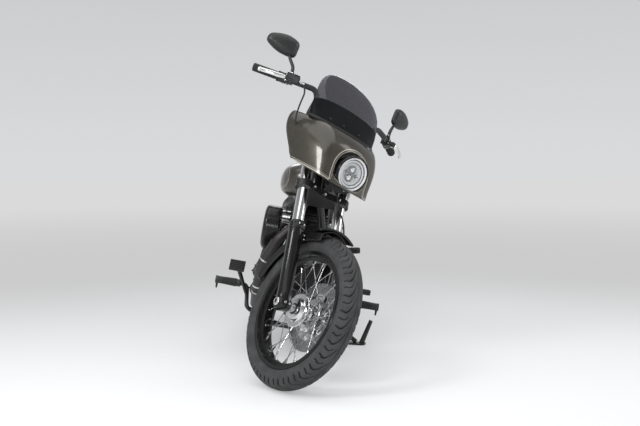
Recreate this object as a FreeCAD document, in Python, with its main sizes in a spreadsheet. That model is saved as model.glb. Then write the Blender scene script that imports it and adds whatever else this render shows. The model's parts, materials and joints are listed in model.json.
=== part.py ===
import FreeCAD, Part
import math
import os

import Sketcher
from FreeCAD import Placement, Rotation, Vector

# Driving sizes, in millimetres and degrees. The upright build frame has x to the
# rider's left, y to the rear and z up, with its origin on the ground below the front axle.
SIZES = {
    # Stance
    "wheelbase": 1630,
    "rake": 29,
    "fork_offset": 56.4,
    "lean": 10.3,
    "steering_lock": 38,
    "fit_gap": 0.3,
    "running_gap": 0.05,
    # Front wheel
    "front_radius": 331,
    "front_half_width": 50,
    "front_seat_radius": 243.7,
    "front_flange_radius": 255,
    "front_bead_half": 38,
    "front_hub_half": 60,
    "front_hub_radius": 42,
    "front_disc_radius": 150,
    "front_spokes": 40,
    # Rear wheel
    "rear_radius": 328,
    "rear_half_width": 80,
    "rear_seat_radius": 218,
    "rear_flange_radius": 230,
    "rear_bead_half": 58,
    "rear_hub_half": 87,
    "rear_hub_radius": 36,
    "rear_disc_radius": 146,
    "rear_spokes": 40,
    # Both wheels
    "tyre_wall": 9,
    "rim_wall": 4,
    "rim_drop": 16,
    "spoke_radius": 2.2,
    "spoke_end_gap": 0.9,
    "hub_flange_height": 16,
    "hub_flange_width": 6,
    "disc_thickness": 5,
    "disc_ring_width": 48,
    "disc_window_radius": 13,
    "disc_windows": 7,
    "pad_gap": 2,
    "axle_radius": 12,
    "axle_bore": 8,
    "spacer_radius": 18,
    # Belt drive
    "pulley_radius": 156,
    "gearbox_pulley_radius": 71,
    "belt_width": 26,
    "belt_thickness": 4,
    "belt_gap": 1,
    "pulley_windows": 5,
    "pulley_window_radius": 34,
    # Fork
    "fork_spacing": 108,
    "fork_tube_radius": 24.5,
    "slider_radius": 31,
    "slider_length": 364,
    "slider_tail": 26,
    "tube_engagement": 60,
    "lower_clamp_height": 531,
    "clamp_thickness": 30,
    "upper_clamp_height": 735,
    "clamp_boss_radius": 39,
    "stem_radius": 14,
    "head_tube_radius": 27,
    "bearing_gap": 0.6,
    "riser_spacing": 45,
    "riser_radius": 17,
    # Handlebar and its fittings
    "bar_radius": 12.7,
    "bar_bore": 10.5,
    "bar_bore_depth": 60,
    "bar_forward": 68.2,
    "bar_height": 815.5,
    "bar_shoulder": 190,
    "bar_rise": 128,
    "bar_bend": 55,
    "grip_start_x": 262,
    "grip_start_y": 421,
    "grip_start_z": 1195,
    "grip_end_x": 441,
    "grip_end_y": 553,
    "grip_end_z": 1169,
    "grip_length": 122,
    "grip_radius": 17.5,
    "switch_length": 46,
    "switch_radius": 23,
    "lever_reach": 58,
    "lever_length": 165,
    "lever_radius": 6,
    "lever_ball_radius": 9,
    "mirror_width": 150,
    "mirror_height": 92,
    "mirror_depth": 34,
    "mirror_stalk_radius": 6,
    "master_length": 62,
    "master_width": 34,
    "master_height": 32,
    "hose_radius": 3.6,
    "banjo_radius": 8,
    # Headlight and fairing
    "headlight_y": 128,
    "headlight_z": 941,
    "headlight_radius": 80,
    "headlight_bezel": 22,
    "headlight_depth": 120,
    "headlight_gap": 7,
    "fairing_wall": 4,
    "fairing_half_width": 230,
    "bracket_ring_height": 640,
    "bracket_ring_length": 26,
    "bracket_ring_wall": 8,
    "bracket_arm_radius": 6,
    "bracket_pad_radius": 12,
    "bracket_pad_thickness": 4,
    "shield_wall": 4,
    "shield_top_radius": 120,
    # Front fender
    "front_fender_half": 65,
    "front_fender_radius": 357,
    "front_fender_skirt": 300,
    "front_fender_start": 6,
    "front_fender_sweep": 78,
    "fender_wall": 4,
    # Frame
    "pivot_y": 1180,
    "pivot_z": 340,
    "frame_tube_radius": 16,
    "cross_tube_radius": 13,
    "backbone_radius": 22,
    "cradle_half": 125,
    "cradle_height": 150,
    "seat_rail_radius": 13,
    "pivot_plate_inside": 147,
    "pivot_plate_thickness": 12,
    "pivot_bolt_radius": 11,
    # Engine
    "crank_y": 715,
    "crank_z": 350,
    "cylinder_angle": 22.5,
    "case_half": 95,
    "case_radius": 132,
    "barrel_start": 118,
    "fin_start": 190,
    "fin_end": 306,
    "fin_pitch": 12.6,
    "fin_thickness": 4,
    "fin_radius": 72,
    "barrel_radius": 52,
    "head_height": 58,
    "rocker_height": 36,
    "rocker_gap": 6,
    "primary_inside": 118,
    "primary_outside": 190,
    "primary_front_radius": 104,
    "primary_rear_radius": 96,
    "clutch_y": 1000,
    "clutch_z": 335,
    "air_cleaner_radius": 107,
    "air_cleaner_inside": 140,
    "air_cleaner_outside": 217,
    "intake_radius": 21,
    # Exhaust
    "header_radius": 22,
    "muffler_radius": 40,
    "header_x": 186,
    "muffler_x": 212,
    "lower_muffler_end": 1590,
    "upper_muffler_end": 1490,
    # Tank and seat
    "tank_half": 147,
    "tank_low": 745,
    "tank_high": 934,
    "tunnel_gap": 6,
    "gauge_radius": 46,
    "cap_radius": 30,
    "seat_half": 165,
    "seat_low_height": 686,
    # Rear end
    "rear_fender_half": 94,
    "rear_fender_radius": 369,
    "rear_fender_skirt": 318,
    "rear_fender_start": 14,
    "rear_fender_sweep": 136,
    "strut_thickness": 12,
    "swing_arm_inside": 122,
    "swing_arm_thickness": 24,
    "swing_arm_height": 50,
    "shock_x": 160,
    "shock_radius": 27,
    "shock_foot_ahead": 70,
    "shock_foot_rise": 14,
    "shock_head_ahead": 230,
    "shock_head_height": 612,
    "shock_stud_radius": 9,
    "lamp_radius": 30,
    "plate_width": 178,
    "plate_height": 118,
    "plate_thickness": 3,
    # Foot gear and stand
    "peg_end": 411,
    "peg_y": 811,
    "peg_z": 274,
    "peg_radius": 17,
    "peg_length": 112,
    "stand_foot_x": 342,
    "stand_foot_y": 846,
    "stand_pivot_x": 160,
    "stand_pivot_y": 900,
    "stand_fold": 95,
    "stand_pin_radius": 6,
    "stand_knuckle_radius": 14,
    "stand_knuckle_half": 12,
    "stand_ear_thickness": 5,
    "stand_leg_radius": 11,
    "stand_pad_length": 96,
    "stand_pad_width": 50,
    "stand_pad_thickness": 9,
    "stand_post_height": 126,
    "stand_post_radius": 13,
}

doc = FreeCAD.newDocument("cruiser_motorcycle")
sheet = doc.addObject("Spreadsheet::Sheet", "Sizes")
X_AXIS = Vector(1, 0, 0)
Y_AXIS = Vector(0, 1, 0)
Z_AXIS = Vector(0, 0, 1)


class Dim:
    """A size that carries its value and the formula it has on the sheet."""

    def __init__(self, value, text):
        self.value = float(value)
        self.text = text

    def __float__(self):
        return self.value

    def __neg__(self):
        return Dim(-self.value, f"(0 - {self.text})")

    def __add__(self, other):
        other = dim(other)
        return Dim(self.value + other.value, f"({self.text} + {other.text})")

    def __sub__(self, other):
        other = dim(other)
        return Dim(self.value - other.value, f"({self.text} - {other.text})")

    def __mul__(self, other):
        other = dim(other)
        return Dim(self.value * other.value, f"({self.text} * {other.text})")

    def __truediv__(self, other):
        other = dim(other)
        return Dim(self.value / other.value, f"({self.text} / {other.text})")

    def __radd__(self, other):
        return dim(other) + self

    def __rsub__(self, other):
        return dim(other) - self

    def __rmul__(self, other):
        return dim(other) * self


def dim(value):
    """Give a plain number the same form as a size from the sheet."""
    if isinstance(value, Dim):
        return value
    if value < 0:
        return Dim(value, f"(0 - {-value})")
    return Dim(value, f"{value}")


class Cells:
    """Reads the sheet's cells by their aliases."""

    def __getattr__(self, alias):
        return Dim(getattr(sheet, alias), f"Sizes.{alias}")


S = Cells()


def fill_sheet():
    """Write every driving size into its own cell with its alias."""
    for row, (alias, value) in enumerate(SIZES.items(), start=1):
        sheet.set(f"A{row}", alias)
        sheet.set(f"B{row}", str(value))
        sheet.setAlias(f"B{row}", alias)
    doc.recompute()


fill_sheet()


# General helpers

def vec(x, y, z):
    """A vector from numbers or sizes."""
    return Vector(float(x), float(y), float(z))


def bind(obj, prop, value):
    """Set a property, and tie it to the sheet where the value comes from there."""
    if isinstance(value, Dim):
        obj.setExpression(prop, value.text)
    elif "." not in prop and "[" not in prop:
        setattr(obj, prop, value)


def put(obj, base, rotation=None):
    """Place an object, with each coordinate tied to the sheet."""
    obj.Placement = Placement(vec(*base), rotation or Rotation())
    for axis, value in zip("xyz", base):
        bind(obj, f"Placement.Base.{axis}", value)
    return obj


def along(direction):
    """The rotation that turns the z axis to a direction."""
    return Rotation(Z_AXIS, Vector(*direction))


def cylinder(name, radius, height, base=(0, 0, 0), direction=(0, 0, 1)):
    """A Part cylinder from its base point along a direction."""
    obj = doc.addObject("Part::Cylinder", name)
    bind(obj, "Radius", radius)
    bind(obj, "Height", height)
    return put(obj, base, along(direction))


def cone(name, radius_low, radius_high, height, base=(0, 0, 0), direction=(0, 0, 1)):
    """A Part cone from its base point along a direction."""
    obj = doc.addObject("Part::Cone", name)
    bind(obj, "Radius1", radius_low)
    bind(obj, "Radius2", radius_high)
    bind(obj, "Height", height)
    return put(obj, base, along(direction))


def ball(name, radius, base):
    """A Part sphere."""
    obj = doc.addObject("Part::Sphere", name)
    bind(obj, "Radius", radius)
    return put(obj, base)


def block(name, low, sizes, rotation=None):
    """A Part box from its low corner."""
    obj = doc.addObject("Part::Box", name)
    for prop, value in zip(("Length", "Width", "Height"), sizes):
        bind(obj, prop, value)
    return put(obj, low, rotation)


def fuse(name, parts):
    """Join solids into one."""
    obj = doc.addObject("Part::MultiFuse", name)
    obj.Shapes = parts
    return obj


def cut(name, base, tool):
    """Take one solid out of another."""
    obj = doc.addObject("Part::Cut", name)
    obj.Base = base
    obj.Tool = tool
    return obj


def common(name, base, tool):
    """Keep what two solids share."""
    obj = doc.addObject("Part::Common", name)
    obj.Base = base
    obj.Tool = tool
    return obj


def together(name, parts):
    """Hold separate solids as one piece of the part."""
    obj = doc.addObject("Part::Compound", name)
    obj.Links = parts
    return obj


def mirrored(name, source):
    """The same piece on the other side of the middle plane."""
    obj = doc.addObject("Part::Mirroring", name)
    obj.Source = source
    obj.Normal = X_AXIS
    return obj


def shaped(name, shape, placement=None):
    """A piece whose form comes from Part's own functions."""
    obj = doc.addObject("Part::Feature", name)
    obj.Shape = shape
    if placement is not None:
        obj.Placement = placement
    return obj


def rounded_path(points, bend):
    """Straight runs joined by tangent arcs of one radius, less where a run is short."""
    points = [Vector(*point) for point in points]
    corners = []
    for before, corner, after in zip(points, points[1:], points[2:]):
        back = before - corner
        ahead = after - corner
        half_turn = (math.pi - back.getAngle(ahead)) / 2
        reach = min(float(bend) * math.tan(half_turn), 0.45 * min(back.Length, ahead.Length))
        back.normalize()
        ahead.normalize()
        radius = reach / math.tan(half_turn)
        middle = back + ahead
        middle.normalize()
        crown = corner + middle * (radius / math.cos(half_turn) - radius)
        corners.append((corner + back * reach, crown, corner + ahead * reach))
    edges = []
    start = points[0]
    for first, crown, last in corners:
        if (first - start).Length > 0.01:
            edges.append(Part.LineSegment(start, first).toShape())
        edges.append(Part.Arc(first, crown, last).toShape())
        start = last
    edges.append(Part.LineSegment(start, points[-1]).toShape())
    return Part.Wire(edges)


def tube_shape(points, radius, bend):
    """A round bar bent along a route."""
    path = rounded_path(points, bend)
    start = Vector(*points[0])
    heading = Vector(*points[1]) - start
    ring = Part.Wire([Part.Circle(start, heading, float(radius)).toShape()])
    return path.makePipeShell([ring], True, False)


def tube(name, points, radius, bend):
    """A round bar bent along a route, whose points may be sizes."""
    return shaped(name, tube_shape([vec(*point) for point in points], radius, bend))


def loop(points):
    """A closed smooth curve through points."""
    curve = Part.BSplineCurve()
    curve.interpolate(Points=[Vector(*point) for point in points], PeriodicFlag=True)
    return Part.Wire([curve.toShape()])


def loaf(y, half, low, high, shoulder=0.78, belly=0.42):
    """A rounded cross-section of a tank or seat, flat below and crowned above."""
    rise = high - low
    side = [
        (half * 0.55, low + rise * 0.02),
        (half * 0.92, low + rise * 0.16),
        (half, low + rise * belly),
        (half * 0.86, low + rise * shoulder),
        (half * 0.48, low + rise * 0.965),
    ]
    right = [(-x, y, z) for x, z in reversed(side)]
    left = [(x, y, z) for x, z in side]
    return loop([(0, y, low)] + left + [(0, y, high)] + right)


def lofted(name, sections):
    """A solid skinned over closed sections."""
    return shaped(name, Part.makeLoft(sections, True, False))


# Bodies with sketches

def origin_part(body, role):
    """One plane or axis of a body's own origin."""
    return next(item for item in body.Origin.OriginFeatures if item.Role == role)


def new_body(name):
    """An empty body."""
    return doc.addObject("PartDesign::Body", name)


def new_sketch(body, name, plane, offset=None):
    """A sketch on one of the body's origin planes, moved along its normal if asked."""
    sketch = body.newObject("Sketcher::SketchObject", name)
    sketch.AttachmentSupport = (origin_part(body, plane), "")
    sketch.MapMode = "FlatFace"
    if offset is not None:
        sketch.AttachmentOffset = Placement(vec(0, 0, offset), Rotation())
        bind(sketch, "AttachmentOffset.Base.z", offset)
    return sketch


def fix_value(sketch, kind, references, value):
    """Add one dimension and tie it to the sheet."""
    value = dim(value)
    if kind in ("DistanceX", "DistanceY") and value.value == 0 and "Sizes" not in value.text:
        axis = -2 if kind == "DistanceX" else -1
        sketch.addConstraint(Sketcher.Constraint("PointOnObject", references[2], references[3], axis))
        return
    index = sketch.addConstraint(Sketcher.Constraint(kind, *references, value.value))
    if "Sizes" in value.text:
        sketch.setExpression(f"Constraints[{index}]", value.text)


def draw_outline(sketch, corners):
    """Draw a closed outline of lines and arcs.

    Each corner is (x, y) or (x, y, rise), where rise bulges the edge that leaves the
    corner to the left of the way it goes, or to the right where it is negative.
    """
    first = len(sketch.Geometry)
    count = len(corners)
    joints = []
    for index, corner in enumerate(corners):
        after = corners[(index + 1) % count]
        start = vec(corner[0], corner[1], 0)
        end = vec(after[0], after[1], 0)
        geometry = first + index
        if len(corner) == 2:
            sketch.addGeometry(Part.LineSegment(start, end), False)
            joints.append(((geometry, 1), (geometry, 2), None))
            continue
        rise = dim(corner[2])
        run = end - start
        left = Vector(-run.y, run.x, 0)
        left.normalize()
        crown = (start + end) / 2 + left * rise.value
        span_x = dim(after[0]) - corner[0]
        span_y = dim(after[1]) - corner[1]
        chord_share = (span_x * span_x + span_y * span_y) / 4
        sweep = rise if rise.value > 0 else -rise
        if abs(run.Length / 2 - sweep.value) > 0.01:
            fixing = ("Radius", (geometry,), (chord_share + sweep * sweep) / (sweep * 2))
        elif abs(run.x) > abs(run.y):
            fixing = ("DistanceY", (-1, 1, geometry, 3), dim(corner[1]) + span_y / 2)
        else:
            fixing = ("DistanceX", (-1, 1, geometry, 3), dim(corner[0]) + span_x / 2)
        if rise.value > 0:
            sketch.addGeometry(Part.Arc(end, crown, start), False)
            joints.append(((geometry, 2), (geometry, 1), fixing))
        else:
            sketch.addGeometry(Part.Arc(start, crown, end), False)
            joints.append(((geometry, 1), (geometry, 2), fixing))
    for index, (_, end, _) in enumerate(joints):
        begin = joints[(index + 1) % count][0]
        sketch.addConstraint(Sketcher.Constraint("Coincident", *end, *begin))
    for corner, (begin, _, _) in zip(corners, joints):
        fix_value(sketch, "DistanceX", (-1, 1, *begin), corner[0])
        fix_value(sketch, "DistanceY", (-1, 1, *begin), corner[1])
    for _, _, fixing in joints:
        if fixing is not None:
            fix_value(sketch, *fixing)


def draw_circle(sketch, x, y, radius):
    """Draw a circle fixed by its centre and radius."""
    index = sketch.addGeometry(
        Part.Circle(vec(x, y, 0), Z_AXIS, float(radius)), False)
    fix_value(sketch, "DistanceX", (-1, 1, index, 3), x)
    fix_value(sketch, "DistanceY", (-1, 1, index, 3), y)
    fix_value(sketch, "Radius", (index,), radius)


def revolve(body, name, sketch, axis, angle=360):
    """Turn a sketch about one of the body's axes."""
    feature = body.newObject("PartDesign::Revolution", name)
    feature.Profile = sketch
    feature.ReferenceAxis = (origin_part(body, axis), [""])
    bind(feature, "Angle", angle)
    return feature


def pad(body, name, sketch, length, middle=False):
    """Raise a sketch into a solid."""
    feature = body.newObject("PartDesign::Pad", name)
    feature.Profile = sketch
    bind(feature, "Length", length)
    feature.Midplane = middle
    return feature


def pocket(body, name, sketch):
    """Cut a sketch right through, both ways."""
    feature = body.newObject("PartDesign::Pocket", name)
    feature.Profile = sketch
    feature.Type = "ThroughAll"
    feature.Midplane = True
    return feature


def around(body, name, feature, axis, count):
    """Repeat a feature evenly about one of the body's axes."""
    pattern = body.newObject("PartDesign::PolarPattern", name)
    pattern.Originals = [feature]
    pattern.Axis = (origin_part(body, axis), [""])
    pattern.Angle = 360
    bind(pattern, "Occurrences", count)
    body.Tip = pattern
    return pattern


# Stance: the steering axis, the lean and the height at which both tyres meet the floor

def axis_direction():
    """The steering axis, pointing up."""
    angle = math.radians(float(S.rake))
    return Vector(0, math.sin(angle), math.cos(angle))


def axis_foot():
    """The point of the steering axis level with the front axle along the fork."""
    angle = math.radians(float(S.rake))
    forward = Vector(0, -math.cos(angle), math.sin(angle))
    return vec(0, 0, S.front_radius) - forward * float(S.fork_offset)


FORK_IN_BIKE = Placement(axis_foot(), Rotation(X_AXIS, -float(S.rake)))
STEER = Placement(Vector(), Rotation(axis_direction(), float(S.steering_lock)), axis_foot())
FRONT_AXLE = vec(0, 0, S.front_radius)
REAR_AXLE = vec(0, S.wheelbase, S.rear_radius)


def floor_gap(pose, axle, across, radius, half_width):
    """Height of a tyre's lowest point, with a round crown as wide as the tyre."""
    centre = pose.multVec(axle)
    lean_part = pose.Rotation.multVec(across).z
    reach = (radius - half_width) * math.sqrt(1 - lean_part ** 2) + half_width
    return centre.z - reach


def stance():
    """The pose that leans the bike and sets both tyres on the floor."""
    lean = Rotation(Y_AXIS, float(S.lean))
    pitch = 0
    height = 0
    steered_across = STEER.Rotation.multVec(X_AXIS)
    for _ in range(12):
        pose = Placement(Vector(0, 0, height), Rotation(X_AXIS, pitch) * lean)
        front = floor_gap(pose, STEER.multVec(FRONT_AXLE), steered_across,
                          float(S.front_radius), float(S.front_half_width))
        rear = floor_gap(pose, REAR_AXLE, X_AXIS,
                         float(S.rear_radius), float(S.rear_half_width))
        height -= (front + rear) / 2
        pitch += math.degrees(math.atan2(front - rear, float(S.wheelbase)))
    return pose


CHASSIS = stance()
STEERING = CHASSIS * STEER
FORK = STEERING * FORK_IN_BIKE
FRONT_WHEEL = STEERING * Placement(FRONT_AXLE, Rotation())
REAR_WHEEL = CHASSIS * Placement(REAR_AXLE, Rotation())
WORLD = Placement()
NODES = {}


def node(label, obj, frame):
    """Name a finished piece and pose it with its body."""
    obj.Label = label
    obj.Placement = frame * obj.Placement
    NODES[label] = obj


def upright(label, frame):
    """The shape of a finished piece, back in the upright build frame."""
    shape = NODES[label].Shape.copy()
    shape.Placement = frame.inverse() * shape.Placement
    return shape


def fitted(name, obj, *labels, frame=CHASSIS):
    """A piece cut to seat on finished pieces of its own body that stand beside it."""
    doc.recompute()
    seats = [upright(label, frame) for label in labels]
    return cut(name, obj, shaped(f"{name}_seats", Part.makeCompound(seats)))


# Wheels

def tyre(label, radius, half, seat, flange, bead, frame):
    """A tyre as a turned casing, open to the rim."""
    wall = S.tyre_wall
    shoulder = radius - half
    lip = flange + S.fit_gap
    foot = seat + S.fit_gap
    edge = bead - S.fit_gap
    bulge = (half - bead) / 4
    body = new_body(f"{label}_body")
    sketch = new_sketch(body, f"{label}_section", "XY_Plane")
    draw_outline(sketch, [
        (edge, foot),
        (edge, lip, -bulge),
        (half, shoulder, -half),
        (-half, shoulder, -bulge),
        (-edge, lip),
        (-edge, foot),
        (wall - edge, foot),
        (wall - edge, lip, bulge),
        (wall - half, shoulder, half - wall),
        (half - wall, shoulder, bulge),
        (edge - wall, lip),
        (edge - wall, foot),
    ])
    revolve(body, f"{label}_turned", sketch, "X_Axis")
    node(label, body, frame)


def rim(label, seat, flange, bead, frame):
    """A drop-centre rim."""
    wall = S.rim_wall
    well = seat - S.rim_drop
    body = new_body(f"{label}_body")
    sketch = new_sketch(body, f"{label}_section", "XY_Plane")
    draw_outline(sketch, [
        (bead + wall, flange),
        (bead, flange),
        (bead, seat),
        (bead * 0.5, seat - wall),
        (bead * 0.38, well),
        (bead * -0.38, well),
        (bead * -0.5, seat - wall),
        (-bead, seat),
        (-bead, flange),
        (-bead - wall, flange),
        (-bead - wall, seat - wall),
        (bead * -0.5 - wall, seat - wall * 2),
        (bead * -0.38 - wall, well - wall),
        (bead * 0.38 + wall, well - wall),
        (bead * 0.5 + wall, seat - wall * 2),
        (bead + wall, seat - wall),
    ])
    revolve(body, f"{label}_turned", sketch, "X_Axis")
    node(label, body, frame)


def spoked_hub(label, half, right_half, radius, inner_rim, count, frame):
    """A turned hub with two flanges, and the spokes that run from it to the rim."""
    flange = radius + S.hub_flange_height
    left_face = half * 0.62
    right_face = right_half * 0.62
    width = S.hub_flange_width
    bore = S.axle_radius + S.fit_gap
    body = new_body(f"{label}_body")
    sketch = new_sketch(body, f"{label}_section", "XY_Plane")
    draw_outline(sketch, [
        (half, bore),
        (half, radius),
        (left_face, radius),
        (left_face, flange),
        (left_face - width, flange),
        (left_face - width * 2, radius * 0.8),
        (width * 2 - right_face, radius * 0.8),
        (width - right_face, flange),
        (-right_face, flange),
        (-right_face, radius),
        (-right_half, radius),
        (-right_half, bore),
    ])
    revolve(body, f"{label}_turned", sketch, "X_Axis")
    spokes = []
    total = int(float(count))
    anchor = float(flange) - float(width)
    thin = float(S.spoke_radius)
    reach = float(inner_rim) - float(S.spoke_end_gap)
    for index in range(total):
        side = 1 if index % 2 else -1
        face = float(left_face if side > 0 else right_face)
        outer = (index // 2) % 2
        depth = thin if outer else float(width) - thin
        lead = 1 if outer else -1
        rim_angle = 2 * math.pi * index / total
        hub_angle = rim_angle + lead * math.radians(52)
        start = Vector(side * (face - depth), anchor * math.cos(hub_angle), anchor * math.sin(hub_angle))
        end = Vector(side * 7, reach * math.cos(rim_angle), reach * math.sin(rim_angle))
        run = end - start
        spokes.append(Part.makeCylinder(thin, run.Length, start, run))
    wires = shaped(f"{label}_spokes", spokes[0].multiFuse(spokes[1:]))
    node(label, fuse(f"{label}_laced", [body, wires]), frame)


def disc(label, radius, inner, outer_face, frame):
    """A brake disc with windows between the ring and its carrier."""
    body = new_body(f"{label}_body")
    sketch = new_sketch(body, f"{label}_outline", "YZ_Plane", outer_face)
    draw_circle(sketch, 0, 0, radius)
    draw_circle(sketch, 0, 0, inner)
    pad(body, f"{label}_plate", sketch, S.disc_thickness)
    window = new_sketch(body, f"{label}_window", "YZ_Plane", outer_face)
    draw_circle(window, radius - S.disc_ring_width - S.disc_window_radius, 0, S.disc_window_radius)
    hole = pocket(body, f"{label}_cut", window)
    around(body, f"{label}_windows", hole, "X_Axis", S.disc_windows)
    node(label, body, frame)


def front_wheel():
    """The wheel in the fork: tyre, rim, laced hub and one disc on the left."""
    tyre("front_tyre", S.front_radius, S.front_half_width, S.front_seat_radius,
         S.front_flange_radius, S.front_bead_half, FRONT_WHEEL)
    rim("front_rim", S.front_seat_radius, S.front_flange_radius, S.front_bead_half, FRONT_WHEEL)
    spoked_hub("front_hub", S.front_hub_half, S.front_hub_half * 0.8, S.front_hub_radius,
               S.front_seat_radius - S.rim_drop - S.rim_wall, S.front_spokes, FRONT_WHEEL)
    disc("front_disc", S.front_disc_radius, S.front_hub_radius, S.front_hub_half + S.fit_gap,
         FRONT_WHEEL)


def rear_wheel():
    """The driven wheel: tyre, rim, laced hub, disc on the right and pulley on the left."""
    tyre("rear_tyre", S.rear_radius, S.rear_half_width, S.rear_seat_radius,
         S.rear_flange_radius, S.rear_bead_half, REAR_WHEEL)
    rim("rear_rim", S.rear_seat_radius, S.rear_flange_radius, S.rear_bead_half, REAR_WHEEL)
    spoked_hub("rear_hub", S.rear_hub_half, S.rear_hub_half, S.rear_hub_radius,
               S.rear_seat_radius - S.rim_drop - S.rim_wall, S.rear_spokes, REAR_WHEEL)
    disc("rear_disc", S.rear_disc_radius, S.rear_hub_radius,
         -S.rear_hub_half - S.fit_gap - S.disc_thickness, REAR_WHEEL)
    body = new_body("rear_pulley_body")
    sketch = new_sketch(body, "rear_pulley_outline", "YZ_Plane", S.rear_hub_half + S.fit_gap)
    draw_circle(sketch, 0, 0, S.pulley_radius)
    draw_circle(sketch, 0, 0, S.axle_radius + S.fit_gap)
    pad(body, "rear_pulley_disc", sketch, S.belt_width)
    window = new_sketch(body, "rear_pulley_window", "YZ_Plane", S.rear_hub_half + S.fit_gap)
    draw_circle(window, S.pulley_radius * 0.6, 0, S.pulley_window_radius)
    hole = pocket(body, "rear_pulley_cut", window)
    around(body, "rear_pulley_windows", hole, "X_Axis", S.pulley_windows)
    node("rear_pulley", body, REAR_WHEEL)


def axle(label, half, spacers, frame):
    """A hollow axle with its spacers, lying across the bike."""
    rod = cylinder(f"{label}_rod", S.axle_radius, half * 2, (-half, 0, 0), (1, 0, 0))
    parts = [rod]
    for index, (start, end) in enumerate(spacers):
        parts.append(cylinder(f"{label}_spacer_{index}", S.spacer_radius, end - start,
                              (start, 0, 0), (1, 0, 0)))
    joined = fuse(f"{label}_with_spacers", parts)
    bore = cylinder(f"{label}_bore", S.axle_bore, half * 2 + 2, (-half - 1, 0, 0), (1, 0, 0))
    node(label, cut(f"{label}_hollow", joined, bore), frame)


# Fork and steering head

def head_middle():
    """The height of the head tube's middle, halfway between the clamps."""
    return (S.lower_clamp_height + S.clamp_thickness + S.upper_clamp_height) / 2


def fork_y():
    """The fork legs' line, ahead of the steering axis."""
    return -S.fork_offset


def sliders():
    """The two lower legs with their axle lugs."""
    leg = cylinder("slider_tube", S.slider_radius, S.slider_length + S.slider_tail,
                   (S.fork_spacing, fork_y(), -S.slider_tail))
    lug = cylinder("slider_lug", S.slider_radius - 4, S.slider_radius * 2 - 4,
                   (S.fork_spacing - S.slider_radius + 2, fork_y(), 0), (1, 0, 0))
    collar = cylinder("slider_collar", S.slider_radius + 3, S.slider_radius,
                      (S.fork_spacing, fork_y(), S.slider_length - S.slider_radius))
    whole = fuse("slider_whole", [leg, lug, collar])
    socket = cylinder("slider_socket", S.fork_tube_radius + S.fit_gap, S.tube_engagement + 1,
                      (S.fork_spacing, fork_y(), S.slider_length - S.tube_engagement))
    bore = cylinder("slider_axle_bore", S.axle_radius + S.fit_gap, S.slider_radius * 4,
                    (S.fork_spacing - S.slider_radius * 2, fork_y(), 0), (1, 0, 0))
    left = cut("slider_left", cut("slider_bored", whole, socket), bore)
    right = mirrored("slider_right", left)
    node("fork_legs", together("fork_legs_pair", [left, right]), FORK)


def fork_tube_top():
    """The height of the fork tubes' tops, just proud of the upper clamp."""
    return S.upper_clamp_height + S.clamp_thickness + 6


def fork_tubes():
    """The two bright upper tubes."""
    start = S.slider_length - S.tube_engagement + S.fit_gap
    left = cylinder("fork_tube_left", S.fork_tube_radius, fork_tube_top() - start,
                    (S.fork_spacing, fork_y(), start))
    right = mirrored("fork_tube_right", left)
    node("fork_tubes", together("fork_tubes_pair", [left, right]), FORK)


def clamp_plate(name, height):
    """One triple clamp: three bosses and the web between them."""
    boss = S.clamp_boss_radius
    body = new_body(f"{name}_body")
    sketch = new_sketch(body, f"{name}_outline", "XY_Plane", height)
    side = S.fork_spacing
    draw_outline(sketch, [
        (side, fork_y() - boss, boss * -0.28 + 1),
        (side + boss, fork_y(), boss * -0.28 + 1),
        (side, fork_y() + boss),
        (boss * 0.9, boss, -boss * 0.4),
        (boss * -0.9, boss),
        (-side, fork_y() + boss, boss * -0.28 + 1),
        (-side - boss, fork_y(), boss * -0.28 + 1),
        (-side, fork_y() - boss),
        (boss * -0.6, fork_y() - boss * 0.45),
        (boss * 0.6, fork_y() - boss * 0.45),
    ])
    pad(body, f"{name}_plate", sketch, S.clamp_thickness)
    holes = new_sketch(body, f"{name}_hole_sketch", "XY_Plane", height)
    draw_circle(holes, side, fork_y(), S.fork_tube_radius + S.fit_gap)
    draw_circle(holes, -side, fork_y(), S.fork_tube_radius + S.fit_gap)
    pocket(body, f"{name}_holes", holes)
    return body


def triple_clamps():
    """Both clamps with the stem between them and the risers for the bar."""
    lower = clamp_plate("lower_clamp", S.lower_clamp_height)
    upper = clamp_plate("upper_clamp", S.upper_clamp_height)
    stem_start = S.lower_clamp_height + S.clamp_thickness / 2
    stem = cylinder("stem", S.stem_radius, S.upper_clamp_height + S.clamp_thickness + 8 - stem_start,
                    (0, 0, stem_start))
    nut = cylinder("stem_nut", S.stem_radius + 6, 14,
                   (0, 0, S.upper_clamp_height + S.clamp_thickness - 1))
    riser_start = S.upper_clamp_height + S.clamp_thickness / 2
    risers = []
    for name, side in (("left", 1), ("right", -1)):
        risers.append(cylinder(f"riser_{name}", S.riser_radius,
                               S.bar_height + S.bar_radius + 8 - riser_start,
                               (side * S.riser_spacing, -S.bar_forward, riser_start)))
    whole = fuse("clamps_whole", [lower, upper, stem, nut] + risers)
    groove = cylinder("bar_seat", S.bar_radius + S.fit_gap, S.riser_spacing * 4,
                      (S.riser_spacing * -2, -S.bar_forward, S.bar_height), (1, 0, 0))
    node("triple_clamps", cut("clamps_bored", whole, groove), FORK)


def bike_point(x, y, z):
    """A point given along the fork, moved to the upright build frame."""
    return FORK_IN_BIKE.multVec(vec(x, y, z))


def bar_route():
    """The right-angled route of the handlebar's left half, from the middle out."""
    middle = bike_point(0, -S.bar_forward, S.bar_height)
    side = float(S.bar_shoulder)
    straight = Vector(side - 60, middle.y, middle.z)
    shoulder = Vector(side, middle.y + 16, middle.z + 2)
    knee = Vector(side + 24, middle.y + 40, middle.z + 50)
    top = Vector(side + 30, middle.y + 40, middle.z + float(S.bar_rise))
    inner = vec(S.grip_start_x, S.grip_start_y, S.grip_start_z)
    end = vec(S.grip_end_x, S.grip_end_y, S.grip_end_z)
    return [middle, straight, shoulder, knee, top, inner, end]


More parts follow.
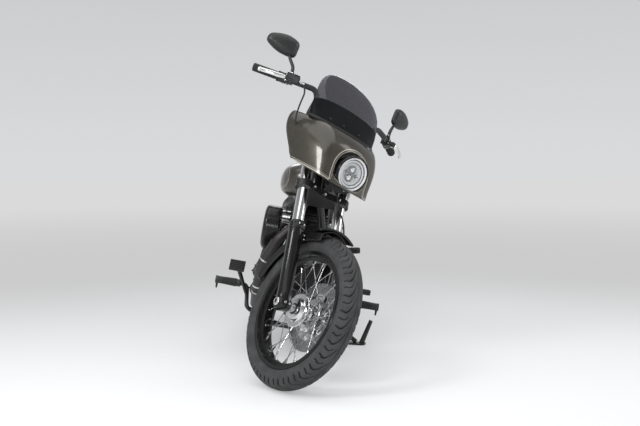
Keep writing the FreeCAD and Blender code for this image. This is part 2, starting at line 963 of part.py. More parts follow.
def grip_direction():
    """The way that the left grip points, outward and back."""
    heading = vec(S.grip_end_x, S.grip_end_y, S.grip_end_z) - vec(
        S.grip_start_x, S.grip_start_y, S.grip_start_z)
    heading.normalize()
    return heading


def flip(point):
    """The same point on the other side of the middle plane."""
    return Vector(-point.x, point.y, point.z)


def handlebar():
    """One bent bar, bored at both ends."""
    left = bar_route()
    right = [flip(point) for point in reversed(left[1:])]
    bar = shaped("bar_bent", tube_shape(right + left[1:], S.bar_radius, S.bar_bend))
    bores = []
    for name, end, way in (("left", left[-1], grip_direction()),
                           ("right", flip(left[-1]), flip(grip_direction()))):
        start = end - way * float(S.bar_bore_depth)
        bores.append(shaped(f"bar_bore_{name}", Part.makeCylinder(
            float(S.bar_bore), float(S.bar_bore_depth) + 2, start, way)))
    node("handlebar", cut("bar_bored", bar, fuse("bar_bores", bores)), STEERING)


def along_grip(distance):
    """A point on the bar, so far inward from its left end."""
    return vec(S.grip_end_x, S.grip_end_y, S.grip_end_z) - grip_direction() * float(distance)


def ring_on_bar(start, length, radius):
    """A sleeve on the left grip stretch, so far inward from the bar's end."""
    base = along_grip(start + length)
    outer = Part.makeCylinder(float(radius), float(length), base, grip_direction())
    inner = Part.makeCylinder(float(S.bar_radius + S.fit_gap), float(length) + 2,
                              base - grip_direction(), grip_direction())
    return outer.cut(inner)


def grips():
    """The two grips, each a sleeve with a flange at its inner end."""
    sleeve = ring_on_bar(S.fit_gap, S.grip_length, S.grip_radius)
    flange = ring_on_bar(S.grip_length - 8, dim(8), S.grip_radius + 6)
    left = shaped("grip_left", sleeve.fuse(flange))
    node("grips", together("grips_pair", [left, mirrored("grip_right", left)]), STEERING)


def lever_shape():
    """A lever ahead of the left grip with a ball at its end."""
    way = grip_direction()
    ahead = way.cross(Z_AXIS)
    ahead.normalize()
    if ahead.y > 0:
        ahead = -ahead
    reach = float(S.lever_reach)
    pivot = along_grip(S.grip_length + 34) + ahead * (reach * 0.62)
    knee = along_grip(S.grip_length - 2) + ahead * reach + Vector(0, 0, -4)
    belly = along_grip(S.grip_length - S.lever_length * 0.42) + ahead * (reach * 1.06) + Vector(0, 0, -8)
    tip = along_grip(S.grip_length - S.lever_length * 0.74) + ahead * (reach * 0.98) + Vector(0, 0, -10)
    blade = tube_shape([pivot, knee, belly, tip], S.lever_radius, 70)
    return blade.fuse(Part.makeSphere(float(S.lever_ball_radius), tip))


def bar_controls():
    """The switch housings, lever perches and the brake reservoir."""
    way = grip_direction()
    ahead = way.cross(Z_AXIS)
    if ahead.y > 0:
        ahead = -ahead
    ahead.normalize()
    start = S.grip_length + 1
    housing = ring_on_bar(start, S.switch_length, S.switch_radius)
    perch_base = along_grip(S.grip_length + 34) + ahead * float(S.bar_radius + 2)
    perch = Part.makeCylinder(11, float(S.lever_reach) * 0.62 - float(S.bar_radius) + 6,
                              perch_base, ahead)
    pocket_cut = lever_shape()
    left = shaped("control_left", housing.fuse(perch).cut(pocket_cut))
    master = shaped("master_cylinder_mirrored", master_shape(ahead))
    right = fuse("control_right", [mirrored("control_right_plain", left),
                                   mirrored("master_cylinder", master)])
    node("bar_controls", together("bar_controls_pair", [left, right]), STEERING)


def master_middle(ahead):
    """The middle of the brake's master cylinder, as on the left side."""
    inward = S.grip_length + S.switch_length + S.master_length / 4
    return along_grip(inward) + ahead * float(S.bar_radius + S.master_width / 2 - 4) + Vector(0, 0, 6)


def master_shape(ahead):
    """The brake's master cylinder with its clamp round the bar, as on the left side."""
    way = grip_direction()
    long = float(S.master_length)
    wide = float(S.master_width)
    tall = float(S.master_height)
    body = Part.makeBox(long, wide, tall, Vector(-long / 2, -wide / 2, -tall / 2))
    body = body.makeFillet(5, body.Edges)
    body.Placement = Placement(master_middle(ahead), Rotation(way, -ahead, way.cross(-ahead), "XYZ"))
    clamp = ring_on_bar(S.grip_length + S.switch_length + 2, dim(16), S.bar_radius + 7)
    bar = tube_shape(bar_route(), S.bar_radius + S.fit_gap, S.bar_bend)
    return body.cut(bar).fuse(clamp).cut(lever_shape())


def hose_route():
    """The brake hose's corners: off the master cylinder, behind the headlight and down the left leg."""
    way = grip_direction()
    ahead = way.cross(Z_AXIS)
    ahead.normalize()
    outlet = flip(master_middle(ahead) - way * float(S.master_length) / 2)
    away = flip(-way)
    side = float(S.fork_spacing)
    line = fork_y().value
    clear = float(S.slider_radius) + 14
    return [
        outlet,
        outlet + away * 26 + Vector(0, 4, -6),
        Vector(-246, 386, 1168),
        Vector(-238, 392, 1108),
        Vector(-222, 402, 1056),
        Vector(-204, 384, 1008),
        Vector(-178, 336, 975),
        Vector(-148, 274, 944),
        Vector(-92, 252, 906),
        Vector(-24, 264, 872),
        bike_point(50, line - 38, S.lower_clamp_height + 35),
        bike_point(74, line - 36, S.lower_clamp_height - 26),
        bike_point(side + 2, line - clear, S.slider_length + 76),
        bike_point(side + 26, line - clear + 10, S.slider_length - 6),
        bike_point(side + clear - 2, line - 8, S.slider_length - 80),
        bike_point(side + clear - 4, line + 20, S.slider_length - 150),
        bike_point(side + 36, line + 56, S.slider_length - 208),
        bike_point(side + 24, line + 90, S.slider_length - 246),
        banjo_top(),
    ]


def banjo_top():
    """Where the brake hose meets the front caliper, in the upright build frame."""
    outside = S.front_hub_half + S.fit_gap + S.disc_thickness + 30 + 12
    return bike_point(outside, fork_y() + 102, 99)


def brake_hose():
    """The front brake's hose, from the master cylinder to the caliper."""
    hose = tube("hose_line", hose_route(), S.hose_radius, 400)
    node("brake_hose", fitted("hose_fitted", hose, "bar_controls", "front_caliper", frame=STEERING),
         STEERING)


def levers():
    """Clutch lever on the left and brake lever on the right."""
    left = shaped("lever_left", lever_shape())
    node("levers", together("levers_pair", [left, mirrored("lever_right", left)]), STEERING)


def mirrors():
    """Two mirrors on bent stalks that stand on the switch housings."""
    root = along_grip(S.grip_length + 20) + Vector(0, 0, float(S.switch_radius) - 1)
    glass_centre = Vector(382, 520, 1321)
    stalk = tube_shape([root, root + Vector(2, 8, 34), root + Vector(28, 40, 72),
                        glass_centre + Vector(-34, -16, -14)], S.mirror_stalk_radius, 40)
    wide = float(S.mirror_width) / 2
    tall = float(S.mirror_height) / 2
    deep = float(S.mirror_depth)
    facing = Placement(glass_centre, Rotation(Z_AXIS, 12) * Rotation(X_AXIS, -8))

    def ring(depth, share):
        """One outline of the mirror's shell, tapered towards its outer end."""
        return loop([
            (-wide * 0.95 * share, depth, -tall * 0.75 * share),
            (0, depth, -tall * share * 0.92),
            (wide * 0.9 * share, depth, -tall * 0.5 * share),
            (wide * share, depth, tall * 0.1 * share),
            (wide * 0.75 * share, depth, tall * 0.55 * share),
            (-wide * 0.1 * share, depth, tall * share),
            (-wide * 0.9 * share, depth, tall * 0.8 * share),
            (-wide * 1.05 * share, depth, 0),
        ])

    shell = Part.makeLoft([ring(deep * 0.4, 0.97), ring(deep * 0.2, 1.0), ring(-deep * 0.25, 0.86),
                           ring(-deep * 0.6, 0.42)], True, False)
    shell.Placement = facing
    left = shaped("mirror_left", stalk.fuse(shell))
    pair = together("mirrors_pair", [left, mirrored("mirror_right", left)])
    node("mirrors", fitted("mirrors_seated", pair, "bar_controls", frame=STEERING), STEERING)


# Headlight, fairing and windshield

def headlight():
    """A round headlight turned about its own axis, on a bracket from the lower clamp."""
    radius = S.headlight_radius
    bezel = S.headlight_bezel
    body = new_body("headlight_body")
    sketch = new_sketch(body, "headlight_section", "XY_Plane")
    draw_outline(sketch, [
        (0, 8),
        (radius * 0.55, 5),
        (radius - 12, bezel * 0.4),
        (radius - 9, 0),
        (radius - 3, 0),
        (radius, 4),
        (radius, bezel),
        (radius - 6, bezel + 2),
        (radius - 10, S.headlight_depth * 0.55, -7),
        (radius * 0.45, S.headlight_depth),
        (0, S.headlight_depth),
    ])
    revolve(body, "headlight_turned", sketch, "Y_Axis")
    put(body, (0, S.headlight_y, S.headlight_z))
    low = bike_point(0, fork_y() - S.clamp_boss_radius * 0.2, S.lower_clamp_height + S.clamp_thickness)
    high = vec(0, S.headlight_y + S.headlight_depth * 0.72, S.headlight_z - 40)
    stay = tube("headlight_stay", [low, (low + high) / 2 + Vector(0, -6, 0), high], 11, 30)
    node("headlight", fitted("headlight_seated", fuse("headlight_whole", [body, stay]),
                             "triple_clamps", frame=STEERING), STEERING)


def u_section(z, half, rear, corner, front, wall):
    """A thin closed U seen from above: outside curve, rear edges and inside curve."""
    def outline(inset):
        """The curve from the right rear edge round the front to the left rear edge."""
        side = half - inset
        bend = corner + inset * 0.6
        nose = front + inset
        middle = nose + (bend - nose) * 0.36
        return [
            Vector(-side, rear, z),
            Vector(-side * 0.93, bend + (rear - bend) * 0.35, z),
            Vector(-side * 0.7, middle, z),
            Vector(-side * 0.36, nose + (middle - nose) * 0.22, z),
            Vector(0, nose, z),
            Vector(side * 0.36, nose + (middle - nose) * 0.22, z),
            Vector(side * 0.7, middle, z),
            Vector(side * 0.93, bend + (rear - bend) * 0.35, z),
            Vector(side, rear, z),
        ]

    outer = outline(0)
    inner = list(reversed(outline(wall)))
    outer_curve = Part.BSplineCurve()
    outer_curve.interpolate(outer)
    inner_curve = Part.BSplineCurve()
    inner_curve.interpolate(inner)
    return Part.Wire([
        outer_curve.toShape(),
        Part.LineSegment(outer[-1], inner[0]).toShape(),
        inner_curve.toShape(),
        Part.LineSegment(inner[-1], outer[0]).toShape(),
    ])


def fairing():
    """The quarter fairing: a thin shell round the headlight, open to the rear."""
    half = float(S.fairing_half_width)
    wall = float(S.fairing_wall)
    sections = [
        u_section(826, half * 0.88, 258, 205, 116, wall),
        u_section(871, half * 0.97, 284, 218, 124, wall),
        u_section(941, half, 326, 240, 142, wall),
        u_section(1005, half, 364, 268, 162, wall),
        u_section(1056, half * 0.98, 386, 300, 196, wall),
        u_section(1096, half * 0.84, 404, 348, 284, wall),
    ]
    shell = Part.makeLoft(sections, True, False)
    opening = Part.makeCylinder(float(S.headlight_radius + S.headlight_gap), 200,
                                vec(0, 60, S.headlight_z), Y_AXIS)
    shell = shell.cut(opening)
    trim = Part.makeBox(700, 500, 200, Vector(-350, 0, -200))
    trim.Placement = Placement(Vector(0, 100, 834), Rotation(X_AXIS, 12)) * trim.Placement
    shell = shell.cut(trim)
    node("fairing", shaped("fairing_shell", shell), STEERING)


def fairing_brackets():
    """Two arms from rings round the fork tubes to the fairing's sides."""
    doc.recompute()
    shell = upright("fairing", STEERING)
    tube_radius = float(S.fork_tube_radius + S.fit_gap)
    outside = tube_radius + float(S.bracket_ring_wall)
    length = float(S.bracket_ring_length)
    low = vec(S.fork_spacing, fork_y(), S.bracket_ring_height)
    ring = Part.makeCylinder(outside, length, low, Z_AXIS)
    ring.Placement = FORK_IN_BIKE
    middle = float(S.bracket_ring_height) + length / 2
    start = bike_point(float(S.fork_spacing) + outside - 3, fork_y(), middle)
    probe = start + Vector(34, -44, 6)
    contact = shell.distToShape(Part.Vertex(probe))[1][0][0]
    outward = contact - probe
    outward.normalize()
    arm = tube_shape([start, start + Vector(22, -14, 0), probe, contact], S.bracket_arm_radius, 20)
    thick = float(S.bracket_pad_thickness)
    foot = Part.makeCylinder(float(S.bracket_pad_radius), thick + float(S.fairing_wall) / 2,
                             contact - outward * thick, outward)
    room = Part.makeCylinder(tube_radius, length * 3, low - Vector(0, 0, length), Z_AXIS)
    room.Placement = FORK_IN_BIKE
    left = shaped("bracket_left", ring.fuse(arm).fuse(foot).cut(room).cut(shell))
    node("fairing_brackets", together("brackets_pair", [left, mirrored("bracket_right", left)]),
         STEERING)


def windshield():
    """The short smoked shield that stands on the fairing's top edge."""
    wall = float(S.shield_wall)
    sections = [
        u_section(1097, 190, 424, 365, 292, wall),
        u_section(1150, 182, 446, 396, 340, wall),
        u_section(1210, 172, 476, 436, 392, wall),
        u_section(1280, 152, 510, 480, 448, wall),
        u_section(1350, 126, 545, 524, 502, wall),
    ]
    sheet_shape = Part.makeLoft(sections, True, False)
    top = float(S.shield_top_radius)
    frame = Part.makeBox(500, 500, 170, Vector(-250, 200, 1090))
    crown = Part.makeCylinder(top * 1.9, 500, Vector(0, 200, 1350 - top * 1.9), Y_AXIS)
    keep = frame.fuse(crown)
    node("windshield", shaped("windshield_sheet", sheet_shape.common(keep)), STEERING)


# Front fender and caliper

def fender_section(body, name, half, radius, skirt):
    """The U-shaped section of a fender."""
    wall = S.fender_wall
    crown = half * 0.36
    sketch = new_sketch(body, name, "XY_Plane")
    draw_outline(sketch, [
        (half, skirt),
        (half, radius - crown, -crown),
        (-half, radius - crown),
        (-half, skirt),
        (wall - half, skirt),
        (wall - half, radius - crown - wall, crown),
        (half - wall, radius - crown - wall),
        (half - wall, skirt),
    ])
    return sketch


def front_fender():
    """The short front fender, turned about the axle, with tabs to the fork legs."""
    body = new_body("front_fender_body")
    sketch = fender_section(body, "front_fender_section", S.front_fender_half,
                            S.front_fender_radius, S.front_fender_skirt)
    revolve(body, "front_fender_turned", sketch, "X_Axis", S.front_fender_sweep)
    body.Placement = Placement(FRONT_AXLE, Rotation(X_AXIS, float(S.front_fender_start)))
    tabs = []
    for name, side in (("left", 1), ("right", -1)):
        inside = float(S.front_fender_half) - 2
        length = float(S.fork_spacing) - inside
        low = Vector(min(side * inside, side * (inside + length)), -float(S.fork_offset) - 18,
                     float(S.front_fender_radius - S.front_fender_half) - 2)
        tab = Part.makeBox(length, 36, 34, low)
        clear = Part.makeCylinder(float(S.slider_radius + S.fit_gap), float(S.slider_length),
                                  vec(side * S.fork_spacing, fork_y(), 0), Z_AXIS)
        shape = tab.cut(clear)
        shape.Placement = FORK_IN_BIKE
        tabs.append(shaped(f"fender_tab_{name}", shape))
    node("front_fender", fuse("front_fender_whole", [body] + tabs), STEERING)


def caliper_shape(radius, disc_inside, disc_outside, reach_in, reach_out):
    """A caliper that straddles a disc, at the top of a circle about the axle.

    The body reaches across the disc's rim; a slot leaves the pad gap on each face.
    """
    low = radius - 46
    width = disc_outside + reach_out - disc_inside + reach_in
    body = Part.makeBox(width, 104, 66, Vector(disc_inside - reach_in, -52, low))
    body = body.makeFillet(9, [edge for edge in body.Edges
                               if abs(edge.tangentAt(edge.FirstParameter).x) > 0.9])
    gap = float(S.pad_gap)
    slot = Part.makeCylinder(radius + 3, disc_outside - disc_inside + 2 * gap,
                             Vector(disc_inside - gap, 0, 0), X_AXIS)
    return body.cut(slot)


def front_caliper():
    """The caliper behind the left fork leg, with its bracket to the leg."""
    inside = float(S.front_hub_half + S.fit_gap)
    outside = inside + float(S.disc_thickness)
    radius = float(S.front_disc_radius)
    shape = caliper_shape(radius, inside, outside, 26, 30)
    shape.rotate(Vector(), X_AXIS, -62)
    bracket = Part.makeBox(16, 60, 60, Vector(float(S.fork_spacing) - 16, 18, 62))
    shape = shape.fuse(bracket)
    leg = Part.makeCylinder(float(S.slider_radius + S.fit_gap), 400,
                            vec(S.fork_spacing, 0, -60), Z_AXIS)
    shape = shape.cut(leg)
    shape.translate(vec(0, fork_y(), 0))
    top = FORK_IN_BIKE.inverse().multVec(banjo_top())
    banjo = Part.makeCylinder(float(S.banjo_radius), 16, top - Vector(16, 0, 0), X_AXIS)
    node("front_caliper", shaped("front_caliper_shape", shape.fuse(banjo)), FORK)


# Frame

def backbone_shape(radius):
    """The tube from the head tube to behind the seat's nose, at a radius of choice."""
    start = bike_point(0, 0, head_middle() - S.head_tube_radius)
    return tube_shape([start, Vector(0, 640, 800), Vector(0, 810, 778), Vector(0, 940, 732),
                       Vector(0, 1004, 668)], radius, 160)


def frame():
    """The welded frame: head tube, backbone, cradle, seat rails and pivot plates."""
    head_low = S.lower_clamp_height + S.clamp_thickness + S.bearing_gap
    head_high = S.upper_clamp_height - S.bearing_gap
    head = cylinder("head_tube_outside", S.head_tube_radius, head_high - head_low, (0, 0, head_low))
    head.Placement = FORK_IN_BIKE * Placement(vec(0, 0, head_low), Rotation())
    head.setExpression("Placement.Base.x", None)
    head.setExpression("Placement.Base.y", None)
    head.setExpression("Placement.Base.z", None)
    spine = shaped("backbone", backbone_shape(S.backbone_radius))
    members = [head, spine]
    half = S.cradle_half
    low = S.cradle_height
    for name, side in (("left", 1), ("right", -1)):
        down = tube(f"downtube_{name}", [
            bike_point(side * 12, 25, head_middle() - S.backbone_radius),
            (side * 62, 425, 640),
            (side * half, 492, 300),
            (side * half, 545, low),
            (side * half, 1040, low),
            (side * (S.pivot_plate_inside + 6), 1120, low + 26),
            (side * (S.pivot_plate_inside + 6), S.pivot_y, S.pivot_z - 62),
        ], S.frame_tube_radius, 90)
        rail = tube(f"seat_rail_{name}", [
            (side * 8, 996, 672),
            (side * 84, 1046, 626),
            (side * 103, 1130, 600),
            (side * 103, 1250, 574),
        ], S.seat_rail_radius, 60)
        post = tube(f"seat_post_{name}", [
            (side * 103, 1180, 592),
            (side * 112, 1192, 520),
            (side * (S.pivot_plate_inside + 6), S.pivot_y + 8, S.pivot_z + 62),
            (side * (S.pivot_plate_inside + 6), S.pivot_y + 6, S.pivot_z + 34),
        ], S.seat_rail_radius, 60)
        inside = S.pivot_plate_inside if side > 0 else -S.pivot_plate_inside - S.pivot_plate_thickness
        plate = block(f"pivot_plate_{name}", (inside, S.pivot_y - 34, S.pivot_z - 76),
                      (S.pivot_plate_thickness, 68, 118))
        members += [down, rail, post, plate]
    members.append(cylinder("front_cross_tube", S.cross_tube_radius, half * 2,
                            (-half, 570, low), (1, 0, 0)))
    members.append(cylinder("rear_cross_tube", S.cross_tube_radius, half * 2,
                            (-half, 1000, low), (1, 0, 0)))
    members.append(cylinder("pivot_bolt", S.pivot_bolt_radius, S.pivot_plate_inside * 2 + 36,
                            (-S.pivot_plate_inside - 18, S.pivot_y, S.pivot_z), (1, 0, 0)))
    members.append(shaped("stand_bracket", stand_bracket_shape()))
    whole = fuse("frame_welded", members)
    bearing = shaped("head_bore", Part.makeCylinder(
        float(S.stem_radius + S.running_gap), 400, vec(0, 0, S.lower_clamp_height), Z_AXIS),
        FORK_IN_BIKE)
    node("frame", cut("frame_bored", whole, bearing), CHASSIS)


# Engine

def engine_cases():
    """Crankcase and gearbox with the cam cover on the right."""
    body = new_body("engine_cases_body")
    sketch = new_sketch(body, "case_outline", "YZ_Plane")
    radius = S.case_radius
    crank_y = S.crank_y
    crank_z = S.crank_z
    draw_outline(sketch, [
        (crank_y - 66, crank_z + 128, -46),
        (crank_y - radius, crank_z - 20, -24),
        (crank_y - 62, crank_z - radius + 10),
        (crank_y + 60, crank_z - radius + 10),
        (S.clutch_y + 40, S.clutch_z - 100, -10),
        (S.clutch_y + 128, S.clutch_z - 60),
        (S.clutch_y + 128, S.clutch_z + 70, -16),
        (S.clutch_y + 60, S.clutch_z + 112),
        (crank_y + 150, crank_z + 96),
        (crank_y + 66, crank_z + 128),
    ])
    pad(body, "case_block", sketch, S.case_half * 2, True)
    deck = block("case_deck", (-S.case_half + 20, crank_y - 60, crank_z + 60),
                 (S.case_half * 2 - 40, 120, 84))
    cam_cover = cylinder("cam_cover", S.case_radius * 0.72, 38,
                         (-S.case_half - 30, crank_y + 4, crank_z + 10), (1, 0, 0))
    cam_nose = cone("cam_nose", S.case_radius * 0.5, S.case_radius * 0.62, 14,
                    (-S.case_half - 42, crank_y + 4, crank_z + 10), (1, 0, 0))
    inner_primary = cylinder("primary_seat", S.primary_front_radius - 8,
                             S.primary_inside - S.case_half + 4,
                             (S.case_half - 4, crank_y, crank_z), (1, 0, 0))
    shaft = cylinder("main_shaft_boss", 28, S.primary_inside - S.case_half + 4,
                     (S.case_half - 4, S.clutch_y, S.clutch_z), (1, 0, 0))
    filter_can = cylinder("oil_filter", 38, 92, (0, crank_y - radius - 78, crank_z - 66), (0, 1, 0))
    whole = fuse("cases_whole", [body, deck, cam_cover, cam_nose, inner_primary, shaft, filter_can])
    belt_room = cylinder("belt_room", S.gearbox_pulley_radius + S.belt_thickness + 8,
                         S.primary_inside - S.case_half + 12,
                         (S.rear_hub_half - 4, S.clutch_y, S.clutch_z), (1, 0, 0))
    shaft_keep = cylinder("shaft_keep", 28, 60, (S.rear_hub_half - 30, S.clutch_y, S.clutch_z),
                          (1, 0, 0))
    run_room = block("belt_run_room", (S.rear_hub_half - 4, S.clutch_y, S.clutch_z - 90),
                     (60, 200, 190))
    room = cut("belt_room_ring", fuse("belt_room_whole", [belt_room, run_room]), shaft_keep)
    node("engine_cases", cut("cases_cleared", whole, room), CHASSIS)


def cylinder_shape():
    """One finned barrel with its head and rocker box, standing on its own axis."""
    start = float(S.barrel_start)
    fin_low = float(S.fin_start)
    fin_high = float(S.fin_end)
    barrel = Part.makeCylinder(float(S.barrel_radius), fin_high - start + 4, Vector(0, 0, start))
    parts = []
    pitch = float(S.fin_pitch)
    for index in range(int((fin_high - fin_low) / pitch)):
        parts.append(Part.makeCylinder(float(S.fin_radius), float(S.fin_thickness),
                                       Vector(0, 0, fin_low + index * pitch)))
    head_high = fin_high + float(S.head_height)
    parts.append(Part.makeBox(150, 108, head_high - fin_high, Vector(-75, -54, fin_high)))
    for index in range(4):
        fin = Part.makeBox(164, 132, float(S.fin_thickness),
                           Vector(-82, -66, fin_high + 6 + index * pitch))
        parts.append(fin.makeFillet(24, [edge for edge in fin.Edges
                                         if abs(edge.tangentAt(edge.FirstParameter).z) > 0.9]))
    rocker = Part.makeBox(176, 124, float(S.rocker_height), Vector(-88, -62, head_high - 1))
    rocker = rocker.makeFillet(16, [edge for edge in rocker.Edges
                                    if abs(edge.tangentAt(edge.FirstParameter).z) > 0.9])
    parts.append(rocker)
    for shift in (-24, 24):
        parts.append(Part.makeCylinder(8.5, head_high - start - 12, Vector(-84, shift, start + 14)))
    return barrel.multiFuse(parts)


def cylinder_pose(turn):
    """Where a cylinder stands on the crank: 1 leans it forward and -1 back."""
    return Placement(vec(0, S.crank_y, S.crank_z), Rotation(X_AXIS, turn * float(S.cylinder_angle)))


def rocker_room(turn):
    """The room that the tank leaves round a rocker box."""
    gap = float(S.rocker_gap)
    start = float(S.fin_end)
    top = start + float(S.head_height + S.rocker_height) + gap
    room = Part.makeBox(176 + 2 * gap, 124 + 2 * gap, top - start, Vector(-88 - gap, -62 - gap, start))
    room.Placement = cylinder_pose(turn)
    return room


def cylinders():
    """The two cylinders of the V, one leaning forward and one back."""
    pair = []
    for name, turn in (("front", 1), ("rear", -1)):
        pair.append(shaped(f"cylinder_{name}", cylinder_shape(), cylinder_pose(turn)))
    both = together("cylinders_pair", pair)
    node("cylinders", fitted("cylinders_seated", both, "engine_cases"), CHASSIS)


def primary_cover():
    """The long cover on the left, round over the crank and the clutch."""
    front = S.primary_front_radius
    rear = S.primary_rear_radius
    body = new_body("primary_cover_body")
    sketch = new_sketch(body, "primary_outline", "YZ_Plane", S.primary_inside + S.fit_gap)
    draw_outline(sketch, [
        (S.crank_y, S.crank_z + front, -front),
        (S.crank_y, S.crank_z - front),
        (S.clutch_y, S.clutch_z - rear, -rear),
        (S.clutch_y, S.clutch_z + rear),
    ])
    shell = pad(body, "primary_shell", sketch, S.primary_outside - S.primary_inside - 8)
    doc.recompute()
    rounding = body.newObject("PartDesign::Fillet", "primary_edge")
    faces = [f"Face{i + 1}" for i, face in enumerate(shell.Shape.Faces)
             if face.normalAt(0, 0).x > 0.9 and face.CenterOfMass.x > float(S.primary_outside) - 12]
    rounding.Base = (shell, faces)
    rounding.Radius = 18
    body.Tip = rounding
    clutch = cylinder("derby_cover", rear * 0.72, 12, (S.primary_outside - 9, S.clutch_y, S.clutch_z),
                      (1, 0, 0))
    node("primary_cover", fuse("primary_whole", [body, clutch]), CHASSIS)


def air_cleaner():
    """The round air cleaner on the right with the carburettor and manifold behind it."""
    y = S.crank_y - 30
    z = 588
    outside = S.air_cleaner_outside
    inside = S.air_cleaner_inside
    radius = S.air_cleaner_radius
    cover = cylinder("air_cleaner_drum", radius, outside - inside - 16, (-outside + 16, y, z), (1, 0, 0))
    face = cone("air_cleaner_face", radius - 16, radius, 16, (-outside, y, z), (1, 0, 0))
    hub = cylinder("air_cleaner_hub", radius * 0.42, 6, (-outside + 2, y, z), (1, 0, 0))
    intake = cylinder("intake", S.intake_radius, inside + 12, (-inside - 2, S.crank_y, 646), (1, 0, 0))
    runner = cylinder("intake_runner", S.intake_radius, 100, (0, S.crank_y - 50, 646), (0, 1, 0))
    throat = cylinder("throttle_body", S.intake_radius + 9, 44, (-inside + 2, S.crank_y, 646), (1, 0, 0))
    whole = fuse("air_cleaner_whole", [cover, face, hub, intake, runner, throat])
    node("air_cleaner", fitted("air_cleaner_fitted", whole, "cylinders"), CHASSIS)


# Exhaust

def exhaust():
    """Two header pipes on the right, each into its own muffler."""
    radius = S.header_radius
    x = -S.muffler_x
    near = -S.header_x
    front_pipe = tube("front_header", [
        (-28, 530, 664), (-58, 486, 642), (-128, 470, 560), (-176, 500, 440),
        (near, 560, 300), (near, 680, 208), (near, 900, 206), (x, 1000, 206), (x, 1080, 206),
    ], radius, 70)
    rear_pipe = tube("rear_header", [
        (-36, 890, 672), (-96, 956, 640), (-160, 992, 560), (-196, 986, 430),
        (x, 1006, 300), (x, 1080, 300),
    ], radius, 60)
    pipes = together("headers_loose", [front_pipe, rear_pipe])
    node("exhaust_headers", fitted("headers_fitted", pipes, "cylinders"), CHASSIS)
    mufflers = []
    for name, z, start, end in (("lower", 206, 1080, S.lower_muffler_end),
                                ("upper", 300, 1080, S.upper_muffler_end)):
        neck = cone(f"{name}_neck", radius + 3, S.muffler_radius, 60, (x, start, z), (0, 1, 0))
        can = cylinder(f"{name}_can", S.muffler_radius, end - start - 60, (x, start + 60, z), (0, 1, 0))
        hollow = cylinder(f"{name}_outlet", S.muffler_radius - 8, 40, (x, end - 39, z), (0, 1, 0))
        mufflers.append(cut(f"{name}_muffler", fuse(f"{name}_body", [neck, can]), hollow))
    node("mufflers", together("mufflers_pair", mufflers), CHASSIS)


# Tank, seat and covers

def fuel_tank():
    """The teardrop tank with a tunnel for the backbone."""
    half = float(S.tank_half)
    low = float(S.tank_low)
    high = float(S.tank_high)
    tank = Part.makeLoft([
        loaf(432, half * 0.42, low + 66, high - 56),
        loaf(462, half * 0.72, low + 34, high - 22),
        loaf(540, half * 0.97, low + 6, high - 2),
        loaf(640, half, low, high),
        loaf(760, half * 0.88, low, high - 14),
        loaf(870, half * 0.6, low - 2, high - 46),
        loaf(932, half * 0.36, low - 4, high - 86),
    ], True, False)
    tunnel = backbone_shape(S.backbone_radius + S.tunnel_gap)
    reach = float(S.backbone_radius + S.tunnel_gap)
    trench = Part.makeBox(2 * reach, 600, 90, Vector(-reach, 400, low - 62))
    saddle = Part.makeBox(2 * reach + 8, 36, 46, Vector(-reach - 4, 690, low + 12))
    shape = tank.cut(tunnel).cut(trench).fuse(saddle)
    for turn in (1, -1):
        shape = shape.cut(rocker_room(turn))
    shape = shape.cut(backbone_shape(S.backbone_radius + S.fit_gap))
    node("fuel_tank", shaped("fuel_tank_shape", shape), CHASSIS)


def tank_console():
    """The gauge pod and the filler cap on top of the tank."""
    high = S.tank_high
    pod = cylinder("gauge_pod", S.gauge_radius, 46, (0, 590, high - 24), (0, 0.28, 1))
    ring = cylinder("gauge_ring", S.gauge_radius + 4, 8, (0, 600, high + 14), (0, 0.28, 1))
    cap = cylinder("filler_cap", S.cap_radius, 34, (0, 720, high - 26))
    spine = block("console_spine", (-24, 590, high - 24), (48, 150, 28))
    whole = fuse("console_whole", [pod, ring, cap, spine])
    node("tank_console", fitted("console_fitted", whole, "fuel_tank"), CHASSIS)


def seat():
    """The low two-part seat, shaped to the fender below it."""
    half = float(S.seat_half)
    low = float(S.seat_low_height)
    tail = float(S.wheelbase)
    body = Part.makeLoft([
        loaf(952, half * 0.38, low + 78, low + 114),
        loaf(990, half * 0.52, low + 36, low + 80),
        loaf(1050, half * 0.78, low - 14, low + 30),
        loaf(1120, half * 0.96, low - 40, low + 4),
        loaf(1190, half, low - 46, low + 6),
        loaf(1262, half * 0.97, low - 40, low + 48),
        loaf(1306, half * 0.84, low - 32, low + 64),
        loaf(tail - 278, half * 0.6, low - 30, low + 50),
        loaf(tail - 160, half * 0.56, low - 34, low + 54),
        loaf(tail - 100, half * 0.42, low - 26, low + 42),
    ], True, False)
    room = Part.makeCylinder(float(S.rear_fender_radius + S.fit_gap), 500,
                             Vector(-250, REAR_AXLE.y, REAR_AXLE.z), X_AXIS)
    node("seat", shaped("seat_shape", body.cut(room)), CHASSIS)


def side_covers():
    """The cover plates on both sides below the seat, and the tray that carries them."""
    tray = block("battery_tray", (-82, 1016, 452), (164, 110, 136))
    left_body = new_body("side_cover_body")
    sketch = new_sketch(left_body, "side_cover_outline", "YZ_Plane", dim(82) + S.fit_gap)
    draw_outline(sketch, [
        (960, 600, 8),
        (1096, 596, 10),
        (1150, 540, 8),
        (1130, 466, 6),
        (1010, 452, 12),
    ])
    pad(left_body, "side_cover_plate", sketch, dim(16))
    right = mirrored("side_cover_mirror", left_body)
    node("side_covers", together("side_covers_pair", [left_body, right]), CHASSIS)
    foot = block("tray_foot", (-60, 1030, 420), (120, 80, 40))
    node("battery_tray", fitted("battery_tray_seated", fuse("battery_tray_whole", [tray, foot]),
                                "engine_cases"), CHASSIS)


# Rear end

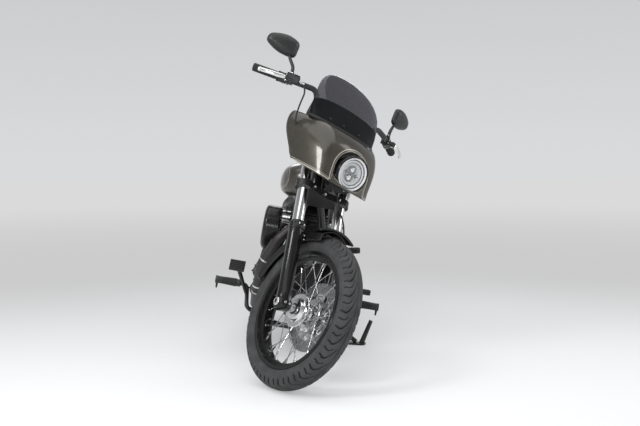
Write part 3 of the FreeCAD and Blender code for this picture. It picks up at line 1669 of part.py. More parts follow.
def rear_fender():
    """The rear fender, turned about the axle, with the struts that carry it."""
    body = new_body("rear_fender_body")
    sketch = fender_section(body, "rear_fender_section", S.rear_fender_half,
                            S.rear_fender_radius, S.rear_fender_skirt)
    revolve(body, "rear_fender_turned", sketch, "X_Axis", S.rear_fender_sweep)
    body.Placement = Placement(REAR_AXLE, Rotation(X_AXIS, float(S.rear_fender_start)))
    node("rear_fender", body, CHASSIS)


def shock_ends():
    """The middles of the left shock's lower and upper studs."""
    return (vec(S.shock_x, S.wheelbase - S.shock_foot_ahead, S.pivot_z + S.shock_foot_rise),
            vec(S.shock_x, S.wheelbase - S.shock_head_ahead, S.shock_head_height))


def strut_outline():
    """The side view of a fender strut, from the seat rail to behind the axle."""
    stud = shock_ends()[1]
    tail = float(S.wheelbase)
    return [(1196, 612), (1250, 632), (stud.y + 20, stud.z + 28), (tail - 10, stud.z + 22),
            (tail + 10, stud.z + 4), (tail - 8, stud.z - 14), (stud.y + 20, stud.z - 22),
            (1270, 556), (1200, 552)]


def fender_struts():
    """The two forged struts beside the fender."""
    thickness = float(S.strut_thickness)
    inside = float(S.rear_fender_half + S.fit_gap)
    corners = [Vector(inside, y, z) for y, z in strut_outline()]
    face = Part.Face(Part.makePolygon(corners + corners[:1]))
    shape = face.extrude(Vector(thickness, 0, 0))
    shape = shape.makeFillet(5, [edge for edge in shape.Edges
                                 if abs(edge.tangentAt(edge.FirstParameter).x) > 0.9])
    stud = shock_ends()[1]
    start = Vector(inside, stud.y, stud.z)
    peg = Part.makeCylinder(float(S.shock_stud_radius), stud.x + 16 - inside, start, X_AXIS)
    left = shaped("strut_left", shape.fuse(peg))
    both = together("struts_loose", [left, mirrored("strut_right", left)])
    node("fender_struts", fitted("struts_fitted", both, "frame"), CHASSIS)


def swing_arm():
    """The swinging fork for the rear axle."""
    inside = S.swing_arm_inside
    thick = S.swing_arm_thickness
    high = S.swing_arm_height
    parts = []
    for name, low in (("left", inside), ("right", -inside - thick)):
        parts.append(block(f"arm_{name}", (low, S.pivot_y, S.pivot_z - high / 2),
                           (thick, S.wheelbase - S.pivot_y + 40, high)))
        parts.append(cylinder(f"arm_boss_{name}", high / 2, thick, (low, S.pivot_y, S.pivot_z), (1, 0, 0)))
    parts.append(cylinder("arm_cross_tube", high / 2, inside * 2, (-inside, S.pivot_y, S.pivot_z),
                          (1, 0, 0)))
    for name, side in (("left", 1), ("right", -1)):
        parts.append(cylinder(f"shock_stud_{name}", S.shock_stud_radius, S.shock_x + 16 - inside,
                              (side * inside, S.wheelbase - S.shock_foot_ahead,
                               S.pivot_z + S.shock_foot_rise), (side, 0, 0)))
    whole = fuse("swing_arm_whole", parts)
    bores = fuse("swing_arm_bores", [
        cylinder("arm_pivot_bore", S.pivot_bolt_radius + S.fit_gap, inside * 4,
                 (-inside * 2, S.pivot_y, S.pivot_z), (1, 0, 0)),
        cylinder("arm_axle_bore", S.axle_radius + S.fit_gap, inside * 4,
                 (-inside * 2, S.wheelbase, S.rear_radius), (1, 0, 0)),
    ])
    node("swing_arm", cut("swing_arm_bored", whole, bores), CHASSIS)


def shocks():
    """The twin shocks between the swing arm's studs and the struts' studs."""
    low, high = shock_ends()
    run = high - low
    length = run.Length
    radius = float(S.shock_radius)
    outline = [Vector(0, 0, -17), Vector(13, 0, -17), Vector(13, 0, 30), Vector(20, 0, 34)]
    coils = 7
    step = (length - 110) / coils
    for index in range(coils):
        base = 40 + index * step
        outline += [Vector(radius - 7, 0, base), Vector(radius, 0, base + step * 0.3),
                    Vector(radius, 0, base + step * 0.55)]
    outline += [Vector(radius - 7, 0, length - 68), Vector(radius + 1, 0, length - 66),
                Vector(radius + 1, 0, length - 30), Vector(14, 0, length - 24),
                Vector(14, 0, length + 17), Vector(0, 0, length + 17), Vector(0, 0, -17)]
    shape = Part.Face(Part.makePolygon(outline)).revolve(Vector(), Z_AXIS, 360)
    shape = shape.fuse([Part.makeCylinder(17, 22, Vector(-11, 0, 0), X_AXIS),
                        Part.makeCylinder(17, 22, Vector(-11, 0, length), X_AXIS)])
    eye = float(S.fit_gap + S.shock_stud_radius)
    for height in (0, length):
        shape = shape.cut(Part.makeCylinder(eye, 80, Vector(-40, 0, height), X_AXIS))
    left = shaped("shock_left", shape, Placement(low, Rotation(Z_AXIS, run)))
    node("shocks", together("shocks_pair", [left, mirrored("shock_right", left)]), CHASSIS)


def belt_loop(inner_front, inner_rear, span_y, span_z):
    """The closed outline round two circles, the rear one so far behind and above."""
    length = math.hypot(span_y, span_z)
    tilt = math.atan2(span_z, span_y)
    spread = math.acos((inner_front - inner_rear) / length)

    def touch(radius, angle, y, z):
        """A point of a circle, by its angle from the line of centres."""
        return Vector(0, y + radius * math.cos(tilt + angle), z + radius * math.sin(tilt + angle))

    rear_top = touch(inner_rear, spread, span_y, span_z)
    rear_low = touch(inner_rear, -spread, span_y, span_z)
    front_top = touch(inner_front, spread, 0, 0)
    front_low = touch(inner_front, -spread, 0, 0)
    return Part.Wire([
        Part.LineSegment(front_top, rear_top).toShape(),
        Part.Arc(rear_top, touch(inner_rear, 0, span_y, span_z), rear_low).toShape(),
        Part.LineSegment(rear_low, front_low).toShape(),
        Part.Arc(front_low, touch(inner_front, math.pi, 0, 0), front_top).toShape(),
    ])


def drive_belt():
    """The toothless outline of the belt and the gearbox pulley that it leaves."""
    span_y = float(S.wheelbase - S.clutch_y)
    span_z = float(S.rear_radius - S.clutch_z)
    gap = float(S.belt_gap)
    front = float(S.gearbox_pulley_radius + S.fit_gap)
    rear = float(S.pulley_radius) + gap
    thick = float(S.belt_thickness)
    outside = Part.Face(belt_loop(front + thick, rear + thick, span_y, span_z))
    inside = Part.Face(belt_loop(front, rear, span_y, span_z))
    band = outside.cut(inside).extrude(vec(S.belt_width - 4, 0, 0))
    band.translate(vec(S.rear_hub_half + S.fit_gap + 2, S.clutch_y, S.clutch_z))
    node("drive_belt", shaped("belt_band", band), CHASSIS)
    pulley = cylinder("gearbox_pulley_disc", S.gearbox_pulley_radius, S.belt_width,
                      (S.rear_hub_half + S.fit_gap, S.clutch_y, S.clutch_z), (1, 0, 0))
    bore = cylinder("gearbox_pulley_bore", dim(28) + S.fit_gap, 80,
                    (S.rear_hub_half - 20, S.clutch_y, S.clutch_z), (1, 0, 0))
    node("gearbox_pulley", cut("gearbox_pulley_bored", pulley, bore), CHASSIS)


def rear_caliper():
    """The caliper over the right-hand disc, carried by the swing arm."""
    outside = -float(S.rear_hub_half + S.fit_gap)
    inside = outside - float(S.disc_thickness)
    shape = caliper_shape(float(S.rear_disc_radius), inside, outside, 24, 20)
    shape.rotate(Vector(), X_AXIS, 62)
    arm = Part.makeBox(12, 70, 60, Vector(-float(S.swing_arm_inside - S.fit_gap), -100, 10))
    shape = shape.fuse(arm)
    shape.translate(REAR_AXLE)
    loose = shaped("rear_caliper_loose", shape)
    node("rear_caliper", fitted("rear_caliper_fitted", loose, "swing_arm"), CHASSIS)


def rear_lamps():
    """The tail lamp on the fender and two turn signals on stalks."""
    radius = float(S.rear_fender_radius)
    angle = math.radians(38)
    spot = REAR_AXLE + Vector(0, radius * math.cos(angle), radius * math.sin(angle))
    outward = Vector(0, math.cos(angle), math.sin(angle))
    lamp = Part.makeCylinder(float(S.lamp_radius) + 8, 32, spot - outward * 3.9, outward)
    stalks = Part.makeCylinder(7, 300, spot + outward * 12 + Vector(-150, 0, 0), X_AXIS)
    shape = lamp.fuse(stalks)
    for side in (1, -1):
        cup = Part.makeCone(float(S.lamp_radius), float(S.lamp_radius) - 12, 54,
                            spot + outward * 12 + Vector(side * 168, 22, 0), -Y_AXIS)
        shape = shape.fuse(cup)
    loose = shaped("rear_lamps_loose", shape)
    node("rear_lamps", fitted("rear_lamps_fitted", loose, "rear_fender"), CHASSIS)


def number_plate():
    """A blank plate on a bracket behind the fender."""
    start = math.radians(float(S.rear_fender_start) + 8)
    radius = float(S.rear_fender_radius)
    foot = REAR_AXLE + Vector(0, radius * math.cos(start), radius * math.sin(start))
    tilt = Rotation(X_AXIS, 18)
    plate = Part.makeBox(float(S.plate_width), float(S.plate_thickness), float(S.plate_height),
                         Vector(-float(S.plate_width) / 2, 0, 0))
    plate.Placement = Placement(foot + Vector(0, 62, -70), tilt)
    arm = tube_shape([foot + Vector(0, -16, -4), foot + Vector(0, 26, 4), foot + Vector(0, 54, -20)], 10, 20)
    room = Part.makeCylinder(radius + float(S.fit_gap), 400, REAR_AXLE - Vector(200, 0, 0), X_AXIS)
    node("number_plate", shaped("plate_whole", plate.fuse(arm.cut(room))), CHASSIS)


# Foot gear and stand

def foot_pegs():
    """The rider's pegs on bent brackets from the cradle, and the passenger's pegs."""
    end = float(S.peg_end)
    y = float(S.peg_y)
    z = float(S.peg_z)
    length = float(S.peg_length)
    rail = float(S.cradle_half)
    low = float(S.cradle_height)
    bracket = tube_shape([Vector(rail, y, low), Vector(rail + 112, y, low + 6),
                          Vector(rail + 126, y, z - 4), Vector(end - length + 4, y, z)], 10, 24)
    peg = Part.makeCone(float(S.peg_radius) - 3, float(S.peg_radius) + 2, length,
                        Vector(end - length, y, z), X_AXIS)
    feeler = Part.makeCone(7, 4, 34, Vector(end - 9, y, z - 8), -Z_AXIS)
    rider = shaped("rider_peg_left", bracket.fuse(peg).fuse(feeler))
    riders = [rider, mirrored("rider_peg_right", rider)]
    root = Vector(float(S.pivot_plate_inside) + 6, 1194, 420)
    outer = Vector(294, 1230, 496)
    inner = Vector(184, 1226, 474)
    left = tube_shape([root, root + Vector(16, 20, 34), inner], 10, 20)
    left = left.fuse(Part.makeCylinder(float(S.peg_radius) - 3, (outer - inner).Length, inner, outer - inner))
    folded = tube_shape([flip(root), flip(root + Vector(16, 20, 34)), flip(inner)], 10, 20)
    folded = folded.fuse(Part.makeCylinder(float(S.peg_radius) - 3, (outer - inner).Length,
                                           flip(inner) + Vector(0, 0, -8), Vector(-0.12, 0.2, 1)))
    pegs = together("pegs_loose", riders + [shaped("passenger_peg_left", left),
                                            shaped("passenger_peg_right", folded)])
    node("foot_pegs", fitted("pegs_fitted", pegs, "frame"), CHASSIS)


def foot_controls():
    """The brake pedal on the right and the shift lever on the left."""
    rail = float(S.cradle_half)
    brake = tube_shape([Vector(-rail, 760, 150), Vector(-226, 760, 158), Vector(-244, 700, 250),
                        Vector(-330, 640, 348)], 8, 26)
    pad_shape = Part.makeBox(72, 46, 14, Vector(-366, 612, 346))
    brake = brake.fuse(pad_shape)
    shift = tube_shape([Vector(rail, 700, 150), Vector(226, 700, 158), Vector(246, 660, 240),
                        Vector(262, 610, 300)], 8, 26)
    peg = Part.makeCylinder(11, 70, Vector(250, 610, 302), X_AXIS)
    both = together("foot_controls_loose", [shaped("brake_pedal", brake),
                                            shaped("shift_lever", shift.fuse(peg))])
    node("foot_controls", fitted("foot_controls_fitted", both, "frame"), CHASSIS)


def stand_pivot():
    """The side stand's pivot in the upright build frame."""
    return vec(S.stand_pivot_x, S.stand_pivot_y, S.cradle_height + 6)


def stand_foot():
    """The middle of the foot plate's top, on the floor with the bike leaning."""
    return vec(S.stand_foot_x, S.stand_foot_y, S.stand_pad_thickness)


def stand_axis():
    """The pivot's direction: square to the leg when it is down and when it is folded."""
    down = CHASSIS.inverse().multVec(stand_foot()) - stand_pivot()
    folded = Vector(0.12, 1, 0.03)
    normal = down.cross(folded)
    normal.normalize()
    return normal


def stand_local():
    """The frame of the pivot, with z along the pin."""
    return Placement(stand_pivot(), Rotation(Z_AXIS, stand_axis()))


def stand_bracket_shape():
    """Two ears on the left lower rail and the pin that the stand turns on."""
    half = float(S.stand_knuckle_half)
    thick = float(S.stand_ear_thickness)
    radius = float(S.stand_knuckle_radius) + 2
    frame = stand_local()
    shape = Part.makeCylinder(float(S.stand_pin_radius), 2 * (half + thick) + 8,
                              Vector(0, 0, -half - thick - 4))
    rail = frame.inverse().multVec(stand_pivot() - Vector(float(S.stand_pivot_x - S.cradle_half), 0, 0))
    reach = math.hypot(rail.x, rail.y)
    turn = Rotation(Z_AXIS, math.degrees(math.atan2(rail.y, rail.x)))
    for low in (half + float(S.fit_gap), -half - thick - float(S.fit_gap)):
        ear = Part.makeCylinder(radius, thick, Vector(0, 0, low))
        strap = Part.makeBox(reach, 2 * radius, thick, Vector(0, -radius, low))
        strap.Placement = Placement(Vector(), turn)
        shape = shape.fuse(ear).fuse(strap)
    shape.Placement = frame
    return shape


def side_stand():
    """The side stand, down on the floor, with its foot plate and toe post."""
    pivot = CHASSIS.multVec(stand_pivot())
    foot = stand_foot()
    half = float(S.stand_pad_length) / 2
    wide = float(S.stand_pad_width) / 2
    thick = float(S.stand_pad_thickness)
    turn = Rotation(Z_AXIS, -18)
    plate = Part.makeBox(half * 2, wide * 2, thick, Vector(-half, -wide, 0))
    plate = plate.makeFillet(wide * 0.7, [edge for edge in plate.Edges
                                          if abs(edge.tangentAt(edge.FirstParameter).z) > 0.9])
    plate.Placement = Placement(foot - Vector(0, 0, thick), turn)
    leg = tube_shape([pivot, (pivot + foot) / 2 + Vector(0, 0, 10), foot + Vector(0, 0, 4)],
                     S.stand_leg_radius, 90)
    above = Part.makeBox(800, 800, 400, Vector(0, 400, thick / 2))
    post_foot = foot + Vector(half * 0.55, -8, -4)
    post_way = Vector(0.42, -0.05, 1)
    post = Part.makeCone(float(S.stand_post_radius), float(S.stand_post_radius) * 0.75,
                         float(S.stand_post_height), post_foot, post_way)
    frame = CHASSIS * stand_local()
    knuckle_half = float(S.stand_knuckle_half)
    knuckle = Part.makeCylinder(float(S.stand_knuckle_radius), 2 * knuckle_half,
                                Vector(0, 0, -knuckle_half))
    knuckle.Placement = frame
    room = Part.makeCylinder(60, 60, Vector(0, 0, knuckle_half))
    room = room.fuse(Part.makeCylinder(60, 60, Vector(0, 0, -knuckle_half - 60)))
    room = room.fuse(Part.makeCylinder(float(S.stand_pin_radius + S.running_gap), 200,
                                       Vector(0, 0, -100)))
    room.Placement = frame
    shape = plate.multiFuse([leg.common(above), knuckle, post.common(above)]).cut(room)
    node("side_stand", shaped("side_stand_shape", shape), WORLD)


# Assembly

def build():
    """Build every piece, the carrying ones before what fits against them."""
    front_wheel()
    rear_wheel()
    axle("front_axle", S.fork_spacing + S.slider_radius + 8, [
        (-S.fork_spacing + S.slider_radius + S.fit_gap, -S.front_hub_half * 0.8 - S.fit_gap),
        (S.front_hub_half + S.disc_thickness + 1, S.fork_spacing - S.slider_radius - S.fit_gap),
    ], FORK * Placement(vec(0, fork_y(), 0), Rotation()))
    axle("rear_axle", S.swing_arm_inside + S.swing_arm_thickness + 14, [
        (-S.swing_arm_inside + S.fit_gap, -S.rear_hub_half - S.disc_thickness - 1),
        (S.rear_hub_half + S.belt_width + 1, S.swing_arm_inside - S.fit_gap),
    ], REAR_WHEEL)
    sliders()
    fork_tubes()
    triple_clamps()
    handlebar()
    grips()
    levers()
    bar_controls()
    mirrors()
    headlight()
    fairing()
    fairing_brackets()
    windshield()
    front_fender()
    front_caliper()
    brake_hose()
    frame()
    engine_cases()
    cylinders()
    primary_cover()
    air_cleaner()
    exhaust()
    fuel_tank()
    tank_console()
    seat()
    side_covers()
    rear_fender()
    fender_struts()
    swing_arm()
    shocks()
    drive_belt()
    rear_caliper()
    rear_lamps()
    number_plate()
    foot_pegs()
    foot_controls()
    side_stand()


def centre_on_floor():
    """Move the finished part so that its box stands centred on the origin."""
    box = FreeCAD.BoundBox()
    for obj in NODES.values():
        box.add(obj.Shape.optimalBoundingBox(False, False))
    shift = Placement(Vector(-box.Center.x, -box.Center.y, 0), Rotation())
    for obj in NODES.values():
        obj.Placement = shift * obj.Placement
    return shift


def check():
    """Stop unless every object was built and every piece is sound."""
    for obj in doc.Objects:
        if "Invalid" in obj.State or "Error" in obj.State:
            raise RuntimeError(f"{obj.Label} failed: {obj.State}")
    for label, obj in NODES.items():
        if obj.Shape.isNull() or not obj.Shape.isValid():
            raise RuntimeError(f"{label} is not a sound shape")


def export():
    """Write each piece to its own file."""
    os.makedirs("parts", exist_ok=True)
    for label, obj in NODES.items():
        obj.Shape.exportStep(f"parts/{label}.step")


def report(shift):
    """Print where the joints and the mounts are."""
    chassis = shift * CHASSIS
    steering = shift * STEERING
    print("steering foot", tuple(steering.multVec(axis_foot())))
    print("steering axis", tuple(steering.Rotation.multVec(axis_direction())))
    print("steering lock", tuple([float(S.steering_lock)]))
    for label, frame in (("front wheel", FRONT_WHEEL), ("rear wheel", REAR_WHEEL)):
        print(label, tuple((shift * frame).Base) + tuple(frame.Rotation.multVec(X_AXIS)))
    print("stand pivot", tuple(chassis.multVec(stand_pivot())))
    print("stand axis", tuple(chassis.Rotation.multVec(stand_axis())))
    print("stand fold", tuple([float(S.stand_fold)]))
    print("stand pad", tuple(shift.multVec(stand_foot())))
    end = vec(S.grip_end_x, S.grip_end_y, S.grip_end_z)
    for label, point, way in (("left", end, grip_direction()),
                              ("right", flip(end), flip(grip_direction()))):
        place = steering.multVec(point - way * float(S.bar_bore_depth) / 2)
        print(f"{label} bar end", tuple(place) + tuple(steering.Rotation.multVec(way)))


build()
doc.recompute()
check()
report(centre_on_floor())
export()
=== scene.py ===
"""Looks of a parked cruiser motorcycle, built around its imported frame.

The pieces are given in the upright bike's own frame, in millimetres: x to the rider's left,
y to the rear and z up, from the ground below the front axle. Each body's pose puts them where
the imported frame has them.
"""

import json
import logging
import math
from dataclasses import dataclass, field
from enum import Enum
from typing import Callable, Iterable, Sequence

import bmesh
import bpy
from mathutils import Matrix, Quaternion, Vector
from mathutils.bvhtree import BVHTree


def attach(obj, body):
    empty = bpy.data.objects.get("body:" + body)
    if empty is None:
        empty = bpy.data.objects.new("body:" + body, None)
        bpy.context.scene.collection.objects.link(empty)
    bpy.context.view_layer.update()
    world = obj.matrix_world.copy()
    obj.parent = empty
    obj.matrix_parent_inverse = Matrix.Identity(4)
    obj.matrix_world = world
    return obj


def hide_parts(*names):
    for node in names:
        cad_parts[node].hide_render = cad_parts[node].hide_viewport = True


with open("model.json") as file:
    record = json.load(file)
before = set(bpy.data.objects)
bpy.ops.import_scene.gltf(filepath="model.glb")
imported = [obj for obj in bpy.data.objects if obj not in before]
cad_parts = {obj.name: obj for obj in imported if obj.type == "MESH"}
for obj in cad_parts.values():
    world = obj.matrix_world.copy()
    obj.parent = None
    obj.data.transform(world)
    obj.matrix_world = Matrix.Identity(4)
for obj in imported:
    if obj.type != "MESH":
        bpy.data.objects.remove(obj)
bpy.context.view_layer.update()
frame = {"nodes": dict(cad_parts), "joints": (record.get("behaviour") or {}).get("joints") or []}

LOG = logging.getLogger("cruiser")
MM = 0.001
UP = Vector((0, 0, 1))
ACROSS = Vector((1, 0, 0))
REARWARD = Vector((0, 1, 0))

SIDES = (1, -1)

Point = Sequence[float]
Spot = tuple[float, float, float]
Profile = Sequence[tuple[float, float]]
Socket = bpy.types.NodeSocket


class Body(Enum):
    """The bodies that move on their own."""

    CHASSIS = "chassis"
    STEERING = "steering"
    FRONT_WHEEL = "front_wheel"
    REAR_WHEEL = "rear_wheel"
    SIDE_STAND = "side_stand"


class Shading(Enum):
    """How a surface catches light across its edges."""

    SMOOTH = 60.0
    CREASED = 32.0


def joint_of(name: str) -> dict:
    """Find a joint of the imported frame."""
    return next(joint for joint in frame["joints"] if joint["name"] == name)


@dataclass
class Stance:
    """Where the upright bike's frame went when it was leaned, steered and parked."""

    rake_deg: float = 29.0
    fork_offset: float = 56.4
    front_radius: float = 331.0
    rear_radius: float = 328.0
    wheelbase: float = 1630.0

    def foot(self) -> Vector:
        """The steering axis level with the front axle, in the upright frame."""
        rake = math.radians(self.rake_deg)
        return Vector((0, self.fork_offset * math.cos(rake),
                       self.front_radius - self.fork_offset * math.sin(rake)))

    def _pose(self, across: Vector) -> Matrix:
        """Build a pose from the way its x axis points."""
        steering = joint_of("steering_turn")
        axis = Vector(steering["axis"]).normalized()
        across = across.normalized()
        side = across.cross(axis)
        rake = math.radians(self.rake_deg)
        rear = axis * math.sin(rake) - side * math.cos(rake)
        up = axis * math.cos(rake) + side * math.sin(rake)
        turn = Matrix((across, rear, up)).transposed().to_4x4()
        foot = Vector(steering["pos_m"])
        return Matrix.Translation(foot) @ turn @ Matrix.Scale(MM, 4) @ Matrix.Translation(-self.foot())

    def pose(self, body: Body) -> Matrix:
        """Give a body's pose at rest."""
        if body is Body.SIDE_STAND:
            return Matrix.Scale(MM, 4)
        steered = body in (Body.STEERING, Body.FRONT_WHEEL)
        wheel = joint_of("front_wheel_spin" if steered else "rear_wheel_spin")
        return self._pose(Vector(wheel["axis"]))

    def fork_point(self, x: float, y: float, z: float) -> Vector:
        """Turn a point given along the fork into the upright frame."""
        turn = Matrix.Rotation(math.radians(-self.rake_deg), 3, "X")
        return self.foot() + turn @ Vector((x, y, z))

    def fork_way(self, x: float, y: float, z: float) -> Vector:
        """Turn a direction given along the fork into the upright frame."""
        return Matrix.Rotation(math.radians(-self.rake_deg), 3, "X") @ Vector((x, y, z))


STANCE = Stance()
FRONT_AXLE = (0.0, 0.0, STANCE.front_radius)
REAR_AXLE = (0.0, STANCE.wheelbase, STANCE.rear_radius)


def tipped(degrees: float) -> Matrix:
    """Turn about the x axis."""
    return Matrix.Rotation(math.radians(degrees), 4, "X")


def linked(name: str, data: bpy.types.ID) -> bpy.types.Object:
    """Make an object of some data and put it in the scene."""
    made = bpy.data.objects.new(name, data)
    bpy.context.scene.collection.objects.link(made)
    return made


@dataclass
class Studio:
    """The camera that the photograph was taken from, the lights, the floor and the backdrop."""

    camera_right: float = 0.0921
    camera_back: float = -3.8612
    camera_up: float = 0.6533
    heading_deg: float = -0.243
    dip_deg: float = 3.597
    roll_deg: float = -0.294
    lens_mm: float = 53.11
    sensor_mm: float = 36.0
    floor_half: float = 30.0
    fill: float = 0.60
    wall: tuple[tuple[float, float], ...] = ((0.0, 0.70), (0.16, 0.61), (0.45, 0.34), (1.0, 0.16))
    # The floor's colour and its glow for seen rays fall off from front to back: painted shade.
    floor_near: float = 0.90
    floor_far_painted_shade: float = 0.66
    floor_run: tuple[float, float] = (-2.2, 2.2)
    glow_run: tuple[float, float] = (-2.2, 2.6)
    painted_glow_levels: tuple[float, float] = (0.92, 0.60)
    shadow_reach: tuple[float, float] = (1.2, 3.6)
    wall_reach: tuple[float, float] = (3.6, 14.0)

    def camera(self) -> None:
        """Set the camera beside the front wheel as it was in the photograph."""
        heading = math.radians(self.heading_deg)
        dip = math.radians(self.dip_deg)
        ahead = Vector((math.sin(heading) * math.cos(dip), math.cos(heading) * math.cos(dip),
                        -math.sin(dip)))
        right = ahead.cross(UP).normalized()
        above = right.cross(ahead)
        turn = Matrix.Rotation(math.radians(self.roll_deg), 3, -ahead)
        axes = Matrix((turn @ right, turn @ above, -ahead)).transposed()
        data = bpy.data.cameras.new("studio_camera")
        data.lens = self.lens_mm
        data.sensor_width = self.sensor_mm
        data.clip_end = 100.0
        camera = linked("studio_camera", data)
        wheel = Vector(joint_of("front_wheel_spin")["pos_m"])
        place = wheel + Vector((self.camera_right, self.camera_back, self.camera_up))
        camera.matrix_world = Matrix.Translation(place) @ axes.to_4x4()
        bpy.context.scene.camera = camera

    @staticmethod
    def lamp(name: str, place: Point, target: Point, size: Point, power: float) -> None:
        """Hang one soft rectangular lamp.

        Args:
            name: The lamp's name.
            place: Where it hangs, in metres.
            target: The point it is turned to.
            size: Its width and height.
            power: Its power in watts.
        """
        data = bpy.data.lights.new(name, "AREA")
        data.shape = "RECTANGLE"
        data.size, data.size_y = size
        data.energy = power
        aim = Vector(target) - Vector(place)
        turn = aim.to_track_quat("-Z", "Y").to_matrix().to_4x4()
        linked(name, data).matrix_world = Matrix.Translation(Vector(place)) @ turn

    def lights(self) -> None:
        """Light the bike from a wide overhead bank, one by the camera, and banks around it."""
        self.lamp("bank_overhead", (0.2, -0.6, 3.8), (0, -0.1, 0.4), (4.4, 4.4), 78)
        self.lamp("bank_front", (-0.8, -5.4, 1.9), (-0.1, -0.6, 0.8), (1.2, 0.8), 40)
        self.lamp("bank_left", (-2.5, -2.8, 3.2), (0.0, -0.6, 0.8), (1.1, 1.1), 66)
        self.lamp("bank_right", (3.8, -0.6, 2.2), (0.1, -0.4, 0.7), (1.0, 2.4), 24)
        self.lamp("bank_behind", (0.4, 4.2, 2.8), (0, 0.4, 0.6), (3.0, 1.6), 34)

    def world(self) -> None:
        """Fill the room with plain light, and show a pale wall that darkens towards the ceiling."""
        world = bpy.data.worlds.new("studio")
        world.use_nodes = True
        bpy.context.scene.world = world
        tree = world.node_tree
        add, link = tree.nodes.new, tree.links.new
        tree.nodes.clear()
        output = add("ShaderNodeOutputWorld")
        plain = add("ShaderNodeBackground")
        plain.inputs["Color"].default_value = (0.90, 0.93, 0.97, 1)
        plain.inputs["Strength"].default_value = self.fill
        place = add("ShaderNodeTexCoord")
        split = add("ShaderNodeSeparateXYZ")
        wall = add("ShaderNodeValToRGB")
        elements = wall.color_ramp.elements
        while len(elements) < len(self.wall):
            elements.new(0.5)
        for element, (height, level) in zip(elements, self.wall):
            element.position = height
            element.color = (level * 0.985, level, level * 1.015, 1)
        shown = add("ShaderNodeBackground")
        shown.inputs["Strength"].default_value = 1.0
        link(place.outputs["Generated"], split.inputs["Vector"])
        link(split.outputs["Z"], wall.inputs["Fac"])
        link(wall.outputs["Color"], shown.inputs["Color"])
        mix = add("ShaderNodeMixShader")
        seen = seen_directly(tree)
        link(seen, mix.inputs["Fac"])
        link(plain.outputs[0], mix.inputs[1])
        link(shown.outputs[0], mix.inputs[2])
        link(mix.outputs[0], output.inputs["Surface"])

    def floor(self) -> None:
        """Lay the pale floor, which takes the bike's shadow and runs into the wall far behind; it is darker
        towards the back by painted shade, and its glow adds painted light over the shadow near the bike.
        """
        half = self.floor_half
        data = bpy.data.meshes.new("studio_floor")
        data.from_pydata([(-half, -half, 0), (half, -half, 0), (half, half, 0), (-half, half, 0)],
                         [], [(0, 1, 2, 3)])
        material = bpy.data.materials.new("studio_floor")
        material.use_nodes = True
        tree = material.node_tree
        add, link = tree.nodes.new, tree.links.new
        shader = tree.nodes["Principled BSDF"]
        shader.inputs["Roughness"].default_value = 0.7
        shader.inputs["Specular IOR Level"].default_value = 0.25
        place = add("ShaderNodeTexCoord")
        split = add("ShaderNodeSeparateXYZ")
        link(place.outputs["Object"], split.inputs["Vector"])
        # Base colour darker towards the back: painted shade.
        level = self._eased(tree, split.outputs["Y"], self.floor_run, (self.floor_near, self.floor_far_painted_shade))
        tint = add("ShaderNodeCombineColor")
        for channel in ("Red", "Green", "Blue"):
            link(level, tint.inputs[channel])
        link(tint.outputs["Color"], shader.inputs["Base Color"])
        reach = add("ShaderNodeVectorMath")
        reach.operation = "LENGTH"
        link(place.outputs["Object"], reach.inputs[0])
        # Glow for seen rays, brighter in front and darker behind: painted light and shade.
        glow = add("ShaderNodeEmission")
        front = self._eased(tree, split.outputs["Y"], self.glow_run, self.painted_glow_levels)
        far = self._eased(tree, reach.outputs["Value"], self.wall_reach, (0.0, self.wall[0][1]))
        link(front, far.node.inputs["To Min"])
        link(far, glow.inputs["Strength"])
        # Near the bike the glow keeps a share of 0.35 over the diffuse floor: painted light that lightens its
        # shadow.
        both = add("ShaderNodeMath")
        both.operation = "MULTIPLY"
        link(seen_directly(tree), both.inputs[0])
        link(self._eased(tree, reach.outputs["Value"], self.shadow_reach, (0.35, 1.0)), both.inputs[1])
        mix = add("ShaderNodeMixShader")
        link(both.outputs[0], mix.inputs["Fac"])
        link(shader.outputs[0], mix.inputs[1])
        link(glow.outputs[0], mix.inputs[2])
        link(mix.outputs[0], tree.nodes["Material Output"].inputs["Surface"])
        data.materials.append(material)
        linked("studio_floor", data)

    @staticmethod
    def _eased(tree: bpy.types.NodeTree, source: Socket, given: tuple[float, float],
               wanted: tuple[float, float]) -> Socket:
        """Ease a value from one range to another, flat beyond its ends."""
        ease = tree.nodes.new("ShaderNodeMapRange")
        ease.interpolation_type = "SMOOTHSTEP"
        for name, value in zip(("From Min", "From Max", "To Min", "To Max"), (*given, *wanted)):
            ease.inputs[name].default_value = value
        tree.links.new(source, ease.inputs["Value"])
        return ease.outputs["Result"]

    def set_up(self) -> None:
        """Build the whole studio."""
        bpy.context.scene.view_settings.view_transform = "Standard"
        self.camera()
        self.lights()
        self.world()
        self.floor()
        LOG.info("studio set up")


def seen_directly(tree: bpy.types.NodeTree) -> Socket:
    """Tell rays that come straight, by a mirror or through glass from those that light things."""
    path = tree.nodes.new("ShaderNodeLightPath")
    either = tree.nodes.new("ShaderNodeMath")
    either.operation = "MAXIMUM"
    any_of = tree.nodes.new("ShaderNodeMath")
    any_of.operation = "MAXIMUM"
    tree.links.new(path.outputs["Is Camera Ray"], either.inputs[0])
    tree.links.new(path.outputs["Is Glossy Ray"], either.inputs[1])
    tree.links.new(either.outputs[0], any_of.inputs[0])
    tree.links.new(path.outputs["Is Transmission Ray"], any_of.inputs[1])
    return any_of.outputs[0]


# Finishes

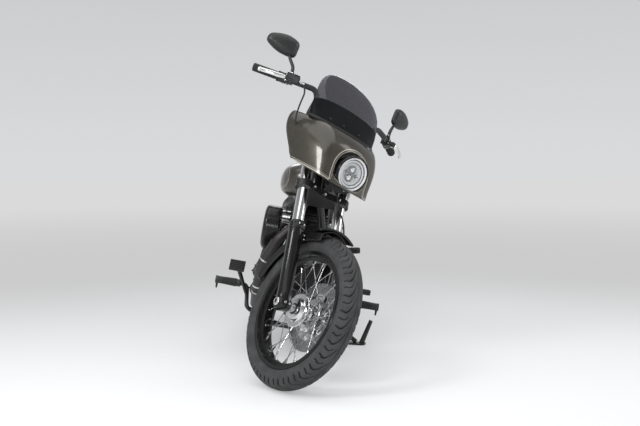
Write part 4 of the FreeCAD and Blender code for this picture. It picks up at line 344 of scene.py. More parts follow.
class Nodes:
    """Lays out the nodes of one material."""

    def __init__(self, name: str) -> None:
        """Start a material with an empty Principled shader."""
        self.material = bpy.data.materials.new(name)
        self.material.use_nodes = True
        self.tree = self.material.node_tree
        self.shader = self.tree.nodes["Principled BSDF"]

    def add(self, kind: str, **values: object) -> bpy.types.Node:
        """Add a node and set its properties."""
        node = self.tree.nodes.new(kind)
        for name, value in values.items():
            setattr(node, name, value)
        return node

    def link(self, source: Socket, target: Socket) -> None:
        """Join two sockets."""
        self.tree.links.new(source, target)

    def noise(self, scale: float, detail: float = 3.0, stretch: Point = (1, 1, 1)) -> Socket:
        """Add noise in the object's own coordinates."""
        place = self.add("ShaderNodeTexCoord")
        mapping = self.add("ShaderNodeMapping")
        mapping.inputs["Scale"].default_value = stretch
        noise = self.add("ShaderNodeTexNoise")
        noise.inputs["Scale"].default_value = scale
        noise.inputs["Detail"].default_value = detail
        self.link(place.outputs["Object"], mapping.inputs["Vector"])
        self.link(mapping.outputs["Vector"], noise.inputs["Vector"])
        return noise.outputs["Fac"]

    def ramp(self, source: Socket, stops: Sequence[tuple[float, Point]]) -> Socket:
        """Turn a value into colours."""
        ramp = self.add("ShaderNodeValToRGB")
        elements = ramp.color_ramp.elements
        while len(elements) < len(stops):
            elements.new(0.5)
        for element, (at, colour) in zip(elements, stops):
            element.position = at
            element.color = (*colour, 1.0)
        self.link(source, ramp.inputs["Fac"])
        return ramp.outputs["Color"]

    def spread(self, source: Socket, low: float, high: float) -> Socket:
        """Map noise to a range of values."""
        spread = self.add("ShaderNodeMapRange")
        spread.inputs["From Min"].default_value = 0.3
        spread.inputs["From Max"].default_value = 0.7
        spread.inputs["To Min"].default_value = low
        spread.inputs["To Max"].default_value = high
        self.link(source, spread.inputs["Value"])
        return spread.outputs["Result"]

    def tint(self, source: Socket, colour: Point, darkest: float, lightest: float,
             stops: tuple[float, float] = (0.3, 0.7)) -> None:
        """Cloud the base colour with noise, between two shares of its level."""
        shades = (shade(colour, darkest), shade(colour, lightest))
        self.link(self.ramp(source, list(zip(stops, shades))), self.shader.inputs["Base Color"])

    def dull(self, source: Socket, roughness: float, least: float, most: float) -> None:
        """Vary the roughness with noise, between two shares of it."""
        self.link(self.spread(source, roughness * least, roughness * most),
                  self.shader.inputs["Roughness"])

    def cells(self, feature: str, scale: float) -> Socket:
        """Add a pattern of cells in the object's own coordinates."""
        place = self.add("ShaderNodeTexCoord")
        cells = self.add("ShaderNodeTexVoronoi", feature=feature)
        cells.inputs["Scale"].default_value = scale
        self.link(place.outputs["Object"], cells.inputs["Vector"])
        return cells.outputs["Distance"]

    def bump(self, source: Socket, strength: float, depth: float) -> None:
        """Roughen the surface."""
        bump = self.add("ShaderNodeBump")
        bump.inputs["Strength"].default_value = strength
        bump.inputs["Distance"].default_value = depth
        self.link(source, bump.inputs["Height"])
        self.link(bump.outputs["Normal"], self.shader.inputs["Normal"])

    def fix(self, **values: object) -> None:
        """Set constant values on the shader, by socket name with spaces as underscores."""
        for name, value in values.items():
            self.shader.inputs[name.replace("_", " ")].default_value = value


def shade(colour: Point, factor: float) -> Spot:
    """Lighten or darken a colour."""
    return (colour[0] * factor, colour[1] * factor, colour[2] * factor)


@dataclass(frozen=True)
class Finish:
    """What every finish has: a name, a colour and a way to become a material."""

    name: str
    colour: Spot

    def nodes(self) -> Nodes:
        """Lay out the finish's nodes; each kind of finish has its own."""
        raise NotImplementedError(self.name)

    def material(self) -> bpy.types.Material:
        """Make the material once and give it again when asked."""
        made = bpy.data.materials.get(self.name)
        return made or self.nodes().material


@dataclass(frozen=True)
class Paint(Finish):
    """Sprayed or powder-coated colour on metal."""

    roughness: float = 0.35
    grain: float = 900.0
    relief: float = 0.04
    coat: float = 0.0
    flake: float = 0.0

    def nodes(self) -> Nodes:
        """Lay out colour with slight cloudiness, fine orange peel and an optional clear coat."""
        kit = Nodes(self.name)
        kit.tint(kit.noise(9.0, 4.0), self.colour, 0.9, 1.1)
        kit.dull(kit.noise(45.0, 5.0), self.roughness, 0.85, 1.2)
        kit.bump(kit.noise(self.grain, 2.0), self.relief, 0.0004)
        kit.fix(Metallic=self.flake, Coat_Weight=self.coat, Coat_Roughness=0.1)
        return kit


@dataclass(frozen=True)
class BareMetal(Finish):
    """Plated, polished or brushed metal."""

    roughness: float = 0.1
    streak: Spot = (1.0, 1.0, 1.0)
    grain: float = 260.0
    relief: float = 0.02

    def nodes(self) -> Nodes:
        """Lay out metal with faint stains in its gloss and grain along one way."""
        kit = Nodes(self.name)
        kit.tint(kit.noise(14.0, 5.0), self.colour, 0.92, 1.04, (0.35, 0.65))
        kit.dull(kit.noise(60.0, 4.0, self.streak), self.roughness, 0.7, 1.4)
        kit.bump(kit.noise(self.grain, 2.0, self.streak), self.relief, 0.0003)
        kit.fix(Metallic=1.0)
        return kit


@dataclass(frozen=True)
class Rubber(Finish):
    """Tyre, grip, hose and belt rubber with dust in its pores."""

    roughness: float = 0.7
    grain: float = 700.0
    relief: float = 0.2
    sheen: float = 0.4

    def nodes(self) -> Nodes:
        """Lay out matt rubber, paler where dust lies."""
        kit = Nodes(self.name)
        dust = kit.noise(22.0, 6.0)
        kit.tint(dust, self.colour, 0.8, 1.5, (0.35, 0.72))
        kit.dull(dust, self.roughness, 0.9, 1.12)
        kit.bump(kit.noise(self.grain, 3.0), self.relief, 0.0004)
        kit.fix(Specular_IOR_Level=self.sheen)
        return kit


@dataclass(frozen=True)
class Wrinkle(Finish):
    """Wrinkle-baked engine black with a crinkled skin."""

    roughness: float = 0.5

    def nodes(self) -> Nodes:
        """Lay out the crinkles from cell edges."""
        kit = Nodes(self.name)
        kit.tint(kit.noise(18.0, 4.0), self.colour, 0.8, 1.25)
        kit.dull(kit.noise(80.0, 4.0), self.roughness, 0.85, 1.2)
        kit.bump(kit.cells("SMOOTH_F1", 480.0), 0.35, 0.0005)
        return kit


@dataclass(frozen=True)
class Leather(Finish):
    """Seat cover with a fine pebbled grain."""

    roughness: float = 0.5

    def nodes(self) -> Nodes:
        """Lay out pebbles, creases and worn gloss."""
        kit = Nodes(self.name)
        kit.tint(kit.noise(12.0, 5.0), self.colour, 0.75, 1.35)
        kit.dull(kit.noise(30.0, 4.0), self.roughness, 0.8, 1.25)
        kit.bump(kit.cells("DISTANCE_TO_EDGE", 420.0), 0.25, 0.0006)
        kit.fix(Sheen_Weight=0.08)
        return kit


@dataclass(frozen=True)
class ClearPlastic(Finish):
    """Tinted or clear moulded plastic and lamp glass."""

    roughness: float = 0.05
    clear: float = 1.0
    opacity: float = 1.0

    def nodes(self) -> Nodes:
        """Lay out clear plastic with faint haze."""
        kit = Nodes(self.name)
        haze = kit.noise(30.0, 4.0)
        kit.tint(haze, self.colour, 0.96, 1.04)
        kit.dull(haze, self.roughness, 0.7, 1.5)
        kit.fix(IOR=1.45, Transmission_Weight=self.clear, Alpha=self.opacity)
        return kit


class Coat:
    """The finishes of this motorcycle."""

    OLIVE = Paint("olive_metallic", (0.050, 0.045, 0.034), 0.34, 1400.0, 0.05, 0.75, 0.5)
    # Darker rubber for the tread's groove floors: painted shade in the grooves.
    TREAD_PAINTED_SHADE = Rubber("tread_painted_shade", (0.007, 0.007, 0.007), 0.85, 500.0, 0.2)
    PINSTRIPE = Paint("pale_pinstripe", (0.42, 0.39, 0.33), 0.35, 1400.0, 0.03, 0.6, 0.1)
    BLACK = Paint("satin_black", (0.014, 0.014, 0.015), 0.38, 1200.0, 0.06)
    GLOSS = Paint("gloss_black", (0.009, 0.009, 0.010), 0.16, 1500.0, 0.03, 0.6)
    FRAME = Paint("frame_black", (0.011, 0.011, 0.012), 0.24, 1200.0, 0.04, 0.4)
    MATT = Paint("matt_black", (0.013, 0.013, 0.013), 0.62, 700.0, 0.12)
    EXHAUST = Paint("exhaust_black", (0.012, 0.011, 0.010), 0.44, 900.0, 0.06, 0.0, 0.2)
    PLATE = Paint("plate_blank", (0.55, 0.55, 0.53), 0.45, 800.0, 0.03)
    ENGINE = Wrinkle("engine_wrinkle", (0.016, 0.016, 0.016), 0.5)
    CHROME = BareMetal("chrome", (0.86, 0.86, 0.87), 0.05)
    STEEL = BareMetal("machined_steel", (0.50, 0.50, 0.51), 0.24, (1.0, 6.0, 6.0), 400.0, 0.05)
    DISC = BareMetal("brake_steel", (0.40, 0.40, 0.41), 0.26, (12.0, 1.0, 1.0), 500.0, 0.06)
    ALLOY = BareMetal("polished_alloy", (0.72, 0.72, 0.73), 0.16, (3.0, 1.0, 1.0), 300.0, 0.04)
    ZINC = BareMetal("zinc_bolt", (0.62, 0.62, 0.63), 0.22, (1.0, 1.0, 1.0), 300.0, 0.04)
    MIRROR = BareMetal("mirror_glass", (0.88, 0.90, 0.92), 0.02, (1.0, 1.0, 1.0), 80.0, 0.0)
    REFLECTOR = BareMetal("lamp_reflector", (0.90, 0.90, 0.91), 0.07)
    TYRE = Rubber("tyre_rubber", (0.040, 0.040, 0.041), 0.72, 500.0, 0.25)
    GRIP = Rubber("grip_rubber", (0.014, 0.014, 0.014), 0.6, 900.0, 0.25)
    BELT = Rubber("belt_rubber", (0.018, 0.018, 0.018), 0.65, 600.0, 0.2)
    HOSE = Rubber("hose_rubber", (0.012, 0.012, 0.012), 0.45, 900.0, 0.1)
    SEAT = Leather("seat_leather", (0.016, 0.015, 0.014), 0.48)
    SMOKE = ClearPlastic("smoked_shield", (0.095, 0.093, 0.105), 0.05, 0.9, 1.0)
    BAND = Rubber("shield_band", (0.004, 0.0045, 0.005), 0.45, 900.0, 0.03, 0.1)
    SPOKE = BareMetal("spoke_steel", (0.46, 0.46, 0.47), 0.2)
    # Pale paint for the headlight's reflector bowl: a painted reflection in place of chrome.
    LAMP_PAINTED_REFLECTION = Paint("lamp_painted_reflection", (0.60, 0.60, 0.61), 0.35, 900.0, 0.03)
    # Pale paint for the headlight's rings: a painted reflection in place of chrome.
    LAMP_RING_PAINTED_SHINE = Paint("lamp_ring_painted_shine", (0.80, 0.80, 0.81), 0.22, 900.0, 0.02, 0.6)
    LENS = ClearPlastic("lamp_glass", (0.80, 0.82, 0.83), 0.03, 0.0, 0.14)
    RED_LENS = ClearPlastic("red_lens", (0.55, 0.01, 0.008), 0.06, 0.5, 1.0)
    AMBER_LENS = ClearPlastic("amber_lens", (0.75, 0.22, 0.01), 0.06, 0.5, 1.0)


# Surfaces

def around(count: int, shift: float = 0.0) -> list[float]:
    """List angles spaced evenly over a full turn, shifted by a share of a step."""
    return [2 * math.pi * (index + shift) / count for index in range(count)]


def on_ring(angle: float, radius: float = 1.0, x: float = 0.0) -> Vector:
    """Find a point of a ring about the x axis, by its angle from the rear upward."""
    return Vector((x, math.cos(angle) * radius, math.sin(angle) * radius))


def ribs(start: float, stop: float, pitch: float, rib: Profile,
         taper: float = 0.0) -> list[tuple[float, float]]:
    """Repeat a rib's outline along a profile.

    Args:
        start: Where the first rib begins.
        stop: Where no more begin.
        pitch: The distance between ribs.
        rib: One rib's outline, from its own start.
        taper: How much less the radius is for each millimetre along.

    Returns:
        The ribs' points.
    """
    line = []
    at = start
    while at < stop:
        line += [(at + along, radius - at * taper) for along, radius in rib]
        at += pitch
    return line


def unit_pair(way: Vector) -> tuple[Vector, Vector]:
    """Find two directions square to a third."""
    helper = UP if abs(way.z) < 0.9 else REARWARD
    first = helper.cross(way).normalized()
    return first, way.cross(first)


def rounded(points: Sequence[Point], bend: float, step: float = 7.0) -> list[Vector]:
    """Round a route's corners.

    Args:
        points: The route's corners.
        bend: The radius of its bends, less where a run is short.
        step: The greatest distance between points along a bend, in degrees.

    Returns:
        The points of the rounded route.
    """
    route = [Vector(point) for point in points]
    line = [route[0]]
    for before, corner, after in zip(route, route[1:], route[2:]):
        back = before - corner
        ahead = after - corner
        turn = math.pi - back.angle(ahead)
        if turn < 0.02:
            line.append(corner)
            continue
        reach = min(bend * math.tan(turn / 2), 0.45 * min(back.length, ahead.length))
        start = corner + back.normalized() * reach
        end = corner + ahead.normalized() * reach
        count = max(2, int(math.degrees(turn) / step))
        centre_way = (back.normalized() + ahead.normalized()).normalized()
        radius = reach / math.tan(turn / 2)
        centre = corner + centre_way * (radius / math.cos(turn / 2))
        axis = (start - centre).cross(end - centre).normalized()
        for index in range(count + 1):
            line.append(centre + Quaternion(axis, turn * index / count) @ (start - centre))
    line.append(route[-1])
    return line


def between(a: Vector, b: Vector, c: Vector, d: Vector, t: float) -> Vector:
    """Find a point of the smooth span from b to c, which heads on from a and towards d."""
    return 0.5 * (2 * b + (c - a) * t + (2 * a - 5 * b + 4 * c - d) * t * t
                  + (3 * b - a - 3 * c + d) * t * t * t)


def flowing(points: Sequence[Point], share: int = 8) -> list[Vector]:
    """Run a smooth line through points."""
    route = [Vector(point) for point in points]
    ends = [route[0] * 2 - route[1]] + route + [route[-1] * 2 - route[-2]]
    line = []
    for a, b, c, d in zip(ends, ends[1:], ends[2:], ends[3:]):
        line += [between(a, b, c, d, index / share) for index in range(share)]
    line.append(route[-1])
    return line


def flip(point: Point) -> Vector:
    """Give the same point on the other side of the middle plane."""
    return Vector((-point[0], point[1], point[2]))


def finished(name: str, data: bpy.types.Mesh, body: Body, replaces: Iterable[str],
             finishes: Iterable[Finish], shading: Shading) -> bpy.types.Object:
    """Give a mesh its finishes and let it ride on its body as a piece.

    Args:
        name: The piece's name.
        data: Its mesh, placed at rest.
        body: The body it rides on.
        replaces: The CAD nodes that it stands for.
        finishes: Its finishes, in the order of the mesh's material indices.
        shading: How it is shaded across its edges.

    Returns:
        The piece.
    """
    for finish in finishes:
        data.materials.append(finish.material())
    data.shade_smooth()
    data.set_sharp_from_angle(angle=math.radians(shading.value))
    piece = linked(name, data)
    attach(piece, body.value)
    replaced = [node for node in replaces if node in frame["nodes"]]
    if replaced:
        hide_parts(*replaced)
    LOG.info("%s: %d faces", name, len(data.polygons))
    return piece


class Form:
    """Gathers the surfaces of one piece, in the upright frame in millimetres."""

    def __init__(self) -> None:
        """Start with no surface."""
        self.mesh = bmesh.new()
        self.finishes: list[Finish] = []

    def _index(self, finish: Finish) -> int:
        """Give a finish's place in the piece's list, adding it if it is new."""
        if finish not in self.finishes:
            self.finishes.append(finish)
        return self.finishes.index(finish)

    def skin(self, rings: Sequence[Sequence[Vector]], finish: Finish, around: bool = True,
             along: bool = False, caps: bool = False,
             rule: Callable[[int, int], Finish] | None = None) -> None:
        """Stretch a surface over rings of points.

        Args:
            rings: Rings with as many points each.
            finish: The surface's finish.
            around: Whether each ring is closed.
            along: Whether the last ring meets the first.
            caps: Whether the first and the last ring are filled.
            rule: Gives the finish at a ring and a place on it, where it isn't the same all over.
        """
        index = self._index(finish)
        made = [[self.mesh.verts.new(point) for point in ring] for ring in rings]
        count = len(made[0])
        spans = list(zip(made, made[1:])) + ([(made[-1], made[0])] if along else [])
        for row, (low, high) in enumerate(spans):
            for at in range(count if around else count - 1):
                nxt = (at + 1) % count
                here = self._index(rule(row, at)) if rule else index
                self._face((low[at], low[nxt], high[nxt], high[at]), here)
        if caps:
            self._face(tuple(reversed(made[0])), index)
            self._face(tuple(made[-1]), index)

    def lid(self, ring: Sequence[Vector], finish: Finish) -> None:
        """Fill a ring of points with one flat face."""
        self._face(tuple(self.mesh.verts.new(point) for point in ring), self._index(finish))

    def _face(self, corners: tuple, index: int) -> None:
        """Add one face, leaving out corners that fall together."""
        kept = []
        for corner in corners:
            if all((corner.co - other.co).length > 1e-6 for other in kept):
                kept.append(corner)
        if len(kept) > 2:
            face = self.mesh.faces.new(kept)
            face.material_index = index

    def turned(self, profile: Profile, finish: Finish, centre: Point = (0, 0, 0),
               way: Point = (1, 0, 0), steps: int = 64, closed: bool = False) -> None:
        """Turn a profile about an axis.

        Args:
            profile: Pairs of a distance along the axis and a radius.
            finish: The surface's finish.
            centre: A point of the axis.
            way: The axis' direction.
            steps: Faces round the axis.
            closed: Whether the profile is a closed outline.
        """
        axis = Vector(way).normalized()
        first, second = unit_pair(axis)
        origin = Vector(centre)
        rings = []
        for index in range(steps):
            angle = math.radians(360.0 * index / steps)
            out = first * math.cos(angle) + second * math.sin(angle)
            rings.append([origin + axis * along + out * max(radius, 0.0) for along, radius in profile])
        self.skin(rings, finish, around=closed, along=True)

    def tube(self, line: Sequence[Vector], radius: float | Callable[[float], float], finish: Finish,
             sides: int = 20, caps: bool = True, flat: float = 1.0, flat_way: Point = (0, 0, 1)) -> None:
        """Run a round or flattened bar along a line.

        Args:
            line: The line's points.
            radius: Its radius, or a rule that gives it from 0 at the start to 1 at the end.
            finish: The surface's finish.
            sides: Faces round it.
            caps: Whether its ends are closed.
            flat: Its thickness across flat_way as a share of its width.
            flat_way: The way that it is flattened.
        """
        points = [Vector(point) for point in line]
        lengths = [0.0]
        for one, two in zip(points, points[1:]):
            lengths.append(lengths[-1] + (two - one).length)
        total = max(lengths[-1], 1e-6)
        heading = (points[1] - points[0]).normalized()
        if flat != 1.0:
            first = Vector(flat_way).cross(heading).normalized()
            second = heading.cross(first)
        else:
            first, second = unit_pair(heading)
        rings = []
        for index, point in enumerate(points):
            before = points[max(index - 1, 0)]
            after = points[min(index + 1, len(points) - 1)]
            new_heading = (after - before).normalized()
            turn = heading.rotation_difference(new_heading)
            first = turn @ first
            second = turn @ second
            heading = new_heading
            size = radius(lengths[index] / total) if callable(radius) else radius
            rings.append([point + first * (size * math.cos(2 * math.pi * side / sides))
                          + second * (size * flat * math.sin(2 * math.pi * side / sides))
                          for side in range(sides)])
        self.skin(rings, finish, caps=caps)

    def rod(self, start: Point, end: Point, radius: float, finish: Finish, sides: int = 20,
            chamfer: float = 0.8) -> None:
        """Add a straight bar with eased ends.

        Args:
            start: One end's centre.
            end: The other end's centre.
            radius: Its radius.
            finish: The surface's finish.
            sides: Faces round it.
            chamfer: How much its ends are eased.
        """
        run = Vector(end) - Vector(start)
        length = run.length
        ease = min(chamfer, radius * 0.4, length * 0.3)
        self.turned([(0, 0), (0, radius - ease), (ease, radius), (length - ease, radius),
                     (length, radius - ease), (length, 0)], finish, start, run, sides)

    def ball(self, centre: Point, radius: float, finish: Finish, squeeze: float = 1.0,
             way: Point = (0, 0, 1), steps: int = 24) -> None:
        """Add a ball, or a bead flattened along one way."""
        profile = []
        for index in range(steps // 2 + 1):
            angle = math.pi * index / (steps // 2)
            profile.append((-radius * squeeze * math.cos(angle), radius * math.sin(angle)))
        self.turned(profile, finish, centre, way, steps)

    def plate(self, outline: Sequence[Point], thickness: Point | float, finish: Finish,
              ease: float = 1.5, segments: int = 2) -> None:
        """Thicken a flat outline and ease its edges.

        Args:
            outline: The corners in order, in space.
            thickness: The offset to the other side, as a vector or a length along the normal.
            finish: The surface's finish.
            ease: The width of the eased edges.
            segments: Faces across an eased edge.
        """
        corners = [Vector(point) for point in outline]
        if isinstance(thickness, (int, float)):
            normal = (corners[1] - corners[0]).cross(corners[2] - corners[1]).normalized()
            offset = normal * thickness
        else:
            offset = Vector(thickness)
        part = bmesh.new()
        low = [part.verts.new(corner) for corner in corners]
        high = [part.verts.new(corner + offset) for corner in corners]
        part.faces.new(list(reversed(low)))
        part.faces.new(high)
        for index in range(len(corners)):
            nxt = (index + 1) % len(corners)
            part.faces.new((low[index], low[nxt], high[nxt], high[index]))
        bmesh.ops.recalc_face_normals(part, faces=part.faces)
        if ease > 0:
            sharp = [edge for edge in part.edges if edge.calc_face_angle(0) > 0.5]
            bmesh.ops.bevel(part, geom=sharp, offset=ease, segments=segments, profile=0.6,
                            affect="EDGES", clamp_overlap=True)
        self.absorb(part, finish)

    def block(self, size: Point, finish: Finish, place: Matrix, ease: float = 2.0,
              segments: int = 2) -> None:
        """Add a box with eased edges.

        Args:
            size: Its three sizes.
            finish: The surface's finish.
            place: The pose of its centre.
            ease: The width of the eased edges.
            segments: Faces across an eased edge.
        """
        part = bmesh.new()
        bmesh.ops.create_cube(part, size=1.0, matrix=place @ Matrix.Diagonal(Vector((*size, 1.0))))
        bmesh.ops.bevel(part, geom=list(part.edges), offset=ease, segments=segments, profile=0.6,
                        affect="EDGES", clamp_overlap=True)
        self.absorb(part, finish)

    def bolt(self, head: Point, way: Point, radius: float = 6.0, height: float = 5.0,
             finish: Finish = Coat.ZINC, socket: bool = True) -> None:
        """Add a cap-screw head with a socket, or a hexagon head.

        Args:
            head: The middle of its seat.
            way: The way that it stands out.
            radius: The head's radius.
            height: How far it stands out.
            finish: The surface's finish.
            socket: Whether it has a round head with a socket in place of six flats.
        """
        axis = Vector(way).normalized()
        if socket:
            self.turned([(0, radius), (height - 0.8, radius), (height, radius - 0.8),
                         (height, radius * 0.52), (height * 0.35, radius * 0.5), (height * 0.35, 0)],
                        finish, head, axis, 18)
            return
        self.turned([(0, radius * 1.25), (1.2, radius * 1.25), (1.2, radius)], finish, head, axis, 24)
        self.turned([(1.2, radius), (height - 0.6, radius), (height, radius * 0.86), (height, 0)],
                    finish, head, axis, 6)

    def bolt_ring(self, centre: Vector, way: Vector, reach: float, count: int, radius: float,
                  height: float, finish: Finish = Coat.ZINC, shift: float = 0.5) -> None:
        """Set cap screws evenly on a circle that lies across the bike.

        Args:
            centre: The circle's middle.
            way: The way that the heads stand out, along the x axis.
            reach: The circle's radius.
            count: How many there are.
            radius: A head's radius.
            height: How far a head stands out.
            finish: Their finish.
            shift: How far they are turned, as a share of a step.
        """
        for angle in around(count, shift):
            self.bolt(centre + on_ring(angle, reach), way, radius, height, finish)

    def absorb(self, part: bmesh.types.BMesh, finish: Finish) -> None:
        """Take in the faces of a part made on its own."""
        index = self._index(finish)
        made = [self.mesh.verts.new(vertex.co) for vertex in part.verts]
        part.verts.index_update()
        for face in part.faces:
            new = self.mesh.faces.new([made[vertex.index] for vertex in face.verts])
            new.material_index = index
        part.free()

    def mirrored(self) -> "Form":
        """Add the same surfaces on the other side of the middle plane."""
        source = list(self.mesh.faces)
        copies = {vertex: self.mesh.verts.new(flip(vertex.co)) for vertex in list(self.mesh.verts)}
        for face in source:
            new = self.mesh.faces.new([copies[vertex] for vertex in reversed(face.verts)])
            new.material_index = face.material_index
        return self

    def piece(self, name: str, body: Body, slot: str, replaces: Iterable[str] = (),
              shading: Shading = Shading.CREASED) -> bpy.types.Object:
        """Turn the surfaces into one piece that rides on its body.

        Args:
            name: The piece's name.
            body: The body it rides on.
            slot: The record's material slot; not used.
            replaces: The CAD nodes that it stands for.
            shading: How it is shaded across its edges.

        Returns:
            The piece.
        """
        bmesh.ops.recalc_face_normals(self.mesh, faces=self.mesh.faces)
        data = bpy.data.meshes.new(name)
        self.mesh.to_mesh(data)
        self.mesh.free()
        data.transform(STANCE.pose(body))
        return finished(name, data, body, replaces, self.finishes, shading)


def dress(node: str, finish: Finish) -> None:
    """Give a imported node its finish."""
    if node not in frame["nodes"]:
        return
    target = frame["nodes"][node]
    target.data.materials.clear()
    target.data.materials.append(finish.material())
    LOG.info("%s dressed", node)


def refine(node: str, body: Body, finish: Finish, ease: float = 1.2,
           shading: Shading = Shading.CREASED,
           warp: Callable[[Vector], Vector] | None = None) -> bpy.types.Object:
    """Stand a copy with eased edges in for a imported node.

    Args:
        node: The node's name.
        body: The body it rides on.
        finish: Its finish.
        ease: The width of its eased edges in millimetres.
        shading: How it is shaded across its edges.
        warp: Moves a point of the copy in the upright frame.

    Returns:
        The copy.
    """
    source = frame["nodes"][node]
    data = source.data.copy()
    part = bmesh.new()
    part.from_mesh(data)
    bmesh.ops.remove_doubles(part, verts=part.verts, dist=0.00002)
    if warp:
        pose = STANCE.pose(body)
        undo = pose.inverted()
        for vertex in part.verts:
            vertex.co = pose @ warp(undo @ vertex.co)
    bmesh.ops.dissolve_limit(part, angle_limit=math.radians(0.6), verts=part.verts, edges=part.edges)
    if ease > 0:
        sharp = [edge for edge in part.edges if len(edge.link_faces) == 2
                 and edge.calc_face_angle(0) > math.radians(38)]
        bmesh.ops.bevel(part, geom=sharp, offset=ease * MM, segments=1, profile=0.6,
                        affect="EDGES", clamp_overlap=True)
    for face in part.faces:
        face.material_index = 0
    part.to_mesh(data)
    part.free()
    data.materials.clear()
    return finished(f"{node}_eased", data, body, (node,), (finish,), shading)


# Wheels

@dataclass
class TreadPattern:
    """The grooves of a tyre: slanting ones on both sides and ring grooves."""

    pitches: int = 30
    groove_width: float = 7.6
    depth: float = 5.4
    slant: float = 1.35
    inner: float = 6.0
    outer: float = 66.0
    rings: tuple[float, ...] = (0.0,)
    ring_width: float = 4.0

    def cut_at(self, turn: float, x: float, pitch_length: float) -> float:
        """Say how deep the tread is cut at a place.

        Args:
            turn: The place round the tyre, in pitches.
            x: The place across the tyre, measured over its crown.
            pitch_length: The length of a pitch round the tyre.

        Returns:
            The depth there.
        """
        depth = 0.0
        for ring in self.rings:
            depth = max(depth, self._edge(abs(abs(x) - ring), self.ring_width / 2))
        side = abs(x)
        if self.inner < side < self.outer:
            share = (side - self.inner) / (self.outer - self.inner)
            shift = 0.5 if x < 0 else 0.0
            sway = self.slant * (share + 0.28 * math.sin(share * math.pi * 1.4))
            for branch, width in ((0.0, 1.0), (0.46, 0.62)):
                if branch and share < 0.3:
                    continue
                near = (turn - shift - sway - branch) % 1.0
                near = min(near, 1.0 - near) * pitch_length
                fade = min(1.0, (self.outer - side) / 6.0, (side - self.inner) / 4.0)
                depth = max(depth, fade * self._edge(near, self.groove_width * width / 2))
        return depth * self.depth

    @staticmethod
    def _edge(distance: float, half: float) -> float:
        """Ease from the groove's floor to the tread's face."""
        ease = 1.3
        return min(1.0, max(0.0, (half + ease - distance) / (2 * ease)))


